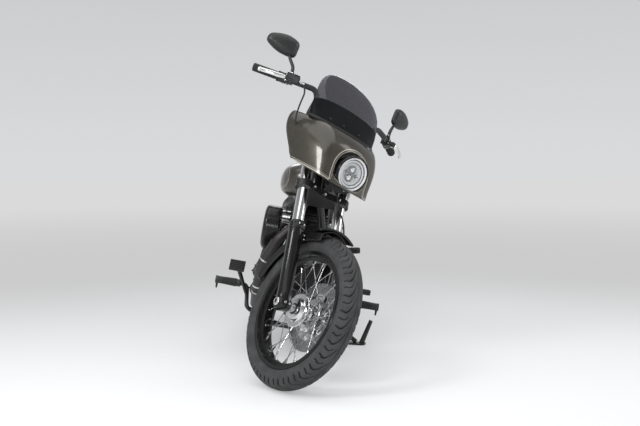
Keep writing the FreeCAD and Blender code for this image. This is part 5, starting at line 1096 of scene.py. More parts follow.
@dataclass
class Wheel:
    """One laced wheel: tyre, drop-centre rim, hub, spokes and nipples."""

    name: str
    body: Body
    centre: Spot
    radius: float
    half: float
    seat: float
    flange: float
    bead: float
    hub_half: float
    hub_right_half: float
    hub_radius: float
    tread: TreadPattern
    spokes: int = 40
    spoke_radius: float = 1.7
    hub_flange_height: float = 20.0
    hub_flange_width: float = 6.0
    rim_wall: float = 4.0
    rim_drop: float = 16.0
    lacing_deg: float = 52.0
    around: int = 720
    across: int = 56

    def _tyre_profile(self) -> list[tuple[float, float, float, float]]:
        """List the tyre's outline from its left bead over the crown to its right bead.

        Returns:
            For each point: x, radius, the outward slope's x part and the distance over the crown.
        """
        shoulder = self.radius - self.half
        lip = self.flange + 0.4
        side = []
        for index in range(9):
            share = index / 8
            bulge = (self.half - self.bead) * math.sin(share * math.pi / 2)
            side.append((self.bead + bulge, lip + (shoulder - lip) * share, 1.0, 0.0))
        crown = []
        for index in range(self.across + 1):
            angle = math.pi * index / self.across
            crown.append((self.half * math.cos(angle), shoulder + self.half * math.sin(angle),
                          math.cos(angle), self.half * (math.pi / 2 - angle)))
        other = [(-x, r, -nx, s) for x, r, nx, s in reversed(side)]
        return side[:-1] + crown + other[1:]

    def tyre(self) -> None:
        """Mould the tyre with its tread, shoulder ribs and rim line; darker rubber on the groove floors is
        painted shade.
        """
        form = Form()
        profile = self._tyre_profile()
        pitch = 2 * math.pi * self.radius / self.tread.pitches
        centre = Vector(self.centre)
        rings = []
        cuts = []
        for angle in around(self.around):
            turn = angle / (2 * math.pi) * self.tread.pitches
            out = on_ring(angle)
            ring = []
            cuts.append([])
            for x, r, nx, over in profile:
                depth = self.tread.cut_at(turn, over, pitch) if r > self.radius - self.half + 2 else 0.0
                rib = 0.8 * max(0.0, 1 - abs(r - (self.flange + 7)) / 2.0)
                rib += 0.7 * max(0.0, 1 - abs(r - (self.radius - self.half - 4)) / 2.5)
                lift = rib - depth
                cuts[-1].append(depth)
                rise = math.sqrt(max(0.0, 1 - nx * nx))
                ring.append(centre + ACROSS * (x + nx * lift * 0.9) + out * (r + rise * lift))
            rings.append(ring)
        # Faces cut deeper than this take the darker rubber: painted shade on the groove floors.
        floor = self.tread.depth * 0.62
        form.skin(rings, Coat.TYRE, around=False, along=True,
                  rule=lambda row, at: Coat.TREAD_PAINTED_SHADE if cuts[row][at] > floor else Coat.TYRE)
        form.turned([(self.bead - 1, self.seat + 1), (self.bead - 1, self.flange + 0.4),
                     (self.bead + 1, self.flange + 1.2)], Coat.TYRE, self.centre, steps=96)
        form.turned([(-self.bead - 1, self.flange + 1.2), (1 - self.bead, self.flange + 0.4),
                     (1 - self.bead, self.seat + 1)], Coat.TYRE, self.centre, steps=96)
        form.piece(f"{self.name}_tyre_moulded", self.body, "tyre", (f"{self.name}_tyre",), Shading.SMOOTH)

    def rim(self) -> None:
        """Roll the rim, with rounded flanges and a dropped middle."""
        wall = self.rim_wall
        well = self.seat - self.rim_drop
        bead = self.bead
        outline = [
            (bead + wall - 1, self.flange), (bead + 1, self.flange), (bead, self.flange - 1),
            (bead, self.seat + 1), (bead - 1, self.seat), (bead * 0.5, self.seat - wall),
            (bead * 0.38, well), (-bead * 0.38, well), (-bead * 0.5, self.seat - wall),
            (1 - bead, self.seat), (-bead, self.seat + 1), (-bead, self.flange - 1),
            (-bead - 1, self.flange), (1 - bead - wall, self.flange), (-bead - wall, self.flange - 1),
            (-bead - wall, self.seat - wall + 1), (1 - bead - wall, self.seat - wall),
            (-bead * 0.5 - wall, self.seat - wall * 2), (-bead * 0.38 - wall, well - wall),
            (bead * 0.38 + wall, well - wall), (bead * 0.5 + wall, self.seat - wall * 2),
            (bead + wall - 1, self.seat - wall), (bead + wall, self.seat - wall + 1),
            (bead + wall, self.flange - 1),
        ]
        form = Form()
        form.turned(outline, Coat.GLOSS, self.centre, steps=128, closed=True)
        for side in (-1, 1):
            edge = side * (bead + wall * 0.5)
            form.turned([(edge - 1.2, self.flange + 0.1), (edge, self.flange + 0.9),
                         (edge + 1.2, self.flange + 0.1)], Coat.GLOSS, self.centre, steps=128)
        valve = math.radians(-72)
        way = on_ring(valve)
        seat = Vector(self.centre) + way * (well - wall)
        form.rod(seat, seat - way * 34, 3.6, Coat.MATT, 14)
        form.rod(seat - way * 8, seat - way * 2, 6.0, Coat.ZINC, 6)
        form.piece(f"{self.name}_rim_rolled", self.body, "rim_black", (f"{self.name}_rim",))

    def hub(self) -> None:
        """Turn the hub and lace it to the rim."""
        radius = self.hub_radius
        flange = radius + self.hub_flange_height
        left = self.hub_half * 0.62
        right = self.hub_right_half * 0.62
        width = self.hub_flange_width
        form = Form()
        form.turned([
            (self.hub_half, 13), (self.hub_half, radius - 8), (self.hub_half - 2, radius - 1),
            (self.hub_half - 4, radius), (left + 5, radius), (left, radius + 5), (left, flange - 2),
            (left - 1.5, flange), (left - width + 1.5, flange), (left - width, flange - 2),
            (left - width * 1.4, radius * 0.92), (left - width * 3, radius * 0.82),
            (width * 3 - right, radius * 0.82), (width * 1.4 - right, radius * 0.92),
            (width - right, flange - 2), (width - right - 1.5, flange), (1.5 - right, flange),
            (-right, flange - 2), (-right, radius + 5), (-right - 5, radius + 1),
            (-self.hub_right_half + 9, radius), (-self.hub_right_half + 3, radius - 4),
            (-self.hub_right_half, radius - 12), (-self.hub_right_half, 13),
        ], Coat.ALLOY, self.centre, steps=96)
        anchor = flange - width
        reach = self.seat - self.rim_drop - self.rim_wall - 0.9
        centre = Vector(self.centre)
        for index in range(self.spokes):
            side = 1 if index % 2 else -1
            outer = (index // 2) % 2
            face = left if side > 0 else right
            depth = self.spoke_radius * 0.4 if outer else width - self.spoke_radius * 0.4
            lead = 1 if outer else -1
            rim_angle = 2 * math.pi * index / self.spokes
            hub_angle = rim_angle + lead * math.radians(self.lacing_deg)
            start = centre + on_ring(hub_angle, anchor, side * (face - depth))
            end = centre + on_ring(rim_angle, reach, side * 7)
            run = (end - start).normalized()
            way = side * (1 if outer else -1)
            form.ball(start + ACROSS * way * 0.8, self.spoke_radius * 1.9, Coat.ZINC, 0.55, (1, 0, 0), 10)
            form.tube([start + ACROSS * way * 0.8, start + run * 5, end], self.spoke_radius,
                      Coat.SPOKE, 8, caps=False)
            form.turned([(0, 3.9), (5, 4.1), (6, 3.3), (21, 3.0), (22, 1.9)], Coat.SPOKE, end, -run, 10)
        form.piece(f"{self.name}_hub_laced", self.body, "hub_alloy", (f"{self.name}_hub",))

    def bearings(self) -> None:
        """Press dust seals into both ends of the hub."""
        form = Form()
        for side, half in ((1, self.hub_half), (-1, self.hub_right_half)):
            form.turned([(0.2, 24), (1.4, 23), (1.0, 20), (1.6, 19), (1.6, 13)], Coat.MATT,
                        Vector(self.centre) + ACROSS * side * half, (side, 0, 0), 40)
        form.piece(f"{self.name}_hub_seals", self.body, "hub_alloy")

    def build(self) -> None:
        """Build the whole wheel."""
        self.tyre()
        self.rim()
        self.hub()
        self.bearings()


def ring_points(radius: float, steps: int, x: float = 0.0, y: float = 0.0) -> list[tuple[float, float]]:
    """List a circle's points in its own plane."""
    return [(x + radius * math.cos(angle), y + radius * math.sin(angle)) for angle in around(steps)]


def pierced(form: Form, loops: Sequence[Profile], thickness: float, place: Matrix,
            finish: Finish, ease: float = 0.4) -> None:
    """Add a flat plate whose first loop is its outline and whose others are holes.

    Args:
        form: The piece to add it to.
        loops: The outline and the holes in the plate's plane.
        thickness: The plate's thickness.
        place: The pose of the plate's plane.
        finish: Its finish.
        ease: The width of its eased edges.
    """
    curve = bpy.data.curves.new("plate_outline", "CURVE")
    curve.dimensions = "2D"
    curve.fill_mode = "BOTH"
    curve.extrude = thickness / 2 - ease
    curve.bevel_depth = ease
    curve.bevel_resolution = 1
    curve.offset = -ease
    for loop in loops:
        spline = curve.splines.new("POLY")
        spline.points.add(len(loop) - 1)
        for point, (x, y) in zip(spline.points, loop):
            point.co = (x, y, 0, 1)
        spline.use_cyclic_u = True
    holder = linked("plate_outline", curve)
    bpy.context.view_layer.update()
    graph = bpy.context.evaluated_depsgraph_get()
    data = bpy.data.meshes.new_from_object(holder.evaluated_get(graph))
    bpy.data.objects.remove(holder)
    data.transform(place)
    part = bmesh.new()
    part.from_mesh(data)
    form.absorb(part, finish)
    bpy.data.meshes.remove(data)


def facing_across(centre: Point) -> Matrix:
    """Turn a plate's plane so that it faces across the bike."""
    turn = Matrix((REARWARD, UP, ACROSS)).transposed().to_4x4()
    return Matrix.Translation(Vector(centre)) @ turn


@dataclass
class BrakeDisc:
    """A brake disc: a drilled ring on a carrier with windows and bolts."""

    name: str
    body: Body
    centre: Spot
    outer: float
    inner: float
    face: float
    thickness: float = 5.0
    ring_width: float = 48.0
    window_radius: float = 13.0
    windows: int = 7
    hole_rows: int = 15
    outward: int = 1

    def build(self) -> None:
        """Cut the disc and bolt it to the hub."""
        form = Form()
        middle = Vector(self.centre) + ACROSS * self.face
        ring_inner = self.outer - self.ring_width
        window_at = ring_inner - self.window_radius
        holes = []
        for step, share in enumerate((0.26, 0.5, 0.74)):
            for angle in around(self.hole_rows, step * 0.22):
                at = ring_inner + self.ring_width * share
                holes.append(ring_points(3.6, 12, at * math.cos(angle), at * math.sin(angle)))
        windows = [ring_points(self.window_radius, 28, window_at * math.cos(angle),
                               window_at * math.sin(angle)) for angle in around(self.windows)]
        place = facing_across(middle)
        pierced(form, [ring_points(self.outer, 128), ring_points(ring_inner + 1.5, 96)] + holes,
                self.thickness, place, Coat.DISC)
        pierced(form, [ring_points(ring_inner + 1.4, 96), ring_points(self.inner, 64)] + windows,
                self.thickness * 0.8, place, Coat.ALLOY)
        out = ACROSS * self.outward
        face = middle + out * self.thickness * 0.4
        form.bolt_ring(face, out, (self.inner + window_at - self.window_radius) / 2, 5, 6.5, 4.5)
        for angle in around(self.windows, 0.5):
            form.turned([(0, 6.5), (1.2, 6.5), (1.2, 3.5), (0.4, 3.2), (0.4, 0)], Coat.ZINC,
                        face + on_ring(angle, ring_inner), out, 18)
        form.piece(f"{self.name}_drilled", self.body, "disc_steel", (self.name,))


@dataclass
class Pulley:
    """The toothed belt pulley on the rear hub."""

    centre: Spot
    radius: float = 156.0
    low: float = 87.3
    width: float = 26.0
    windows: int = 5
    window_radius: float = 34.0
    teeth: int = 66

    def build(self) -> None:
        """Cut the pulley's web and raise its teeth."""
        form = Form()
        middle = Vector(self.centre) + ACROSS * (self.low + self.width / 2)
        rim = self.radius - 14
        at = self.radius * 0.6
        windows = [ring_points(self.window_radius, 32, at * math.cos(angle), at * math.sin(angle))
                   for angle in around(self.windows)]
        pierced(form, [ring_points(rim + 1, 96), ring_points(12.3, 32)] + windows, 14,
                facing_across(middle), Coat.BLACK, 1.0)
        half = self.width / 2
        form.turned([(-half, rim), (-half, self.radius - 3), (half, self.radius - 3), (half, rim)],
                    Coat.BLACK, middle, steps=132, closed=True)
        for angle in around(self.teeth):
            out = on_ring(angle)
            along = Vector((0, -math.sin(angle), math.cos(angle)))
            base = middle + out * (self.radius - 3.4)
            base -= ACROSS * (half - 1)
            corners = [base - along * 4, base + along * 4, base + out * 3.2 + along * 2.6,
                       base + out * 3.2 - along * 2.6]
            form.plate(corners, ACROSS * (self.width - 2), Coat.BLACK, 0)
        for side in (-1, 1):
            edge = side * half
            form.turned([(edge, rim), (edge, self.radius - 0.2), (edge - side * 1.6, self.radius - 0.2),
                         (edge - side * 1.6, rim)], Coat.BLACK, middle, steps=132)
        form.bolt_ring(middle + ACROSS * 7, ACROSS, 34, 5, 7, 6)
        form.piece("rear_pulley_toothed", Body.REAR_WHEEL, "black_metal", ("rear_pulley",))


@dataclass
class Axles:
    """The ends of both axles, with their nuts and washers."""

    nut_x: float = 135.0
    rear_nut_x: float = 146.2

    def build(self) -> None:
        """Dress the axles and add what clamps them."""
        for node, body in (("front_axle", Body.STEERING), ("rear_axle", Body.CHASSIS)):
            refine(node, body, Coat.STEEL, 1.0)
        form = Form()
        front = Vector(FRONT_AXLE)
        form.turned([(0, 19), (2, 19), (2, 16), (8, 15.5), (8, 12.2)], Coat.CHROME,
                    front + ACROSS * self.nut_x, (1, 0, 0), 6)
        form.turned([(0, 17), (7, 17), (9, 15), (9, 12.2)], Coat.CHROME,
                    front - ACROSS * self.nut_x, (-1, 0, 0), 36)
        form.piece("front_axle_nuts", Body.STEERING, "steel")
        form = Form()
        rear = Vector(REAR_AXLE)
        for side in SIDES:
            form.turned([(0, 21), (2.5, 21), (2.5, 12.2)], Coat.ZINC, rear + ACROSS * side * self.rear_nut_x,
                        (side, 0, 0), 40)
            form.turned([(2.5, 18), (11, 18), (12.5, 16.5), (12.5, 12.2)], Coat.CHROME,
                        rear + ACROSS * side * self.rear_nut_x, (side, 0, 0), 6)
        form.piece("rear_axle_nuts", Body.CHASSIS, "steel")


# Fork, front fender and caliper

@dataclass
class Fork:
    """Sliders, bright tubes, clamps and risers."""

    spacing: float = 108.0
    line: float = -STANCE.fork_offset
    slider_radius: float = 31.0
    slider_high: float = 364.0
    slider_low: float = -26.0
    tube_radius: float = 24.5
    tube_low: float = 304.3
    tube_high: float = 771.0
    lower_clamp: float = 546.0
    upper_clamp: float = 750.0
    riser_x: float = 45.0
    riser_y: float = -68.2
    riser_high: float = 836.2

    def sliders(self) -> None:
        """Turn the lower legs with their seals, axle lugs and bolts."""
        form = Form()
        up = STANCE.fork_way(0, 0, 1)
        ahead = STANCE.fork_way(0, -1, 0)
        r = self.slider_radius
        top = self.slider_high
        for side in SIDES:
            foot = STANCE.fork_point(side * self.spacing, self.line, 0)
            form.turned([
                (self.slider_low, 0), (self.slider_low, 17), (-24, 24), (-20, 28.5), (-12, r), (42, r),
                (46, r - 1), (296, r - 1), (301, r), (top - 31, r), (top - 30, r + 2.6), (top - 28, r + 3),
                (top - 15, r + 3), (top - 14, r + 1.8), (top - 12, r + 1.8), (top - 11, r + 3),
                (top - 3, r + 3), (top, r + 1), (top, r - 1.5), (top + 5, r - 2.2), (top + 8, r - 4.6),
                (top + 8, self.tube_radius + 0.8), (top + 2, self.tube_radius + 0.1),
            ], Coat.GLOSS, foot, up, 56)
            lug = foot - ACROSS * side * 29
            form.turned([(0, 13), (0, 25), (2, 27), (55, 27), (57.5, 25), (57.5, 19), (55.5, 18),
                         (55.5, 12.4)], Coat.GLOSS, lug, (side, 0, 0), 48)
            for shift in (-11, 11):
                head = foot + ACROSS * side * shift + ahead * (r - 1) + up * -2
                form.bolt(head, ahead, 5.2, 5)
            for shift in (-13, 13):
                head = foot + up * (top - 12) + ahead * (r + 1.5) + ACROSS * shift
                form.bolt(head, ahead, 4.6, 4)
            drain = foot + up * 20 - ahead * (r - 1)
            form.bolt(drain, -ahead, 5, 4, socket=False)
        form.piece("fork_legs_cast", Body.STEERING, "black_metal", ("fork_legs",), Shading.SMOOTH)

    def tubes(self) -> None:
        """Turn the bright upper tubes with their top caps."""
        form = Form()
        up = STANCE.fork_way(0, 0, 1)
        r = self.tube_radius
        for side in SIDES:
            foot = STANCE.fork_point(side * self.spacing, self.line, 0)
            form.turned([(self.tube_low, 0), (self.tube_low, r), (self.tube_high - 2, r),
                         (self.tube_high, r - 2), (self.tube_high, 0)], Coat.CHROME, foot, up, 64)
            cap = foot + up * self.tube_high
            form.turned([(0, r - 3), (2, r - 3), (2, 17)], Coat.BLACK, cap, up, 48)
            form.turned([(2, 17), (7.4, 17), (8.5, 15.5), (8.5, 6), (6, 5.5), (6, 0)], Coat.BLACK, cap, up, 6)
        form.piece("fork_tubes_plated", Body.STEERING, "chrome", ("fork_tubes",), Shading.CREASED)

    def clamps(self) -> None:
        """Ease the clamps' edges and bolt them up."""
        refine("triple_clamps", Body.STEERING, Coat.BLACK, 2.0)
        form = Form()
        up = STANCE.fork_way(0, 0, 1)
        ahead = STANCE.fork_way(0, -1, 0)
        for height in (self.lower_clamp, self.upper_clamp):
            for side in SIDES:
                head = STANCE.fork_point(side * (self.spacing - 34), self.line - 31.5, height)
                form.turned([(-6, 10), (0.5, 10), (2, 8.5), (2, 0)], Coat.BLACK, head, ahead, 24)
                form.bolt(head + ahead * 1.6, ahead, 6, 5)
        form.bolt(STANCE.fork_point(0, self.line - 17.6, self.lower_clamp), ahead, 7.5, 6, Coat.CHROME)
        nut = STANCE.fork_point(0, 0, self.upper_clamp + 28)
        form.turned([(0, 17), (7, 17), (9, 15), (9, 0)], Coat.CHROME, nut, up, 6)
        for side in SIDES:
            top = STANCE.fork_point(side * self.riser_x, self.riser_y, self.riser_high)
            form.turned([(-0.5, 17), (0.6, 16.6), (1.4, 15), (1.4, 0)], Coat.BLACK, top, up, 40)
            for shift in (-9, 9):
                form.bolt(top + ACROSS * shift + up, up, 3.8, 3)
        form.piece("clamp_bolts", Body.STEERING, "chrome")

    def build(self) -> None:
        """Build the whole fork."""
        self.sliders()
        self.tubes()
        self.clamps()


@dataclass
class Fender:
    """A fender turned about its wheel's axle, with a crowned section and rolled edges."""

    node: str
    body: Body
    slot: str
    finish: Finish
    axle: Spot
    half: float
    radius: float
    skirt: float
    start_deg: float
    sweep_deg: float
    wall: float = 4.0
    bead: float = 2.6
    steps: int = 72

    def section(self) -> list[tuple[float, float]]:
        """Outline the fender's section from its left skirt over the crown, then back inside."""
        crown = self.half * 0.36
        chord = self.half
        outer = [(self.half, self.skirt), (self.half, self.skirt + (self.radius - crown - self.skirt) * 0.6)]
        circle = (chord * chord + crown * crown) / (2 * crown)
        low = self.radius - circle
        limit = math.asin(chord / circle)
        for index in range(25):
            angle = limit - 2 * limit * index / 24
            outer.append((circle * math.sin(angle), low + circle * math.cos(angle)))
        outer += [(-x, r) for x, r in reversed(outer[:2])]
        shrink = (self.half - self.wall) / self.half
        inner = [(x * shrink, r - self.wall if abs(x) < self.half - 1 else r) for x, r in reversed(outer)]
        return outer + inner

    def swept(self, form: Form, profile: Profile, finish: Finish) -> None:
        """Turn a section through the fender's own sweep."""
        rings = []
        for index in range(self.steps + 1):
            angle = math.radians(self.start_deg + self.sweep_deg * index / self.steps)
            way = on_ring(angle)
            rings.append([Vector(self.axle) + ACROSS * x + way * r for x, r in profile])
        form.skin(rings, finish, around=True, caps=True)

    def rolled(self, form: Form) -> None:
        """Roll a bead round the fender's two skirts and two ends."""
        for side in SIDES:
            bead = [(side * (self.half - self.wall / 2) + self.bead * math.cos(turn),
                     self.skirt + self.bead * math.sin(turn))
                    for turn in (math.pi * step / 5 for step in range(10))]
            self.swept(form, bead, self.finish)
        outer = self.section()[:29]
        for angle_deg in (self.start_deg, self.start_deg + self.sweep_deg):
            angle = math.radians(angle_deg)
            way = on_ring(angle)
            line = [Vector(self.axle) + ACROSS * (x * 0.985) + way * (r - self.wall / 2)
                    for x, r in outer]
            form.tube(line, self.bead, self.finish, 10)

    def build(self, extras: Callable[[Form], None] | None = None) -> None:
        """Build the fender and what is welded to it."""
        form = Form()
        self.swept(form, self.section(), self.finish)
        self.rolled(form)
        if extras:
            extras(form)
        form.piece(f"{self.node}_pressed", self.body, self.slot, (self.node,), Shading.CREASED)


def front_fender_tabs(form: Form) -> None:
    """Add the front fender's tabs to the fork legs, with their bolts, and its flared lip."""
    ahead = STANCE.fork_way(0, -1, 0)
    turn = tipped(-STANCE.rake_deg)
    for side in SIDES:
        middle = STANCE.fork_point(side * 71.5, -STANCE.fork_offset, 307)
        form.block((17, 35, 33), Coat.GLOSS, Matrix.Translation(middle) @ turn, 2.5)
        for shift in (-9, 9):
            head = STANCE.fork_point(side * 72, -STANCE.fork_offset - 17, 307 + shift)
            form.bolt(head, ahead, 4.6, 4)
    rings = []
    for step in range(13):
        share = step / 12
        angle = math.radians(70 + 16 * share)
        way = on_ring(angle)
        half = 62 + 30 * share ** 1.5
        crown = 357 + 7 * share
        low = 3 * (1 - share)
        rings.append([Vector(FRONT_AXLE) + ACROSS * (half * spot) + way * (crown - 24 * spot * spot - low)
                      for spot in (index / 14 - 1 for index in range(29))])
    form.skin(rings, Coat.GLOSS, around=False)
    form.skin([[point - UP * 3 for point in ring] for ring in rings], Coat.GLOSS, around=False)
    form.tube(rings[-1], 5.6, Coat.GLOSS, 14)


@dataclass
class FrontCaliper:
    """The caliper behind the left leg, with its bolts, pins and bleeder."""

    face: float = 95.3
    angle_deg: float = -62.0

    def build(self) -> None:
        """Ease the caliper's edges and add its small parts."""
        refine("front_caliper", Body.STEERING, Coat.BLACK, 2.2)
        form = Form()
        turn = tipped(-STANCE.rake_deg)
        around = tipped(self.angle_deg)
        middle = Matrix.Translation(STANCE.fork_point(0, -STANCE.fork_offset, 0)) @ turn @ around
        face = self.face
        for shift in (-32, 32):
            head = middle @ Vector((face, shift, 118))
            form.turned([(-0.5, 15), (1.8, 14.4), (2.6, 13), (2.6, 8), (1.2, 7.4), (1.2, 0)], Coat.ALLOY,
                        head, ACROSS, 36)
            form.bolt(middle @ Vector((face, shift * 0.62, 146)), ACROSS, 6, 5)
        form.rod(middle @ Vector((face - 34, 0, 163)), middle @ Vector((face - 4, 0, 163)), 4.2, Coat.ZINC)
        bleeder = middle @ Vector((face - 16, -40, 166))
        up = (middle.to_3x3() @ UP).normalized()
        form.turned([(0, 5), (3, 5), (3, 3.4), (12, 3.2), (12, 4.4), (15, 4.4), (16, 2.5), (16, 0)],
                    Coat.ZINC, bleeder, up, 18)
        form.block((2, 66, 12), Coat.ALLOY, middle @ Matrix.Translation((face + 0.6, 0, 133)), 0.8)
        form.piece("front_caliper_fittings", Body.STEERING, "steel")


# Handlebar and what it carries

@dataclass
class Grip:
    """Where the left grip lies, and points measured along and ahead of it."""

    start: Spot = (262.0, 421.0, 1195.0)
    end: Spot = (441.0, 553.0, 1169.0)
    length: float = 122.0
    bar_radius: float = 12.7

    @property
    def way(self) -> Vector:
        """The grip's direction, outward and back."""
        return (Vector(self.end) - Vector(self.start)).normalized()

    @property
    def ahead(self) -> Vector:
        """The level direction square to the grip, to the front."""
        across = self.way.cross(UP).normalized()
        return -across if across.y > 0 else across

    @property
    def above(self) -> Vector:
        """The direction square to the grip that points mostly up."""
        up = self.ahead.cross(self.way)
        return -up if up.z < 0 else up

    def at(self, inward: float, ahead: float = 0.0, above: float = 0.0, rise: float = 0.0) -> Vector:
        """Find a point by its distance inward from the bar's end, ahead of it and above it."""
        return (Vector(self.end) - self.way * inward + self.ahead * ahead + self.above * above
                + UP * rise)

    def frame(self, inward: float, ahead: float = 0.0, above: float = 0.0) -> Matrix:
        """Give a pose with x along the grip, y to the rear and z up."""
        turn = Matrix((self.way, -self.ahead, self.above)).transposed().to_4x4()
        return Matrix.Translation(self.at(inward, ahead, above)) @ turn


@dataclass
class Handlebar:
    """The bar with grips, controls and levers."""

    grip: Grip = field(default_factory=Grip)
    grip_radius: float = 17.5
    housing_radius: float = 23.0
    housing_start: float = 123.0
    housing_length: float = 46.0
    rise: tuple[Spot, ...] = (
        (100, 381, 1050), (142, 392, 1052), (166, 410, 1098), (166, 404, 1176), (196, 402, 1206))

    def bar(self) -> None:
        """Bend the bar, which rises close beside the fairing, and bore its ends."""
        grip = self.grip
        bore = 10.5
        form = Form()
        left = [Vector(point) for point in self.rise] + [Vector(grip.start), Vector(grip.end)]
        route = [flip(point) for point in reversed(left)] + left
        form.tube(rounded(route, 42, 4), grip.bar_radius, Coat.BLACK, 28, caps=False)
        for side in SIDES:
            end = Vector(grip.end) if side > 0 else flip(grip.end)
            inward = -grip.way if side > 0 else flip(-grip.way)
            form.turned([(0, grip.bar_radius), (-0.6, grip.bar_radius - 0.6), (0, bore), (60, bore), (60, 0)],
                        Coat.BLACK, end, inward, 28)
        form.piece("handlebar_bent", Body.STEERING, "black_metal", ("handlebar",), Shading.SMOOTH)

    def grips(self) -> None:
        """Mould the grips with rings of ribs and a flange."""
        form = Form()
        r = self.grip_radius
        end = self.grip.length
        profile = [(0.3, 13), (0.3, 15.5), (1.6, r)]
        profile += ribs(5.0, end - 16, 6.4, [(0, r), (0.9, r + 1.3), (3.1, r + 1.3), (4, r)])
        profile += [(end - 11, r), (end - 9, r + 2), (end - 8, 22.5), (end - 6, 23.5),
                    (end - 1.5, 23.5), (end, 22), (end, 13)]
        form.turned(profile, Coat.GRIP, self.grip.end, -self.grip.way, 48)
        form.mirrored()
        form.piece("grips_moulded", Body.STEERING, "grip_rubber", ("grips",))

    def _switches(self, form: Form) -> None:
        """Add a switch housing's seam, clamp screws, rocker and buttons."""
        grip = self.grip
        middle = self.housing_start + self.housing_length / 2
        form.block((self.housing_length - 3, 26, 17), Coat.BLACK, grip.frame(middle, -12, 12), 4, 3)
        form.block((17, 3.5, 9), Coat.MATT, grip.frame(middle - 8, -26, 15), 1.4)
        form.block((12, 4.5, 8), Coat.MATT, grip.frame(middle + 11, -26, 15), 1.8)
        form.turned([(0, 6), (3.5, 6), (4.5, 4.8), (4.5, 0)], Coat.MATT, grip.at(middle, -22, -9),
                    -grip.ahead, 24)
        for shift in (-15, 15):
            form.bolt(grip.at(middle + shift, 6, -self.housing_radius + 1), -grip.above, 3.2, 2.4)
        form.turned([(-0.5, 24.2), (0.5, 24.2)], Coat.MATT, grip.at(middle), grip.way, 48)

    def controls(self) -> None:
        """Ease the housings' edges and fit switches, perch bolts and the reservoir's lid."""
        refine("bar_controls", Body.STEERING, Coat.BLACK, 1.6)
        form = Form()
        grip = self.grip
        self._switches(form)
        pivot = grip.at(156, 36)
        form.turned([(-11, 9), (-11, 10.5), (-9.5, 11.5), (9.5, 11.5), (11, 10.5), (11, 9)], Coat.BLACK,
                    pivot, grip.above, 32)
        form.bolt(pivot + grip.above * 11, grip.above, 5.2, 3.2, Coat.CHROME)
        form.turned([(0, 7.2), (2, 7.2), (2, 0)], Coat.CHROME, pivot - grip.above * 11, -grip.above, 6)
        for drop in (-7, 7):
            form.bolt(grip.at(176, 17, drop), grip.ahead, 3.6, 3)
        form.mirrored()
        lid = Form()
        lid.block((57, 30, 5), Coat.GLOSS, grip.frame(183.5, 25.7, 24.4), 1.6)
        lid.block((40, 15, 2.4), Coat.MATT, grip.frame(183.5, 25.7, 27.4), 1.0)
        for along_x in (-23, 23):
            for across_y in (-10, 10):
                lid.bolt(grip.frame(183.5, 25.7, 26.8) @ Vector((along_x, across_y, 0)), grip.above, 2.6, 1.6)
        lid.turned([(0, 7.5), (1.2, 7.5), (1.2, 6), (0.6, 5.6), (0.6, 0)], Coat.LENS,
                   grip.at(183.5, 25.7 - 17.2, 6), -grip.ahead, 28)
        form.piece("control_fittings", Body.STEERING, "black_metal")
        for vertex in lid.mesh.verts:
            vertex.co = flip(vertex.co)
        lid.piece("reservoir_lid", Body.STEERING, "black_metal")

    def levers(self) -> None:
        """Forge the two levers, flattened towards the ball at their tips."""
        form = Form()
        grip = self.grip
        points = [grip.at(156, 36), grip.at(140, 50, 0, -2), grip.at(120, 58, 0, -4),
                  grip.at(96, 61, 0, -5), grip.at(76, 61.5, 0, -6), grip.at(58, 60.5, 0, -7),
                  grip.at(40, 58, 0, -8)]
        form.tube(flowing(points, 7), lambda share: 10.4 - 1.6 * share, Coat.CHROME, 24, True, 0.5,
                  grip.ahead)
        form.ball(grip.at(40, 58, 0, -8), 10, Coat.CHROME, 0.8, grip.ahead, 28)
        form.turned([(-5.4, 0), (-5.4, 9.5), (-4.4, 10.4), (4.4, 10.4), (5.4, 9.5), (5.4, 0)], Coat.CHROME,
                    grip.at(156, 36), grip.above, 32)
        form.mirrored()
        form.piece("levers_forged", Body.STEERING, "chrome", ("levers",), Shading.SMOOTH)

    def build(self) -> None:
        """Build the bar and everything on it."""
        self.bar()
        self.grips()
        self.controls()
        self.levers()


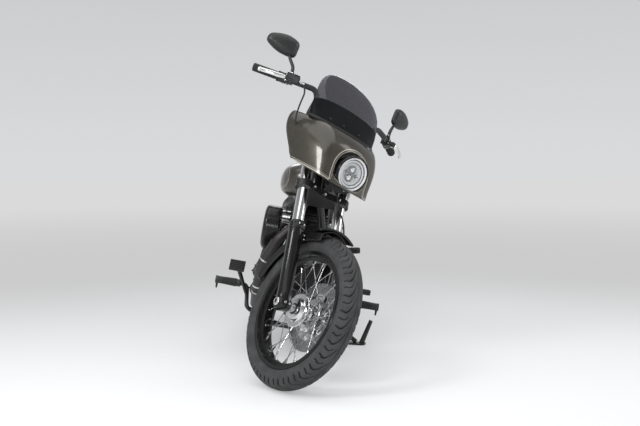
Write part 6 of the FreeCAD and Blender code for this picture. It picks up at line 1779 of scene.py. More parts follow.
@dataclass
class Mirrors:
    """Two tapered mirrors on bent stalks."""

    grip: Grip = field(default_factory=Grip)
    centre: Spot = (382.0, 520.0, 1321.0)
    width: float = 142.0
    height: float = 92.0
    depth: float = 34.0
    stalk_radius: float = 7.0
    yaw_deg: float = 24.0

    def _pose(self) -> Matrix:
        """Give the pose of a mirror's glass, with y to the rear."""
        return (Matrix.Translation(Vector(self.centre)) @ Matrix.Rotation(math.radians(self.yaw_deg), 4, "Z")
                @ tipped(-8))

    def _outline(self, share: float, depth: float) -> list[Vector]:
        """Draw the mirror's rounded outline at one depth."""
        wide = self.width / 2
        tall = self.height / 2
        corners = [(-0.95, -0.75), (0, -0.92), (0.9, -0.5), (1.0, 0.1), (0.75, 0.55), (-0.1, 1.0),
                   (-0.9, 0.8), (-1.05, 0)]
        route = [Vector((x * wide, 0, z * tall)) * share for x, z in corners]
        loop = []
        count = len(route)
        for index in range(count):
            a, b, c, d = (route[(index + shift) % count] for shift in (-1, 0, 1, 2))
            loop += [self._pose() @ (between(a, b, c, d, step / 8) + REARWARD * depth) for step in range(8)]
        return loop

    def build(self) -> None:
        """Mould the shells, set the glass and bend the stalks."""
        form = Form()
        deep = self.depth
        steps = [(0.90, 0.20), (0.925, 0.38), (0.95, 0.405), (0.985, 0.37), (1.0, 0.27), (1.0, 0.12),
                 (0.985, 0.0), (0.955, -0.04), (0.94, -0.12), (0.88, -0.24), (0.80, -0.37), (0.66, -0.48),
                 (0.50, -0.55), (0.30, -0.59), (0.08, -0.605)]
        form.skin([self._outline(share, deep * at) for share, at in steps], Coat.BLACK)
        form.lid(self._outline(0.08, deep * -0.605), Coat.BLACK)
        glass = [self._outline(share, deep * 0.25 - (1 - share) * 1.5) for share in (0.915, 0.6, 0.3, 0.05)]
        form.skin(glass, Coat.MIRROR, caps=False)
        form.lid(glass[-1], Coat.MIRROR)
        root = self.grip.at(166, 0, 0, 22)
        middle = Vector(self.centre)
        elbow = middle + Vector((-42, -20, -16))
        line = rounded([root, root + Vector((2, 8, 34)), root + Vector((28, 40, 72)), elbow], 46)
        form.tube(line, lambda share: self.stalk_radius * (1.15 - 0.2 * share), Coat.BLACK, 24)
        form.turned([(-3, 9), (0, 10.5), (4, 10.5), (6, 8.4), (15, 7.6), (16, 6)], Coat.BLACK, root, UP, 32)
        form.turned([(0, 8.6), (6, 8.6), (6.6, 7.4)], Coat.ZINC, root + UP * 6, UP, 6)
        form.ball(elbow, 10.5, Coat.BLACK, 1.0, (0, 0, 1), 28)
        form.tube(flowing([elbow, middle + Vector((-26, -17, -6)), middle + Vector((-16, -15, -2))], 6),
                  9.0, Coat.BLACK, 20)
        form.mirrored()
        form.piece("mirrors_moulded", Body.STEERING, "black_metal", ("mirrors",))


@dataclass
class BrakeHose:
    """The front brake's hose with its end fittings and clips."""

    radius: float = 3.6
    corners: tuple[Spot, ...] = (
        (-285, 406, 1200), (-264, 395, 1197), (-246, 386, 1168), (-238, 392, 1108), (-222, 402, 1056),
        (-204, 384, 1008), (-178, 336, 975), (-148, 274, 944), (-92, 252, 906), (-24, 264, 872),
        (50, 241, 844), (74, 213, 790), (110, 174, 738), (134, 143, 661), (151, 131, 583),
        (149, 121, 508), (144, 125, 440), (132, 136, 391), (107, 137, 368),
    )

    def build(self) -> None:
        """Run the hose and crimp its fittings on."""
        form = Form()
        line = rounded(self.corners, 400, 5)
        form.tube(line, self.radius, Coat.HOSE, 14)
        for end, inner in ((line[0], line[3]), (line[-1], line[-4])):
            run = (inner - end).normalized()
            form.turned([(0, 0), (0, 5.2), (3, 5.6), (14, 5.6), (15, 4.8), (24, 4.6), (25, 3.7)], Coat.ZINC,
                        end, run, 24)
        low = line[-1]
        form.turned([(-6, 7), (-5, 8), (5, 8), (6, 7)], Coat.ZINC, low, ACROSS, 28)
        form.bolt(low + ACROSS * 6, ACROSS, 7, 6, Coat.ZINC, socket=False)
        clip = Vector(self.corners[14])
        form.turned([(-5, 5.4), (5, 5.4), (5, 3.7), (-5, 3.7)], Coat.MATT, clip,
                    Vector(self.corners[15]) - Vector(self.corners[13]), 20, closed=True)
        form.piece("brake_hose_routed", Body.STEERING, "hose_rubber", ("brake_hose",), Shading.SMOOTH)


# Headlight, fairing and windshield

@dataclass
class Headlight:
    """A round headlight: bezel, glass, reflector, lamp units and shell."""

    centre: Spot = (0.0, 128.0, 941.0)
    radius: float = 80.0
    depth: float = 120.0

    def _disc(self, form: Form, profile: Profile, finish: Finish,
              steps: int = 96) -> None:
        """Turn a profile of radius and depth about the lamp's own axis."""
        form.turned([(back, radius) for radius, back in profile], finish, self.centre, REARWARD, steps)

    def shell(self) -> None:
        """Turn the bucket, its dark bezel and the bright rings round the glass; the rings' pale paint is a
        painted reflection in place of chrome.
        """
        form = Form()
        r = self.radius
        self._disc(form, [(r - 9, 9), (r - 8.6, 3), (r - 7, 0.6), (r - 3.5, 0), (r - 1, 1.4), (r, 4.2),
                          (r, 20), (r - 2, 23), (r - 6, 24), (r - 7, 40), (r - 9, 62), (r - 15, 82),
                          (r - 27, 102), (r - 44, 116), (0, self.depth)], Coat.GLOSS)
        self._disc(form, [(r - 15.5, 9), (r - 15, 4), (r - 13.5, 2.4), (r - 9, 2.4), (r - 7.4, 4),
                          (r - 7, 9)], Coat.LAMP_RING_PAINTED_SHINE)
        self._disc(form, [(r - 8, 52), (r + 16, 54)], Coat.MATT)
        form.bolt(Vector(self.centre) + Vector((0, 8, -r + 0.6)), -UP, 3.4, 2.4)
        low = STANCE.fork_point(0, -STANCE.fork_offset - 7.8, 561)
        high = Vector(self.centre) + Vector((0, self.depth * 0.72, -40))
        form.tube(rounded([low, (low + high) / 2 + Vector((0, -6, 0)), high], 30), 11, Coat.BLACK, 24)
        form.piece("headlight_shell", Body.STEERING, "headlight_glass", ("headlight",), Shading.SMOOTH)

    def optics(self) -> None:
        """Set the rings, the reflector and the divided lamp units behind the glass; the pale ring and the
        pale reflector bowl are painted reflection in place of chrome.
        """
        form = Form()
        r = self.radius
        centre = Vector(self.centre)
        self._disc(form, [(r - 15.5, 9), (r - 16, 12), (r - 20.5, 13)], Coat.MATT)
        # The inner ring is pale paint: painted reflection.
        self._disc(form, [(r - 20.5, 13), (r - 21, 10), (r - 22.5, 8.6), (r - 27, 8.6), (r - 28, 11)],
                   Coat.LAMP_RING_PAINTED_SHINE)
        self._disc(form, [(r - 28, 11), (r - 28.6, 15), (r - 32, 16)], Coat.MATT)
        # The reflector bowl is pale paint: painted reflection.
        self._disc(form, [(r - 32, 16), (r - 33, 13), (r - 36, 13.4), (r - 44, 24), (r - 56, 32), (0, 36)],
                   Coat.LAMP_PAINTED_REFLECTION)
        for shift in (19, -19):
            middle = centre + UP * shift + REARWARD * 21
            form.turned([(12, 17), (-3, 17), (-5, 15.6), (-5, 14.4), (-2, 13.6), (4, 12.8)], Coat.MATT,
                        middle, REARWARD, 48)
            dome = [(8 * (1 - math.cos(math.pi / 2 * step / 8)) - 6, 13 * math.sin(math.pi / 2 * step / 8))
                    for step in range(9)]
            form.turned(dome, Coat.REFLECTOR, middle, REARWARD, 40)
        for side in SIDES:
            middle = centre + ACROSS * side * 27 + REARWARD * 20
            form.turned([(8, 11), (-1, 11), (-3, 9.6), (-1, 7.6), (6, 0)], Coat.REFLECTOR, middle,
                        REARWARD, 36)
            form.block((16, 9, 5), Coat.MATT, Matrix.Translation(centre + Vector((side * 15, 20, 0))), 1.2)
        form.block((2 * (r - 36), 10, 3.2), Coat.MATT, Matrix.Translation(centre + REARWARD * 21), 0.8)
        form.piece("headlight_optics", Body.STEERING, "headlight_glass", (), Shading.SMOOTH)
        lens = Form()
        rim = r - 16
        dome = [(rim, 7.2)] + [(rim * (1 - step / 12), 7.2 - 5.4 * math.sin(math.pi / 2 * step / 12))
                               for step in range(1, 13)]
        back = [(max(radius - 0.5, 0), along + 2.2) for radius, along in reversed(dome)]
        self._disc(lens, dome + back, Coat.LENS)
        lens.piece("headlight_lens", Body.STEERING, "headlight_glass", (), Shading.SMOOTH)

    def build(self) -> None:
        """Build the whole headlight."""
        self.shell()
        self.optics()


def near_surface(nodes: Iterable[str | bpy.types.Object], body: Body) -> tuple[BVHTree, Matrix]:
    """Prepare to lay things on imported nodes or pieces.

    Args:
        nodes: The nodes' names, or the pieces.
        body: The body they ride on.

    Returns:
        A search tree in the upright frame, and the pose that was undone for it.
    """
    pose = STANCE.pose(body)
    undo = pose.inverted()
    part = bmesh.new()
    for node in nodes:
        copy = (frame["nodes"][node] if isinstance(node, str) else node).data.copy()
        copy.transform(undo)
        part.from_mesh(copy)
        bpy.data.meshes.remove(copy)
    tree = BVHTree.FromBMesh(part)
    part.free()
    return tree, pose


def ribbon(form: Form, tree: BVHTree, line: Sequence[Point], away: Vector, width: float,
           finish: Finish, lift: float = 0.45) -> None:
    """Lay a painted line on a surface.

    Args:
        form: The piece to add it to.
        tree: The surface.
        line: Points near the line, which are dropped onto the surface.
        away: The way from the surface to the points.
        width: The line's width.
        finish: Its finish.
        lift: How far it stands off the surface.
    """
    hits = []
    for point in line:
        place, normal, _, _ = tree.ray_cast(Vector(point) + away * 300, -away, 900)
        if place is not None:
            if normal.dot(away) < 0:
                normal = -normal
            hits.append((place, normal))
    rings = []
    for index, (place, normal) in enumerate(hits):
        ahead = hits[min(index + 1, len(hits) - 1)][0]
        behind = hits[max(index - 1, 0)][0]
        side = (ahead - behind).cross(normal)
        if side.length < 1e-6:
            continue
        side.normalize()
        rings.append([place + side * width / 2 + normal * lift, place - side * width / 2 + normal * lift])
    if len(rings) > 1:
        form.skin(rings, finish, around=False)


def eased_share(value: float, low: float, high: float) -> float:
    """Ease from 0 at one value to 1 at another, flat beyond them."""
    share = min(1.0, max(0.0, (value - low) / (high - low)))
    return share * share * (3 - 2 * share)


@dataclass
class Fairing:
    """The painted quarter fairing with its brackets and pinstripes."""

    body: Body = Body.STEERING
    half: float = 230.0
    lamp_height: float = 941.0
    stripe_radius: float = 100.0
    stripe_low: float = 872.0
    stripe_width: float = 4.2

    def _drawn(self, point: Vector) -> Vector:
        """Narrow the shell, draw its flanks further back and lift its chin."""
        narrow = 0.12 - 0.10 * eased_share(point.z, 880, 1010)
        flank = eased_share(abs(point.x), self.half * 0.55, self.half)
        back = 42 + 34 * eased_share(point.z, 900, 1050)
        low = min(point.z, 905)
        return Vector((point.x * (1 - narrow * eased_share(abs(point.x), 100, 190)), point.y + back * flank,
                       point.z + (905 - low) * 0.42))

    def build(self) -> None:
        """Ease the shell and its brackets, and stripe the shell."""
        shell = refine("fairing", self.body, Coat.OLIVE, 1.2, Shading.SMOOTH, self._drawn)
        refine("fairing_brackets", self.body, Coat.BLACK, 0.8, warp=self._drawn)
        tree, _ = near_surface([shell], self.body)
        form = Form()
        forward = Vector((0, -1, 0))
        for inset in (0.0, 8.0):
            reach = self.stripe_radius - inset
            low = self.stripe_low + inset * 0.8
            width = 1.5 if inset else self.stripe_width
            arc = [(reach * math.cos(math.radians(angle)), 0,
                    self.lamp_height + reach * math.sin(math.radians(angle))) for angle in range(0, 181, 6)]
            for side in SIDES:
                ribbon(form, tree, [(side * reach, 0, self.lamp_height + (low - self.lamp_height) * step / 12)
                                    for step in range(13)], forward, width, Coat.PINSTRIPE)
                ribbon(form, tree, [(side * (reach + (208 - reach) * step / 24), 0, low + 17 * step / 24)
                                    for step in range(25)], forward, width, Coat.PINSTRIPE)
            ribbon(form, tree, arc, forward, width, Coat.PINSTRIPE)
        form.piece("fairing_stripes", self.body, "olive_paint", (), Shading.SMOOTH)


@dataclass
class Windshield:
    """The short shield: a black band below, smoked clear plastic above."""

    body: Body = Body.STEERING
    wall: float = 3.4
    shape: tuple[tuple[float, float, float, float], ...] = (
        (1068, 176, 380, 240), (1097, 187, 374, 272), (1145, 192, 382, 316), (1195, 191, 396, 354),
        (1235, 185, 414, 384), (1264, 173, 432, 408), (1286, 156, 448, 428), (1306, 131, 464, 446),
        (1321, 98, 478, 462), (1330, 58, 486, 474), (1333, 8, 490, 480))
    band_height: float = 1200.0
    band_drop: float = 34.0
    columns: int = 48

    def _section(self, height: float) -> Spot:
        """Give the shield's half width, and where its side edges and its middle lie."""
        for low, high in zip(self.shape, self.shape[1:]):
            if height <= high[0] or high is self.shape[-1]:
                share = min(1.0, max(0.0, (height - low[0]) / (high[0] - low[0])))
                return tuple(a + (b - a) * share for a, b in zip(low[1:], high[1:]))
        return self.shape[-1][1:]

    def _point(self, across: float, height: float, inward: float = 0.0) -> Vector:
        """Find a point of the sheet."""
        half, side, front = self._section(height)
        turn = across * math.pi / 2
        bulge = 1 - math.cos(turn)
        return Vector(((half - inward * abs(across)) * math.sin(turn), front + (side - front) * bulge
                       + inward * math.cos(turn), height))

    def build(self) -> None:
        """Form the sheet with its band and its rounded rim."""
        form = Form()
        low, high = self.shape[0][0], self.shape[-1][0]
        levels = [(low + (self.band_height - low) * step / 14, step / 14) for step in range(15)]
        levels += [(self.band_height + (high - self.band_height) * step / 30, 1 - step / 30)
                   for step in range(1, 31)]
        rings = []
        for height, share in levels:
            spots = [index / self.columns * 2 - 1 for index in range(self.columns + 1)]
            drops = [height - self.band_drop * share * spot * spot for spot in spots]
            outer = [self._point(spot, drop) for spot, drop in zip(spots, drops)]
            inner = [self._point(spot, drop, self.wall) for spot, drop in zip(spots, drops)]
            rings.append(outer + list(reversed(inner)))
        form.skin(rings, Coat.SMOKE, caps=True, rule=lambda row, at: Coat.BAND if row < 14 else Coat.SMOKE)
        form.piece("windshield_banded", self.body, "smoke_shield", ("windshield",), Shading.CREASED)
        trim = Form()
        seam = [self._point(index / 30 - 1, self.shape[1][0], -1.0) for index in range(61)]
        trim.tube(seam, 4.2, Coat.MATT, 12, True, 1.4, UP)
        for spot in (-0.42, -0.16, 0.16, 0.42):
            place = self._point(spot, self.shape[1][0] + 20)
            way = Vector((math.sin(spot * math.pi / 2), -1.2, -0.4)).normalized()
            trim.turned([(-2, 7), (0.6, 7), (1.4, 6), (1.4, 0)], Coat.MATT, place, way, 28)
        trim.piece("windshield_trim", self.body, "smoke_shield")


# Engine and exhaust

@dataclass
class Engine:
    """The finned V-twin: cases, cylinders, primary, intake and exhaust."""

    crank: Spot = (0.0, 715.0, 350.0)
    angle_deg: float = 22.5
    fin_low: float = 190.0
    fin_high: float = 306.0
    head_height: float = 58.0
    rocker_height: float = 36.0
    case_face: float = 95.0
    clutch_y: float = 1000.0
    clutch_z: float = 335.0
    primary_face: float = 190.0
    pipe_x: float = -212.0
    intake_z: float = 646.0

    def _pose(self, turn: int) -> Matrix:
        """Give the pose of a cylinder, with z along it."""
        return (Matrix.Translation(Vector(self.crank))
                @ tipped(turn * self.angle_deg))

    @staticmethod
    def _rounded_box(half_x: float, half_y: float, corner: float,
                     steps: int = 6) -> list[tuple[float, float]]:
        """Outline a rectangle with round corners."""
        outline = []
        for at_x, at_y, start in ((1, 1, 0), (-1, 1, 90), (-1, -1, 180), (1, -1, 270)):
            for index in range(steps + 1):
                angle = math.radians(start + 90 * index / steps)
                outline.append((at_x * (half_x - corner) + corner * math.cos(angle),
                                at_y * (half_y - corner) + corner * math.sin(angle)))
        return outline

    def _slab(self, form: Form, pose: Matrix, outline: Profile, low: float, high: float,
              ease: float, finish: Finish) -> None:
        """Add a slab with eased rims, standing across a cylinder."""
        rings = []
        for height, inset in ((low, ease), (low + ease, 0.0), (high - ease, 0.0), (high, ease)):
            ring = []
            for x, y in outline:
                reach = math.hypot(x, y)
                ring.append(pose @ Vector((x * (1 - inset / reach), y * (1 - inset / reach), height)))
            rings.append(ring)
        form.skin(rings, finish, caps=True)

    def cylinders(self) -> None:
        """Cast the barrels and heads with thin fins, and bolt the rocker boxes down."""
        form = Form()
        head_high = self.fin_high + self.head_height
        for turn in (1, -1):
            pose = self._pose(turn)
            origin = pose @ Vector((0, 0, 0))
            up = (pose.to_3x3() @ UP).normalized()
            form.turned([(128, 51), (self.fin_high, 51)], Coat.ENGINE, origin, up, 64)
            form.turned([(150, 60), (152, 62), (166, 62), (168, 60), (168, 51)], Coat.ENGINE, origin, up, 64)
            pitch = 8.4
            count = int((self.fin_high - self.fin_low + 4) / pitch)
            for index in range(count):
                low = self.fin_low - 10 + index * pitch
                reach = 71.5 - 3.0 * max(0, 3 - index)
                form.turned([(low, 50), (low + 0.4, reach - 1), (low + 1.1, reach), (low + 1.9, reach),
                             (low + 2.6, reach - 1), (low + 3.2, 50)], Coat.ENGINE, origin, up, 72)
            head = self._rounded_box(72, 52, 14)
            self._slab(form, pose, head, self.fin_high - 4, head_high, 1.5, Coat.ENGINE)
            fin = self._rounded_box(82, 66, 24)
            for index in range(6):
                low = self.fin_high - 1 + index * 8.8
                self._slab(form, pose, fin, low, low + 3.0, 1.0, Coat.ENGINE)
            for half_x, half_y, corner, low, high, ease in (
                    (88, 62, 16, -1, 13, 1.6), (85, 59, 16, 13.6, 22, 1.2),
                    (82, 56, 18, 22.4, self.rocker_height - 1, 4.5)):
                self._slab(form, pose, self._rounded_box(half_x, half_y, corner), head_high + low,
                           head_high + high, ease, Coat.GLOSS)
            for x in (-73, 73):
                for y in (-46, 0, 46):
                    form.bolt(pose @ Vector((x, y, head_high + 29)), up, 4.6, 4)
            for shift in (-24, 24):
                tube = pose @ Vector((-84, shift, 132))
                form.turned([(0, 12), (10, 12), (12, 9), (40, 9), (42, 8), (176, 8), (178, 11), (196, 11),
                             (198, 0)], Coat.GLOSS, tube, up, 28)
            plug = pose @ Vector((70, 10 * turn, self.fin_high + 26))
            out = (pose.to_3x3() @ Vector((1, 0, 0.25))).normalized()
            form.turned([(0, 11), (9, 11), (10, 8), (34, 7), (36, 5), (40, 4.5)], Coat.MATT, plug, out, 20)
        form.piece("cylinders_cast", Body.CHASSIS, "engine_black", ("cylinders",))

    def cases(self) -> None:
        """Ease the cases' edges, and add covers, plugs and bolts."""
        refine("engine_cases", Body.CHASSIS, Coat.ENGINE, 2.5)
        refine("primary_cover", Body.CHASSIS, Coat.GLOSS, 1.2, Shading.SMOOTH)
        form = Form()
        centre = Vector(self.crank) + Vector((-self.case_face - 30, 4, 10))
        left = Vector((-1, 0, 0))
        form.turned([(0, 96), (2.5, 96.5), (4, 95), (4, 88), (6, 86), (7, 84)], Coat.GLOSS, centre, left, 72)
        form.bolt_ring(centre + left * 3.6, left, 91, 8, 4.2, 3.4)
        nose = Vector(self.crank) + Vector((-self.case_face - 42, 4, 10))
        form.turned([(0, 62), (1.5, 61), (3, 56), (3.4, 40), (2.2, 38), (2.2, 0)], Coat.GLOSS, nose, left, 64)
        form.bolt_ring(nose + left * 3, left, 48, 5, 4, 3, shift=0.25)
        form.piece("cam_cover_fittings", Body.CHASSIS, "engine_black")
        side = Form()
        derby = Vector((self.primary_face + 3, self.clutch_y, self.clutch_z))
        side.turned([(0, 69), (1.6, 68.4), (2.6, 66), (2.6, 50), (1.4, 48), (1.4, 0)], Coat.GLOSS, derby,
                    ACROSS, 72)
        side.bolt_ring(derby + ACROSS * 2.4, ACROSS, 58, 5, 4.4, 3, shift=1.25)
        _, crank_y, crank_z = self.crank
        rim = [(crank_y + 92 * math.cos(math.radians(angle)), crank_z + 92 * math.sin(math.radians(angle)))
               for angle in (100, 140, 180, 220, 260)]
        rim += [(crank_y + share * 285, crank_z - 91 - share * 4) for share in (0.35, 0.65)]
        rim += [(crank_y + share * 285, crank_z + 92 - share * 24) for share in (0.35, 0.65)]
        for y, z in rim:
            side.bolt(Vector((self.primary_face - 8.6, y, z)), ACROSS, 4.4, 3.4)
        cap = Vector((self.primary_face - 8.4, self.crank[1] + 8, self.crank[2]))
        side.turned([(0, 34), (1.8, 33.4), (2.6, 31), (2.6, 12), (1.2, 11), (1.2, 0)], Coat.GLOSS, cap,
                    ACROSS, 56)
        side.piece("primary_fittings", Body.CHASSIS, "engine_black")
        can = Form()
        base = Vector((0, self.crank[1] - 132 - 78, self.crank[2] - 66))
        flutes = 14
        rings = []
        for along_y, radius in ((0, 6), (0, 28), (2, 34), (8, 37.5), (24, 38.2), (78, 38.2), (80, 40),
                                (84, 40)):
            ring = []
            for angle in around(flutes * 6):
                dent = 1.6 * max(0.0, math.cos(flutes * angle)) if 2 <= along_y <= 24 else 0.0
                reach = radius - dent
                ring.append(base + Vector((reach * math.cos(angle), along_y, reach * math.sin(angle))))
            rings.append(ring)
        can.skin(rings, Coat.GLOSS)
        can.lid(rings[0], Coat.GLOSS)
        can.piece("oil_filter_can", Body.CHASSIS, "engine_black")

    def intake(self) -> None:
        """Turn the round air cleaner with its ribbed drum, cover and bolts."""
        form = Form()
        centre = Vector((-140, self.crank[1] - 30, 588))
        left = Vector((-1, 0, 0))
        profile = [(-1, 0), (-1, 100), (1, 105), (4, 107), (9, 107)]
        profile += ribs(11.0, 50, 6.2, [(0, 104.6), (2.4, 104.6), (3, 107), (5.4, 107)])
        profile += [(56, 107), (61, 107), (66, 105), (72, 98), (76, 88), (76.6, 60), (75.2, 47), (76.6, 45),
                    (77, 40), (75, 37), (75, 0)]
        form.turned(profile, Coat.GLOSS, centre, left, 112)
        form.bolt_ring(centre + left * 75, left, 24, 3, 5, 3.6, Coat.CHROME, 0.75)
        y = self.crank[1]
        z = self.intake_z
        form.rod((-128, y, z), (-16, y, z), 21, Coat.MATT, 36)
        form.turned([(0, 27), (2, 30), (40, 30), (44, 27)], Coat.ALLOY, (-138, y, z), ACROSS, 44)
        form.rod((0, y - 48, z), (0, y + 48, z), 21, Coat.MATT, 36)
        for shift in (-40, 40):
            form.turned([(-5, 21), (-5, 24), (5, 24), (5, 21)], Coat.ZINC, (0, y + shift, z), REARWARD, 36)
        form.plate([(-122, y - 16, 676), (-122, y + 60, 690), (-122, y + 60, 702), (-122, y - 16, 700)],
                   ACROSS * 6, Coat.MATT, 1)
        form.piece("air_cleaner_spun", Body.CHASSIS, "black_metal", ("air_cleaner",), Shading.CREASED)

    def exhaust(self) -> None:
        """Ease the pipes and mufflers, and add clamps, shields and end rings."""
        refine("exhaust_headers", Body.CHASSIS, Coat.EXHAUST, 0.6, Shading.SMOOTH)
        refine("mufflers", Body.CHASSIS, Coat.EXHAUST, 1.6, Shading.SMOOTH)
        form = Form()
        for z, end in ((206, 1590), (300, 1490)):
            for at, radius in ((1076, 25.5), (1148, 41.5), (end - 120, 41.5)):
                form.turned([(-9, radius - 1.4), (-8, radius), (-3, radius), (-2, radius + 1),
                             (2, radius + 1), (3, radius), (8, radius), (9, radius - 1.4)], Coat.BLACK,
                            (self.pipe_x, at, z), REARWARD, 56)
                screw_x = self.pipe_x - radius - 4
                form.rod((screw_x, at - 7, z), (screw_x, at + 7, z), 4, Coat.BLACK, 16)
            form.turned([(-1, 40.4), (3, 40), (4.5, 37), (3, 33), (-6, 31.6), (-36, 31.4)], Coat.BLACK,
                        (self.pipe_x, end - 3, z), REARWARD, 64)
        shield = [(-134, 478, 548), (-180, 503, 440), (-190, 560, 304), (-190, 676, 212)]
        line = rounded(shield, 70, 4)
        rings = []
        for index, point in enumerate(line):
            heading = (line[min(index + 1, len(line) - 1)] - line[max(index - 1, 0)]).normalized()
            out = Vector((-1, -0.55, 0.1))
            out = (out - heading * out.dot(heading)).normalized()
            turn_way = heading.cross(out)
            ring = []
            for step in range(13):
                angle = math.radians(-78 + 156 * step / 12)
                ring.append(point + (out * math.cos(angle) + turn_way * math.sin(angle)) * 25.5)
            rings.append(ring)
        form.skin(rings, Coat.EXHAUST, around=False)
        for share in (0.12, 0.5, 0.9):
            place = line[int(share * (len(line) - 1))]
            ahead = line[min(int(share * (len(line) - 1)) + 1, len(line) - 1)]
            form.turned([(-4, 26), (4, 26)], Coat.ZINC, place, ahead - place if ahead != place else UP, 40)
        form.piece("exhaust_fittings", Body.CHASSIS, "exhaust_black", (), Shading.SMOOTH)

    def build(self) -> None:
        """Build the whole engine."""
        self.cylinders()
        self.cases()
        self.intake()
        self.exhaust()


# Tank, seat and rear end

@dataclass
class Tank:
    """The painted tank with pinstripes, the gauge, the filler cap and the console."""

    body: Body = Body.CHASSIS
    crown: float = 934.0
    gauge_y: float = 590.0
    cap_y: float = 720.0
    cap_radius: float = 30.0

    @staticmethod
    def _swelled(point: Vector) -> Vector:
        """Swell the tank's flanks in front of the seat."""
        grow = 0.13 * eased_share(-point.y, -820, -680) * eased_share(-point.z, -935, -880)
        return Vector((point.x * (1 + grow), point.y, point.z))

    def shell(self) -> None:
        """Ease the tank and stripe its sides."""
        shell = refine("fuel_tank", self.body, Coat.OLIVE, 1.4, Shading.SMOOTH, self._swelled)
        tree, _ = near_surface([shell], self.body)
        form = Form()
        for side in SIDES:
            away = ACROSS * side
            for inset, width in ((0.0, 2.4), (7.0, 1.2)):
                route = [(0, 470 + inset, 836), (0, 486 + inset, 872 - inset), (0, 540, 896 - inset),
                         (0, 640, 900 - inset), (0, 760, 880 - inset), (0, 850, 846 - inset * 0.6),
                         (0, 888 - inset, 806), (0, 850, 786 + inset * 0.6), (0, 760, 780 + inset),
                         (0, 640, 778 + inset), (0, 540, 788 + inset), (0, 488 + inset, 806 + inset * 0.5),
                         (0, 470 + inset, 836)]
                ribbon(form, tree, flowing(route, 10), away, width, Coat.PINSTRIPE)
        form.piece("tank_stripes", self.body, "olive_paint", (), Shading.SMOOTH)

    def console(self) -> None:
        """Fit the gauge with its dial and needle, the cap and the trim strip."""
        form = Form()
        tilt = Vector((0, 0.28, 1)).normalized()
        base = Vector((0, self.gauge_y, self.crown - 24))
        form.turned([(18, 46), (38, 47), (41, 50), (46, 50.4), (49.4, 48.6), (50, 46), (48.6, 43.4),
                     (46.5, 43)], Coat.BLACK, base, tilt, 72)
        form.turned([(44.5, 43), (44.5, 0)], Coat.MATT, base, tilt, 72)
        form.turned([(47.6, 43.2), (48.6, 30), (49.0, 0)], Coat.LENS, base, tilt, 72)
        first, second = unit_pair(tilt)
        for index in range(25):
            angle = math.radians(-225 + 270 * index / 24)
            out = first * math.cos(angle) + second * math.sin(angle)
            long = 7 if index % 4 == 0 else 4
            middle = base + tilt * 45.1
            thick = 0.7 if index % 4 else 1.1
            form.rod(middle + out * (40 - long), middle + out * 40, thick, Coat.PLATE, 6, 0.2)
        needle = base + tilt * 46
        out = first * math.cos(math.radians(-225)) + second * math.sin(math.radians(-225))
        form.rod(needle - out * 6, needle + out * 33, 1.0, Coat.RED_LENS, 8, 0.3)
        form.turned([(45, 5), (47.4, 4.6), (47.8, 0)], Coat.BLACK, base, tilt, 28)
        cap = Vector((0, self.cap_y, self.crown - 10))
        r = self.cap_radius
        rings = []
        for height, radius in ((0, r - 1), (4, r), (15, r), (17.4, r - 1.6), (18, r - 5), (16.6, r - 8),
                               (16.6, r * 0.4), (18, r * 0.36), (18, 1)):
            ring = []
            for angle in around(96):
                dent = 1.1 * max(0.0, math.cos(24 * angle)) if 4 <= height <= 15 else 0.0
                reach = radius - dent
                ring.append(cap + Vector((reach * math.cos(angle), reach * math.sin(angle), height)))
            rings.append(ring)
        form.skin(rings, Coat.CHROME)
        right = [(0.5, 0), (0.86, 0.6), (1, 3), (1, 16)]
        section = [(-x, drop) for x, drop in reversed(right)] + [(0, -0.4)] + right
        strip = []
        for index in range(13):
            share = index / 12
            y = 566 + 190 * share
            half = 24 * (1 - 0.25 * share)
            top = self.crown - 3.5 + 6.0 * math.sin(math.pi * min(1, 0.15 + share * 0.8))
            strip.append([Vector((x * half, y, top - drop)) for x, drop in section])
        form.skin(strip, Coat.BLACK, caps=True)
        form.piece("tank_console_fitted", self.body, "black_metal", ("tank_console",))

    def build(self) -> None:
        """Build the tank and its top."""
        self.shell()
        self.console()


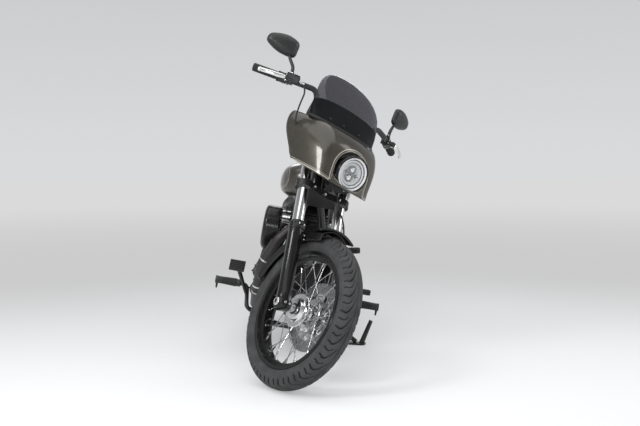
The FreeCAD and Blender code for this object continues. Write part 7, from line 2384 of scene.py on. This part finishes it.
@dataclass
class Seat:
    """The padded seat: foam under a leather cover, with a crease and piping."""

    node: str = "seat"
    voxel: float = 5.0
    pressure: float = 4.0
    frames: int = 20
    swell: float = 9.0
    shrink: float = 3.0
    crease_y: float = 1306.0
    crease_depth: float = 6.0
    seam_depth: float = 2.6
    seams: tuple[float, ...] = (1080.0, 1120.0, 1160.0, 1200.0, 1240.0, 1400.0, 1440.0, 1480.0)
    piping_radius: float = 2.6

    def _core(self) -> bpy.types.Object:
        """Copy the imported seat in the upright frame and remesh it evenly."""
        data = frame["nodes"][self.node].data.copy()
        data.transform(STANCE.pose(Body.CHASSIS).inverted())
        data.transform(Matrix.Scale(MM, 4))
        core = linked("seat_core", data)
        bpy.context.view_layer.objects.active = core
        part = bmesh.new()
        part.from_mesh(data)
        bmesh.ops.remove_doubles(part, verts=part.verts, dist=0.00005)
        part.normal_update()
        for vertex in part.verts:
            vertex.co -= vertex.normal * self.shrink * MM
        part.to_mesh(data)
        part.free()
        remesh = core.modifiers.new("even", "REMESH")
        remesh.mode = "VOXEL"
        remesh.voxel_size = self.voxel * MM
        self._apply(core)
        return core

    @staticmethod
    def _apply(piece: bpy.types.Object) -> None:
        """Replace a piece's mesh by what its modifiers make of it."""
        graph = bpy.context.evaluated_depsgraph_get()
        made = bpy.data.meshes.new_from_object(piece.evaluated_get(graph))
        old = piece.data
        piece.modifiers.clear()
        piece.data = made
        bpy.data.meshes.remove(old)

    def _puff(self, core: bpy.types.Object) -> None:
        """Swell the cover with cloth simulation, keeping its underside where it rests."""
        before = [vertex.co.copy() for vertex in core.data.vertices]
        normals = [vertex.normal.copy() for vertex in core.data.vertices]
        pinned = core.vertex_groups.new(name="rest")
        for index, normal in enumerate(normals):
            pinned.add([index], max(0.0, min(1.0, -normal.z * 1.5 + 0.1)), "REPLACE")
        cloth = core.modifiers.new("cover", "CLOTH")
        cloth.settings.use_pressure = True
        cloth.settings.uniform_pressure_force = self.pressure
        cloth.settings.effector_weights.gravity = 0.0
        cloth.settings.tension_stiffness = 30
        cloth.settings.compression_stiffness = 30
        cloth.settings.bending_stiffness = 3.0
        cloth.settings.vertex_group_mass = "rest"
        cloth.collision_settings.use_collision = False
        cloth.point_cache.frame_start = 1
        cloth.point_cache.frame_end = self.frames
        for number in range(1, self.frames + 1):
            bpy.context.scene.frame_set(number)
        self._apply(core)
        cap = self.swell * MM
        for vertex, rest, normal in zip(core.data.vertices, before, normals):
            move = vertex.co - rest
            if move.length > cap:
                move *= cap / move.length
            if normal.z < -0.35:
                move = Vector((0, 0, 0))
            vertex.co = rest + move
        bpy.context.scene.frame_set(1)

    def _sew(self, core: bpy.types.Object) -> None:
        """Press the crease between the two seats and the sewn lines into the cover."""
        normals = [vertex.normal.copy() for vertex in core.data.vertices]
        for vertex, normal in zip(core.data.vertices, normals):
            if normal.z < 0.1:
                continue
            y = vertex.co.y / MM
            x = abs(vertex.co.x) / MM
            near = abs(y - self.crease_y - 6 + 0.0009 * x * x)
            depth = self.crease_depth * math.exp(-(near / 7) ** 2)
            for line in self.seams:
                across = abs(y - line + 0.0012 * x * x)
                fade = max(0.0, 1 - (x / (118 if line < self.crease_y else 66)) ** 6)
                depth += self.seam_depth * fade * math.exp(-(across / 3.6) ** 2)
            vertex.co -= normal * MM * depth

    def _piping(self, tree: BVHTree) -> None:
        """Sew piping round the cover's upper edge."""
        form = Form()
        stations = [960, 985, 1015, 1050, 1090, 1130, 1170, 1210, 1250, 1285, 1318, 1352, 1400, 1450,
                    1495, 1522]
        for side in SIDES:
            line = []
            for y in stations:
                outside = Vector((side * 400, y, self._edge_height(y)))
                place, normal, _, _ = tree.ray_cast(outside, -ACROSS * side, 400)
                if place is not None:
                    line.append(place + normal * 0.6)
            if len(line) > 3:
                form.tube(flowing(line, 6), self.piping_radius, Coat.SEAT, 10)
        form.piece("seat_piping", Body.CHASSIS, "seat_leather", (), Shading.SMOOTH)

    @staticmethod
    def _edge_height(y: float) -> float:
        """Give the height of the piping along the seat."""
        stops = ((952, 782), (990, 748), (1050, 700), (1120, 672), (1190, 672), (1262, 706), (1306, 724),
                 (1352, 716), (1470, 716), (1530, 708))
        for (y0, z0), (y1, z1) in zip(stops, stops[1:]):
            if y <= y1:
                return z0 + (z1 - z0) * max(0.0, (y - y0)) / (y1 - y0)
        return stops[-1][1]

    def build(self) -> None:
        """Build the padded seat."""
        core = self._core()
        self._puff(core)
        self._sew(core)
        smooth = core.modifiers.new("soften", "SUBSURF")
        smooth.levels = 1
        smooth.render_levels = 1
        self._apply(core)
        data = core.data
        part = bmesh.new()
        part.from_mesh(data)
        bmesh.ops.scale(part, vec=(1 / MM, 1 / MM, 1 / MM), verts=part.verts)
        part.to_mesh(data)
        tree = BVHTree.FromBMesh(part)
        part.free()
        data.transform(STANCE.pose(Body.CHASSIS))
        data.materials.clear()
        data.materials.append(Coat.SEAT.material())
        data.shade_smooth()
        core.name = "seat_padded"
        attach(core, Body.CHASSIS.value)
        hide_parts(self.node)
        LOG.info("seat_padded: %d faces", len(data.polygons))
        self._piping(tree)


@dataclass
class RearEnd:
    """Struts, shocks, swing arm, belt, lamps, plate and rear caliper."""

    axle: Spot = REAR_AXLE
    shock_low: Spot = (160.0, 1560.0, 354.0)
    shock_high: Spot = (160.0, 1400.0, 612.0)
    lamp_angle_deg: float = 38.0
    fender_radius: float = 369.0
    gearbox: Spot = (0.0, 1000.0, 335.0)
    gearbox_radius: float = 71.3
    pulley_radius: float = 157.0
    belt_middle_x: float = 100.3
    tooth_pitch: float = 14.0

    def arms(self) -> None:
        """Ease the welded and forged parts and bolt them up."""
        refine("fender_struts", Body.CHASSIS, Coat.GLOSS, 1.4)
        refine("swing_arm", Body.CHASSIS, Coat.FRAME, 4.0)
        refine("rear_caliper", Body.CHASSIS, Coat.BLACK, 2.2)
        refine("gearbox_pulley", Body.CHASSIS, Coat.STEEL, 1.0)
        refine("side_covers", Body.CHASSIS, Coat.GLOSS, 3.0)
        refine("battery_tray", Body.CHASSIS, Coat.MATT, 2.0)
        form = Form()
        for side in SIDES:
            way = ACROSS * side
            for y, z in ((1230, 592), (1300, 610), (1520, 616), (1600, 616)):
                form.bolt(Vector((side * 106.5, y, z)), way, 7, 5, Coat.CHROME)
            for y, z in (self.shock_low[1:], self.shock_high[1:]):
                form.turned([(0, 15), (2, 15), (2, 12), (9, 11.5), (10, 10), (10, 0)], Coat.CHROME,
                            Vector((side * 176, y, z)), way, 6)
            for y, z in ((1090, 570), (1040, 480)):
                form.bolt(Vector((side * 98.5, y, z)), way, 5, 4)
            form.turned([(0, 17), (2, 17), (2, 14), (9, 13.4), (10, 12), (10, 0)], Coat.ZINC,
                        Vector((side * 165, 1180, 340)), way, 6)
        form.piece("rear_fastenings", Body.CHASSIS, "steel")

    def shocks(self) -> None:
        """Wind the springs over their dampers, with caps and eyes."""
        form = Form()
        low = Vector(self.shock_low)
        high = Vector(self.shock_high)
        run = (high - low).normalized()
        length = (high - low).length
        first, second = unit_pair(run)
        form.turned([(-17, 0), (-17, 12), (20, 13), (24, 19), (34, 21), (38, 26), (44, 26), (44, 15),
                     (length - 96, 15), (length - 90, 8), (length - 62, 8), (length - 62, 27),
                     (length - 58, 28), (length - 34, 28), (length - 28, 24), (length - 22, 14),
                     (length + 16, 13), (length + 17, 0)], Coat.GLOSS, low, run, 56)
        line = []
        turns = 8.5
        for index in range(int(turns * 24) + 1):
            share = index / (turns * 24)
            angle = 2 * math.pi * turns * share
            ease = 46 + (length - 112) * share
            line.append(low + run * ease + (first * math.cos(angle) + second * math.sin(angle)) * 22.6)
        form.tube(line, 4.2, Coat.GLOSS, 10)
        for place in (low, high):
            form.turned([(-11, 9.5), (-11, 17), (-9, 18), (9, 18), (11, 17), (11, 9.5)], Coat.GLOSS, place,
                        ACROSS, 40)
        form.mirrored()
        form.piece("shocks_sprung", Body.CHASSIS, "black_metal", ("shocks",))

    def belt(self) -> None:
        """Run the toothed belt round both pulleys."""
        refine("drive_belt", Body.CHASSIS, Coat.BELT, 0.6)
        form = Form()
        front = Vector(self.gearbox)
        rear = Vector(REAR_AXLE)
        run = (rear - front).normalized()
        up = ACROSS.cross(run)
        up = -up if up.z < 0 else up
        spread = math.acos((self.gearbox_radius - self.pulley_radius) / (rear - front).length)
        for sign in (1, -1):
            way = run * math.cos(spread) + up * sign * math.sin(spread)
            start = front + way * self.gearbox_radius
            end = rear + way * self.pulley_radius
            count = int((end - start).length / self.tooth_pitch)
            along = (end - start).normalized()
            for index in range(1, count):
                middle = (start + along * index * self.tooth_pitch - way * 1.4
                          + ACROSS * self.belt_middle_x)
                turn = Matrix((ACROSS, along, ACROSS.cross(along))).transposed().to_4x4()
                form.block((21, 6, 3.4), Coat.BELT, Matrix.Translation(middle) @ turn, 0.9, 1)
        form.piece("belt_teeth", Body.CHASSIS, "belt_rubber")

    def lamps(self) -> None:
        """Mould the tail lamp, the signals and their stalks."""
        form = Form()
        angle = math.radians(self.lamp_angle_deg)
        out = on_ring(angle)
        spot = Vector(self.axle) + out * self.fender_radius
        form.turned([(-2.5, 34), (6, 37.5), (10, 38)], Coat.GLOSS, spot, out, 64)
        form.turned([(10, 38), (14, 38), (16, 36)], Coat.CHROME, spot, out, 64)
        form.turned([(15, 36), (21, 34), (25, 26), (27.4, 14), (28, 0)], Coat.RED_LENS, spot, out, 64)
        for ring in (12, 20, 28):
            form.turned([(27.5 - ring * ring * 0.0095 - 0.4, ring - 0.8), (28.2 - ring * ring * 0.0095, ring),
                         (27.5 - ring * ring * 0.0095 - 0.4, ring + 0.8)], Coat.RED_LENS, spot, out, 48)
        base = spot + out * 12
        form.rod(base - ACROSS * 150, base + ACROSS * 150, 7, Coat.BLACK, 24)
        for side in SIDES:
            cup = base + Vector((side * 168, 22, 0))
            form.turned([(-54, 0), (-54, 12), (-50, 17), (-34, 22), (-8, 29), (-2, 30), (0, 29), (0, 27)],
                        Coat.BLACK, cup, REARWARD, 48)
            form.turned([(-3, 27), (0, 26.6), (0.3, 18), (0.4, 0)], Coat.AMBER_LENS, cup, REARWARD, 48)
            form.turned([(-8, 9), (8, 9), (10, 7)], Coat.BLACK, base + ACROSS * side * 140, ACROSS * side, 28)
        form.piece("rear_lamps_moulded", Body.CHASSIS, "lamp_red", ("rear_lamps",))

    def plate(self) -> None:
        """Press the blank plate with its raised rim, bracket and screws."""
        refine("number_plate", Body.CHASSIS, Coat.PLATE, 0.8)
        start = math.radians(22)
        foot = Vector(self.axle) + on_ring(start, self.fender_radius)
        place = (Matrix.Translation(foot + Vector((0, 62, -70))) @ tipped(18))
        form = Form()
        frame_line = []
        for x, z in Engine._rounded_box(85, 55, 9):
            frame_line.append(place @ Vector((x, 3.2, z + 59)))
        frame_line.append(frame_line[0])
        form.tube(frame_line, 1.5, Coat.PLATE, 8, caps=False)
        for x in (-62, 62):
            form.bolt(place @ Vector((x, 3.2, 100)), place.to_3x3() @ REARWARD, 5, 2.4, socket=False)
        back = place @ Matrix.Translation((0, -3.2, 62))
        form.block((120, 4, 70), Coat.BLACK, back, 1.6)
        form.piece("plate_fittings", Body.CHASSIS, "plate_white")

    def build(self) -> None:
        """Build the whole rear end."""
        self.arms()
        self.shocks()
        self.belt()
        self.lamps()
        self.plate()


# Frame, foot gear and stand

@dataclass
class Chassis:
    """The frame tubes with the beads welded round their joints."""

    head_ends: tuple[tuple[float, int], ...] = ((562.4, -1), (733.6, 1))
    rail_x: float = 109.5
    rail_z: float = 150.0
    rail_joints: tuple[float, ...] = (570.0, 1000.0)

    def build(self) -> None:
        """Ease the frame and lay weld beads at its joints."""
        refine("frame", Body.CHASSIS, Coat.FRAME, 0.8, Shading.SMOOTH)
        form = Form()
        up = STANCE.fork_way(0, 0, 1)
        for height, sign in self.head_ends:
            form.turned([(-10 * sign, 27), (-10 * sign, 30), (0, 30), (0, 27)], Coat.FRAME,
                        STANCE.fork_point(0, 0, height), up, 48)
        for side in SIDES:
            for y in self.rail_joints:
                form.turned([(-2.6, 14.5), (0, 16.4), (2.6, 14.5)], Coat.FRAME,
                            Vector((side * self.rail_x, y, self.rail_z)), ACROSS, 36)
        form.piece("frame_welds", Body.CHASSIS, "frame_black", (), Shading.SMOOTH)


@dataclass
class FootGear:
    """Pegs, pedal and shift lever with their rubbers."""

    peg_end: float = 411.0
    peg_y: float = 811.0
    peg_z: float = 274.0
    peg_length: float = 112.0
    passenger_pegs: tuple[tuple[Spot, Spot], ...] = (
        ((184, 1226, 474), (294, 1230, 496)), ((-184, 1226, 466), (-197.1, 1247.8, 575)))
    pad_seat: Vector = field(default_factory=lambda: Vector((-330, 635, 360.6)))
    pad_shift: Vector = field(default_factory=lambda: Vector((26, -4, 24)))
    pad_tilt: float = 50.0
    peg_shift: Vector = field(default_factory=lambda: Vector((22, -8, 66)))

    def pegs(self) -> None:
        """Mould the rider's pegs with ribbed rubber, clevises and pins, and the passenger pegs' ribbed
        rubber.
        """
        refine("foot_pegs", Body.CHASSIS, Coat.BLACK, 1.0)
        form = Form()
        root = Vector((self.peg_end - self.peg_length, self.peg_y, self.peg_z))
        profile = [(4, 17.2), (6, 19.5), (10, 19.8)]
        profile += ribs(14.0, 92, 9.4, [(0, 19.8), (1, 21.5), (5, 21.6), (6, 19.9)], 0.04)
        profile += [(101, 16.6), (106, 16.6), (109.5, 15.4), (111.4, 12), (112, 7), (112, 0)]
        form.turned(profile, Coat.GRIP, root, ACROSS, 44)
        form.turned([(-14, 0), (-14, 15), (-11, 18), (0, 18), (4, 17)], Coat.BLACK, root, ACROSS, 36)
        form.rod(root + Vector((-5, 0, -20)), root + Vector((-5, 0, 20)), 4, Coat.ZINC, 18)
        form.mirrored()
        for start, end in self.passenger_pegs:
            run = Vector(end) - Vector(start)
            end_at = run.length
            peg = [(3, 14.2), (5, 16.4)]
            peg += ribs(9.0, end_at - 16, 9.0, [(0, 16.4), (1, 17.8), (5, 17.8), (6, 16.4)])
            peg += [(end_at - 5, 16.4), (end_at - 1, 14), (end_at + 0.4, 8), (end_at + 0.4, 0)]
            form.turned(peg, Coat.GRIP, start, run, 36)
        form.piece("peg_rubbers", Body.CHASSIS, "black_metal")

    def _reset(self, point: Vector) -> Vector:
        """Tilt the brake pad to the front on its pedal, and raise the shift lever's peg."""
        pad = (eased_share(-point.x, 262, 296) * eased_share(point.z, 318, 346)
               * (1 if 585 < point.y < 690 else 0))
        arm = point - self.pad_seat
        tilted = Matrix.Rotation(math.radians(self.pad_tilt), 3, "X") @ arm
        moved = self.pad_seat + self.pad_shift + tilted
        moved = point + (moved - point) * pad
        peg = eased_share(point.x, 150, 236) * eased_share(-point.y, -690, -625)
        return moved + self.peg_shift * peg

    def controls(self) -> None:
        """Ease the pedal and the shift lever, and fit their rubbers and pivots."""
        refine("foot_controls", Body.CHASSIS, Coat.BLACK, 1.2, warp=self._reset)
        form = Form()
        pad = (Matrix.Translation(self.pad_seat) @ Matrix.Translation(self.pad_shift)
               @ tipped(self.pad_tilt))
        form.block((74, 58, 6), Coat.GRIP, pad, 2.0)
        for index in range(6):
            ridge = Matrix.Translation((0, 4.6 + 9.6 * (index - 3), 4.5))
            form.block((68, 5.2, 5), Coat.GRIP, pad @ ridge, 1.6)
        profile = [(0.4, 10), (2, 13)]
        profile += ribs(5.0, 62, 7.6, [(0, 13), (1, 14.4), (4, 14.4), (5, 13)])
        profile += [(68, 13), (70.6, 10.6), (71, 0)]
        form.turned(profile, Coat.GRIP, Vector((250, 610, 302)) + self.peg_shift, ACROSS, 36)
        for side, y in ((-1, 760), (1, 700)):
            hub = Vector((side * 140, y, 151))
            form.turned([(0, 14), (2, 15.4), (20, 15.4), (22, 14), (22, 8.4)], Coat.BLACK, hub,
                        (side, 0, 0), 36)
            form.bolt(hub + Vector((side * 22, 0, 0)), (side, 0, 0), 6, 4)
        form.piece("pedal_rubbers", Body.CHASSIS, "black_metal")

    def stand(self) -> None:
        """Ease the side stand and add its pin heads."""
        refine("side_stand", Body.SIDE_STAND, Coat.BLACK, 1.4)
        joint = joint_of("side_stand_fold")
        pivot = Vector(joint["pos_m"]) / MM
        axis = Vector(joint["axis"]).normalized()
        form = Form()
        for way in (axis, -axis):
            form.turned([(0, 8.5), (3, 8.5), (4.4, 7), (4.4, 0)], Coat.ZINC, pivot + way * 21.4, way, 6)
        form.piece("stand_pin_heads", Body.SIDE_STAND, "black_metal")

    def build(self) -> None:
        """Build all foot gear."""
        self.pegs()
        self.controls()
        self.stand()


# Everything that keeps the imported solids, and the order of work

DRESSED = {
    "fuel_tank": Coat.OLIVE, "rear_fender": Coat.OLIVE, "fairing": Coat.OLIVE,
    "windshield": Coat.SMOKE, "seat": Coat.SEAT, "drive_belt": Coat.BELT,
    "front_tyre": Coat.TYRE, "rear_tyre": Coat.TYRE, "grips": Coat.GRIP, "brake_hose": Coat.HOSE,
    "front_rim": Coat.GLOSS, "rear_rim": Coat.GLOSS, "front_hub": Coat.ALLOY, "rear_hub": Coat.ALLOY,
    "front_disc": Coat.DISC, "rear_disc": Coat.DISC, "rear_pulley": Coat.BLACK,
    "gearbox_pulley": Coat.STEEL, "front_axle": Coat.STEEL, "rear_axle": Coat.STEEL,
    "fork_tubes": Coat.CHROME, "levers": Coat.CHROME, "headlight": Coat.GLOSS,
    "fork_legs": Coat.GLOSS, "front_fender": Coat.GLOSS, "shocks": Coat.GLOSS,
    "fender_struts": Coat.GLOSS, "side_covers": Coat.GLOSS, "primary_cover": Coat.GLOSS,
    "frame": Coat.FRAME, "swing_arm": Coat.FRAME, "cylinders": Coat.ENGINE,
    "engine_cases": Coat.ENGINE, "exhaust_headers": Coat.EXHAUST, "mufflers": Coat.EXHAUST,
    "battery_tray": Coat.MATT, "number_plate": Coat.PLATE, "rear_lamps": Coat.RED_LENS,
}


def dress_all() -> None:
    """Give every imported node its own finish, also those that a piece stands for."""
    for node in frame["nodes"]:
        dress(node, DRESSED.get(node, Coat.BLACK))


def rear_fender() -> Fender:
    """The rear fender over its wheel."""
    return Fender("rear_fender", Body.CHASSIS, "olive_paint", Coat.OLIVE, REAR_AXLE, 94.0,
                  369.0, 318.0, 14.0, 136.0)


def front_fender() -> Fender:
    """The front fender between the fork legs."""
    return Fender("front_fender", Body.STEERING, "gloss_black", Coat.GLOSS, FRONT_AXLE, 65.0,
                  357.0, 300.0, 6.0, 78.0, bead=4.4)


def front_wheel() -> Wheel:
    """The narrow 19 inch front wheel."""
    return Wheel("front", Body.FRONT_WHEEL, FRONT_AXLE, 331.0, 50.0, 243.7, 255.0, 38.0,
                 60.0, 48.0, 47.0, TreadPattern(), hub_flange_height=26.0)


def rear_wheel() -> Wheel:
    """The wide 17 inch rear wheel."""
    return Wheel("rear", Body.REAR_WHEEL, REAR_AXLE, 328.0, 80.0, 218.0, 230.0, 58.0,
                 87.0, 87.0, 36.0,
                 TreadPattern(pitches=28, groove_width=7.6, inner=12.0, outer=88.0, rings=(0.0, 34.0)))


def main() -> None:
    """Build the studio and the motorcycle from the ground up."""
    logging.basicConfig(level=logging.INFO, format="%(message)s")
    Studio().set_up()
    dress_all()
    makers = [
        front_wheel(), rear_wheel(),
        BrakeDisc("front_disc", Body.FRONT_WHEEL, FRONT_AXLE, 150.0, 42.0, 62.8),
        BrakeDisc("rear_disc", Body.REAR_WHEEL, REAR_AXLE, 146.0, 36.0, -89.8, outward=-1),
        Pulley(REAR_AXLE), Axles(), Fork(), FrontCaliper(), Handlebar(), Mirrors(), BrakeHose(),
        Headlight(), Fairing(), Windshield(), Engine(), Chassis(), Tank(), Seat(), RearEnd(), FootGear(),
    ]
    for maker in makers:
        maker.build()
        LOG.info("%s built", type(maker).__name__)
    front_fender().build(front_fender_tabs)
    rear_fender().build()


if __name__ == "__main__":
    main()
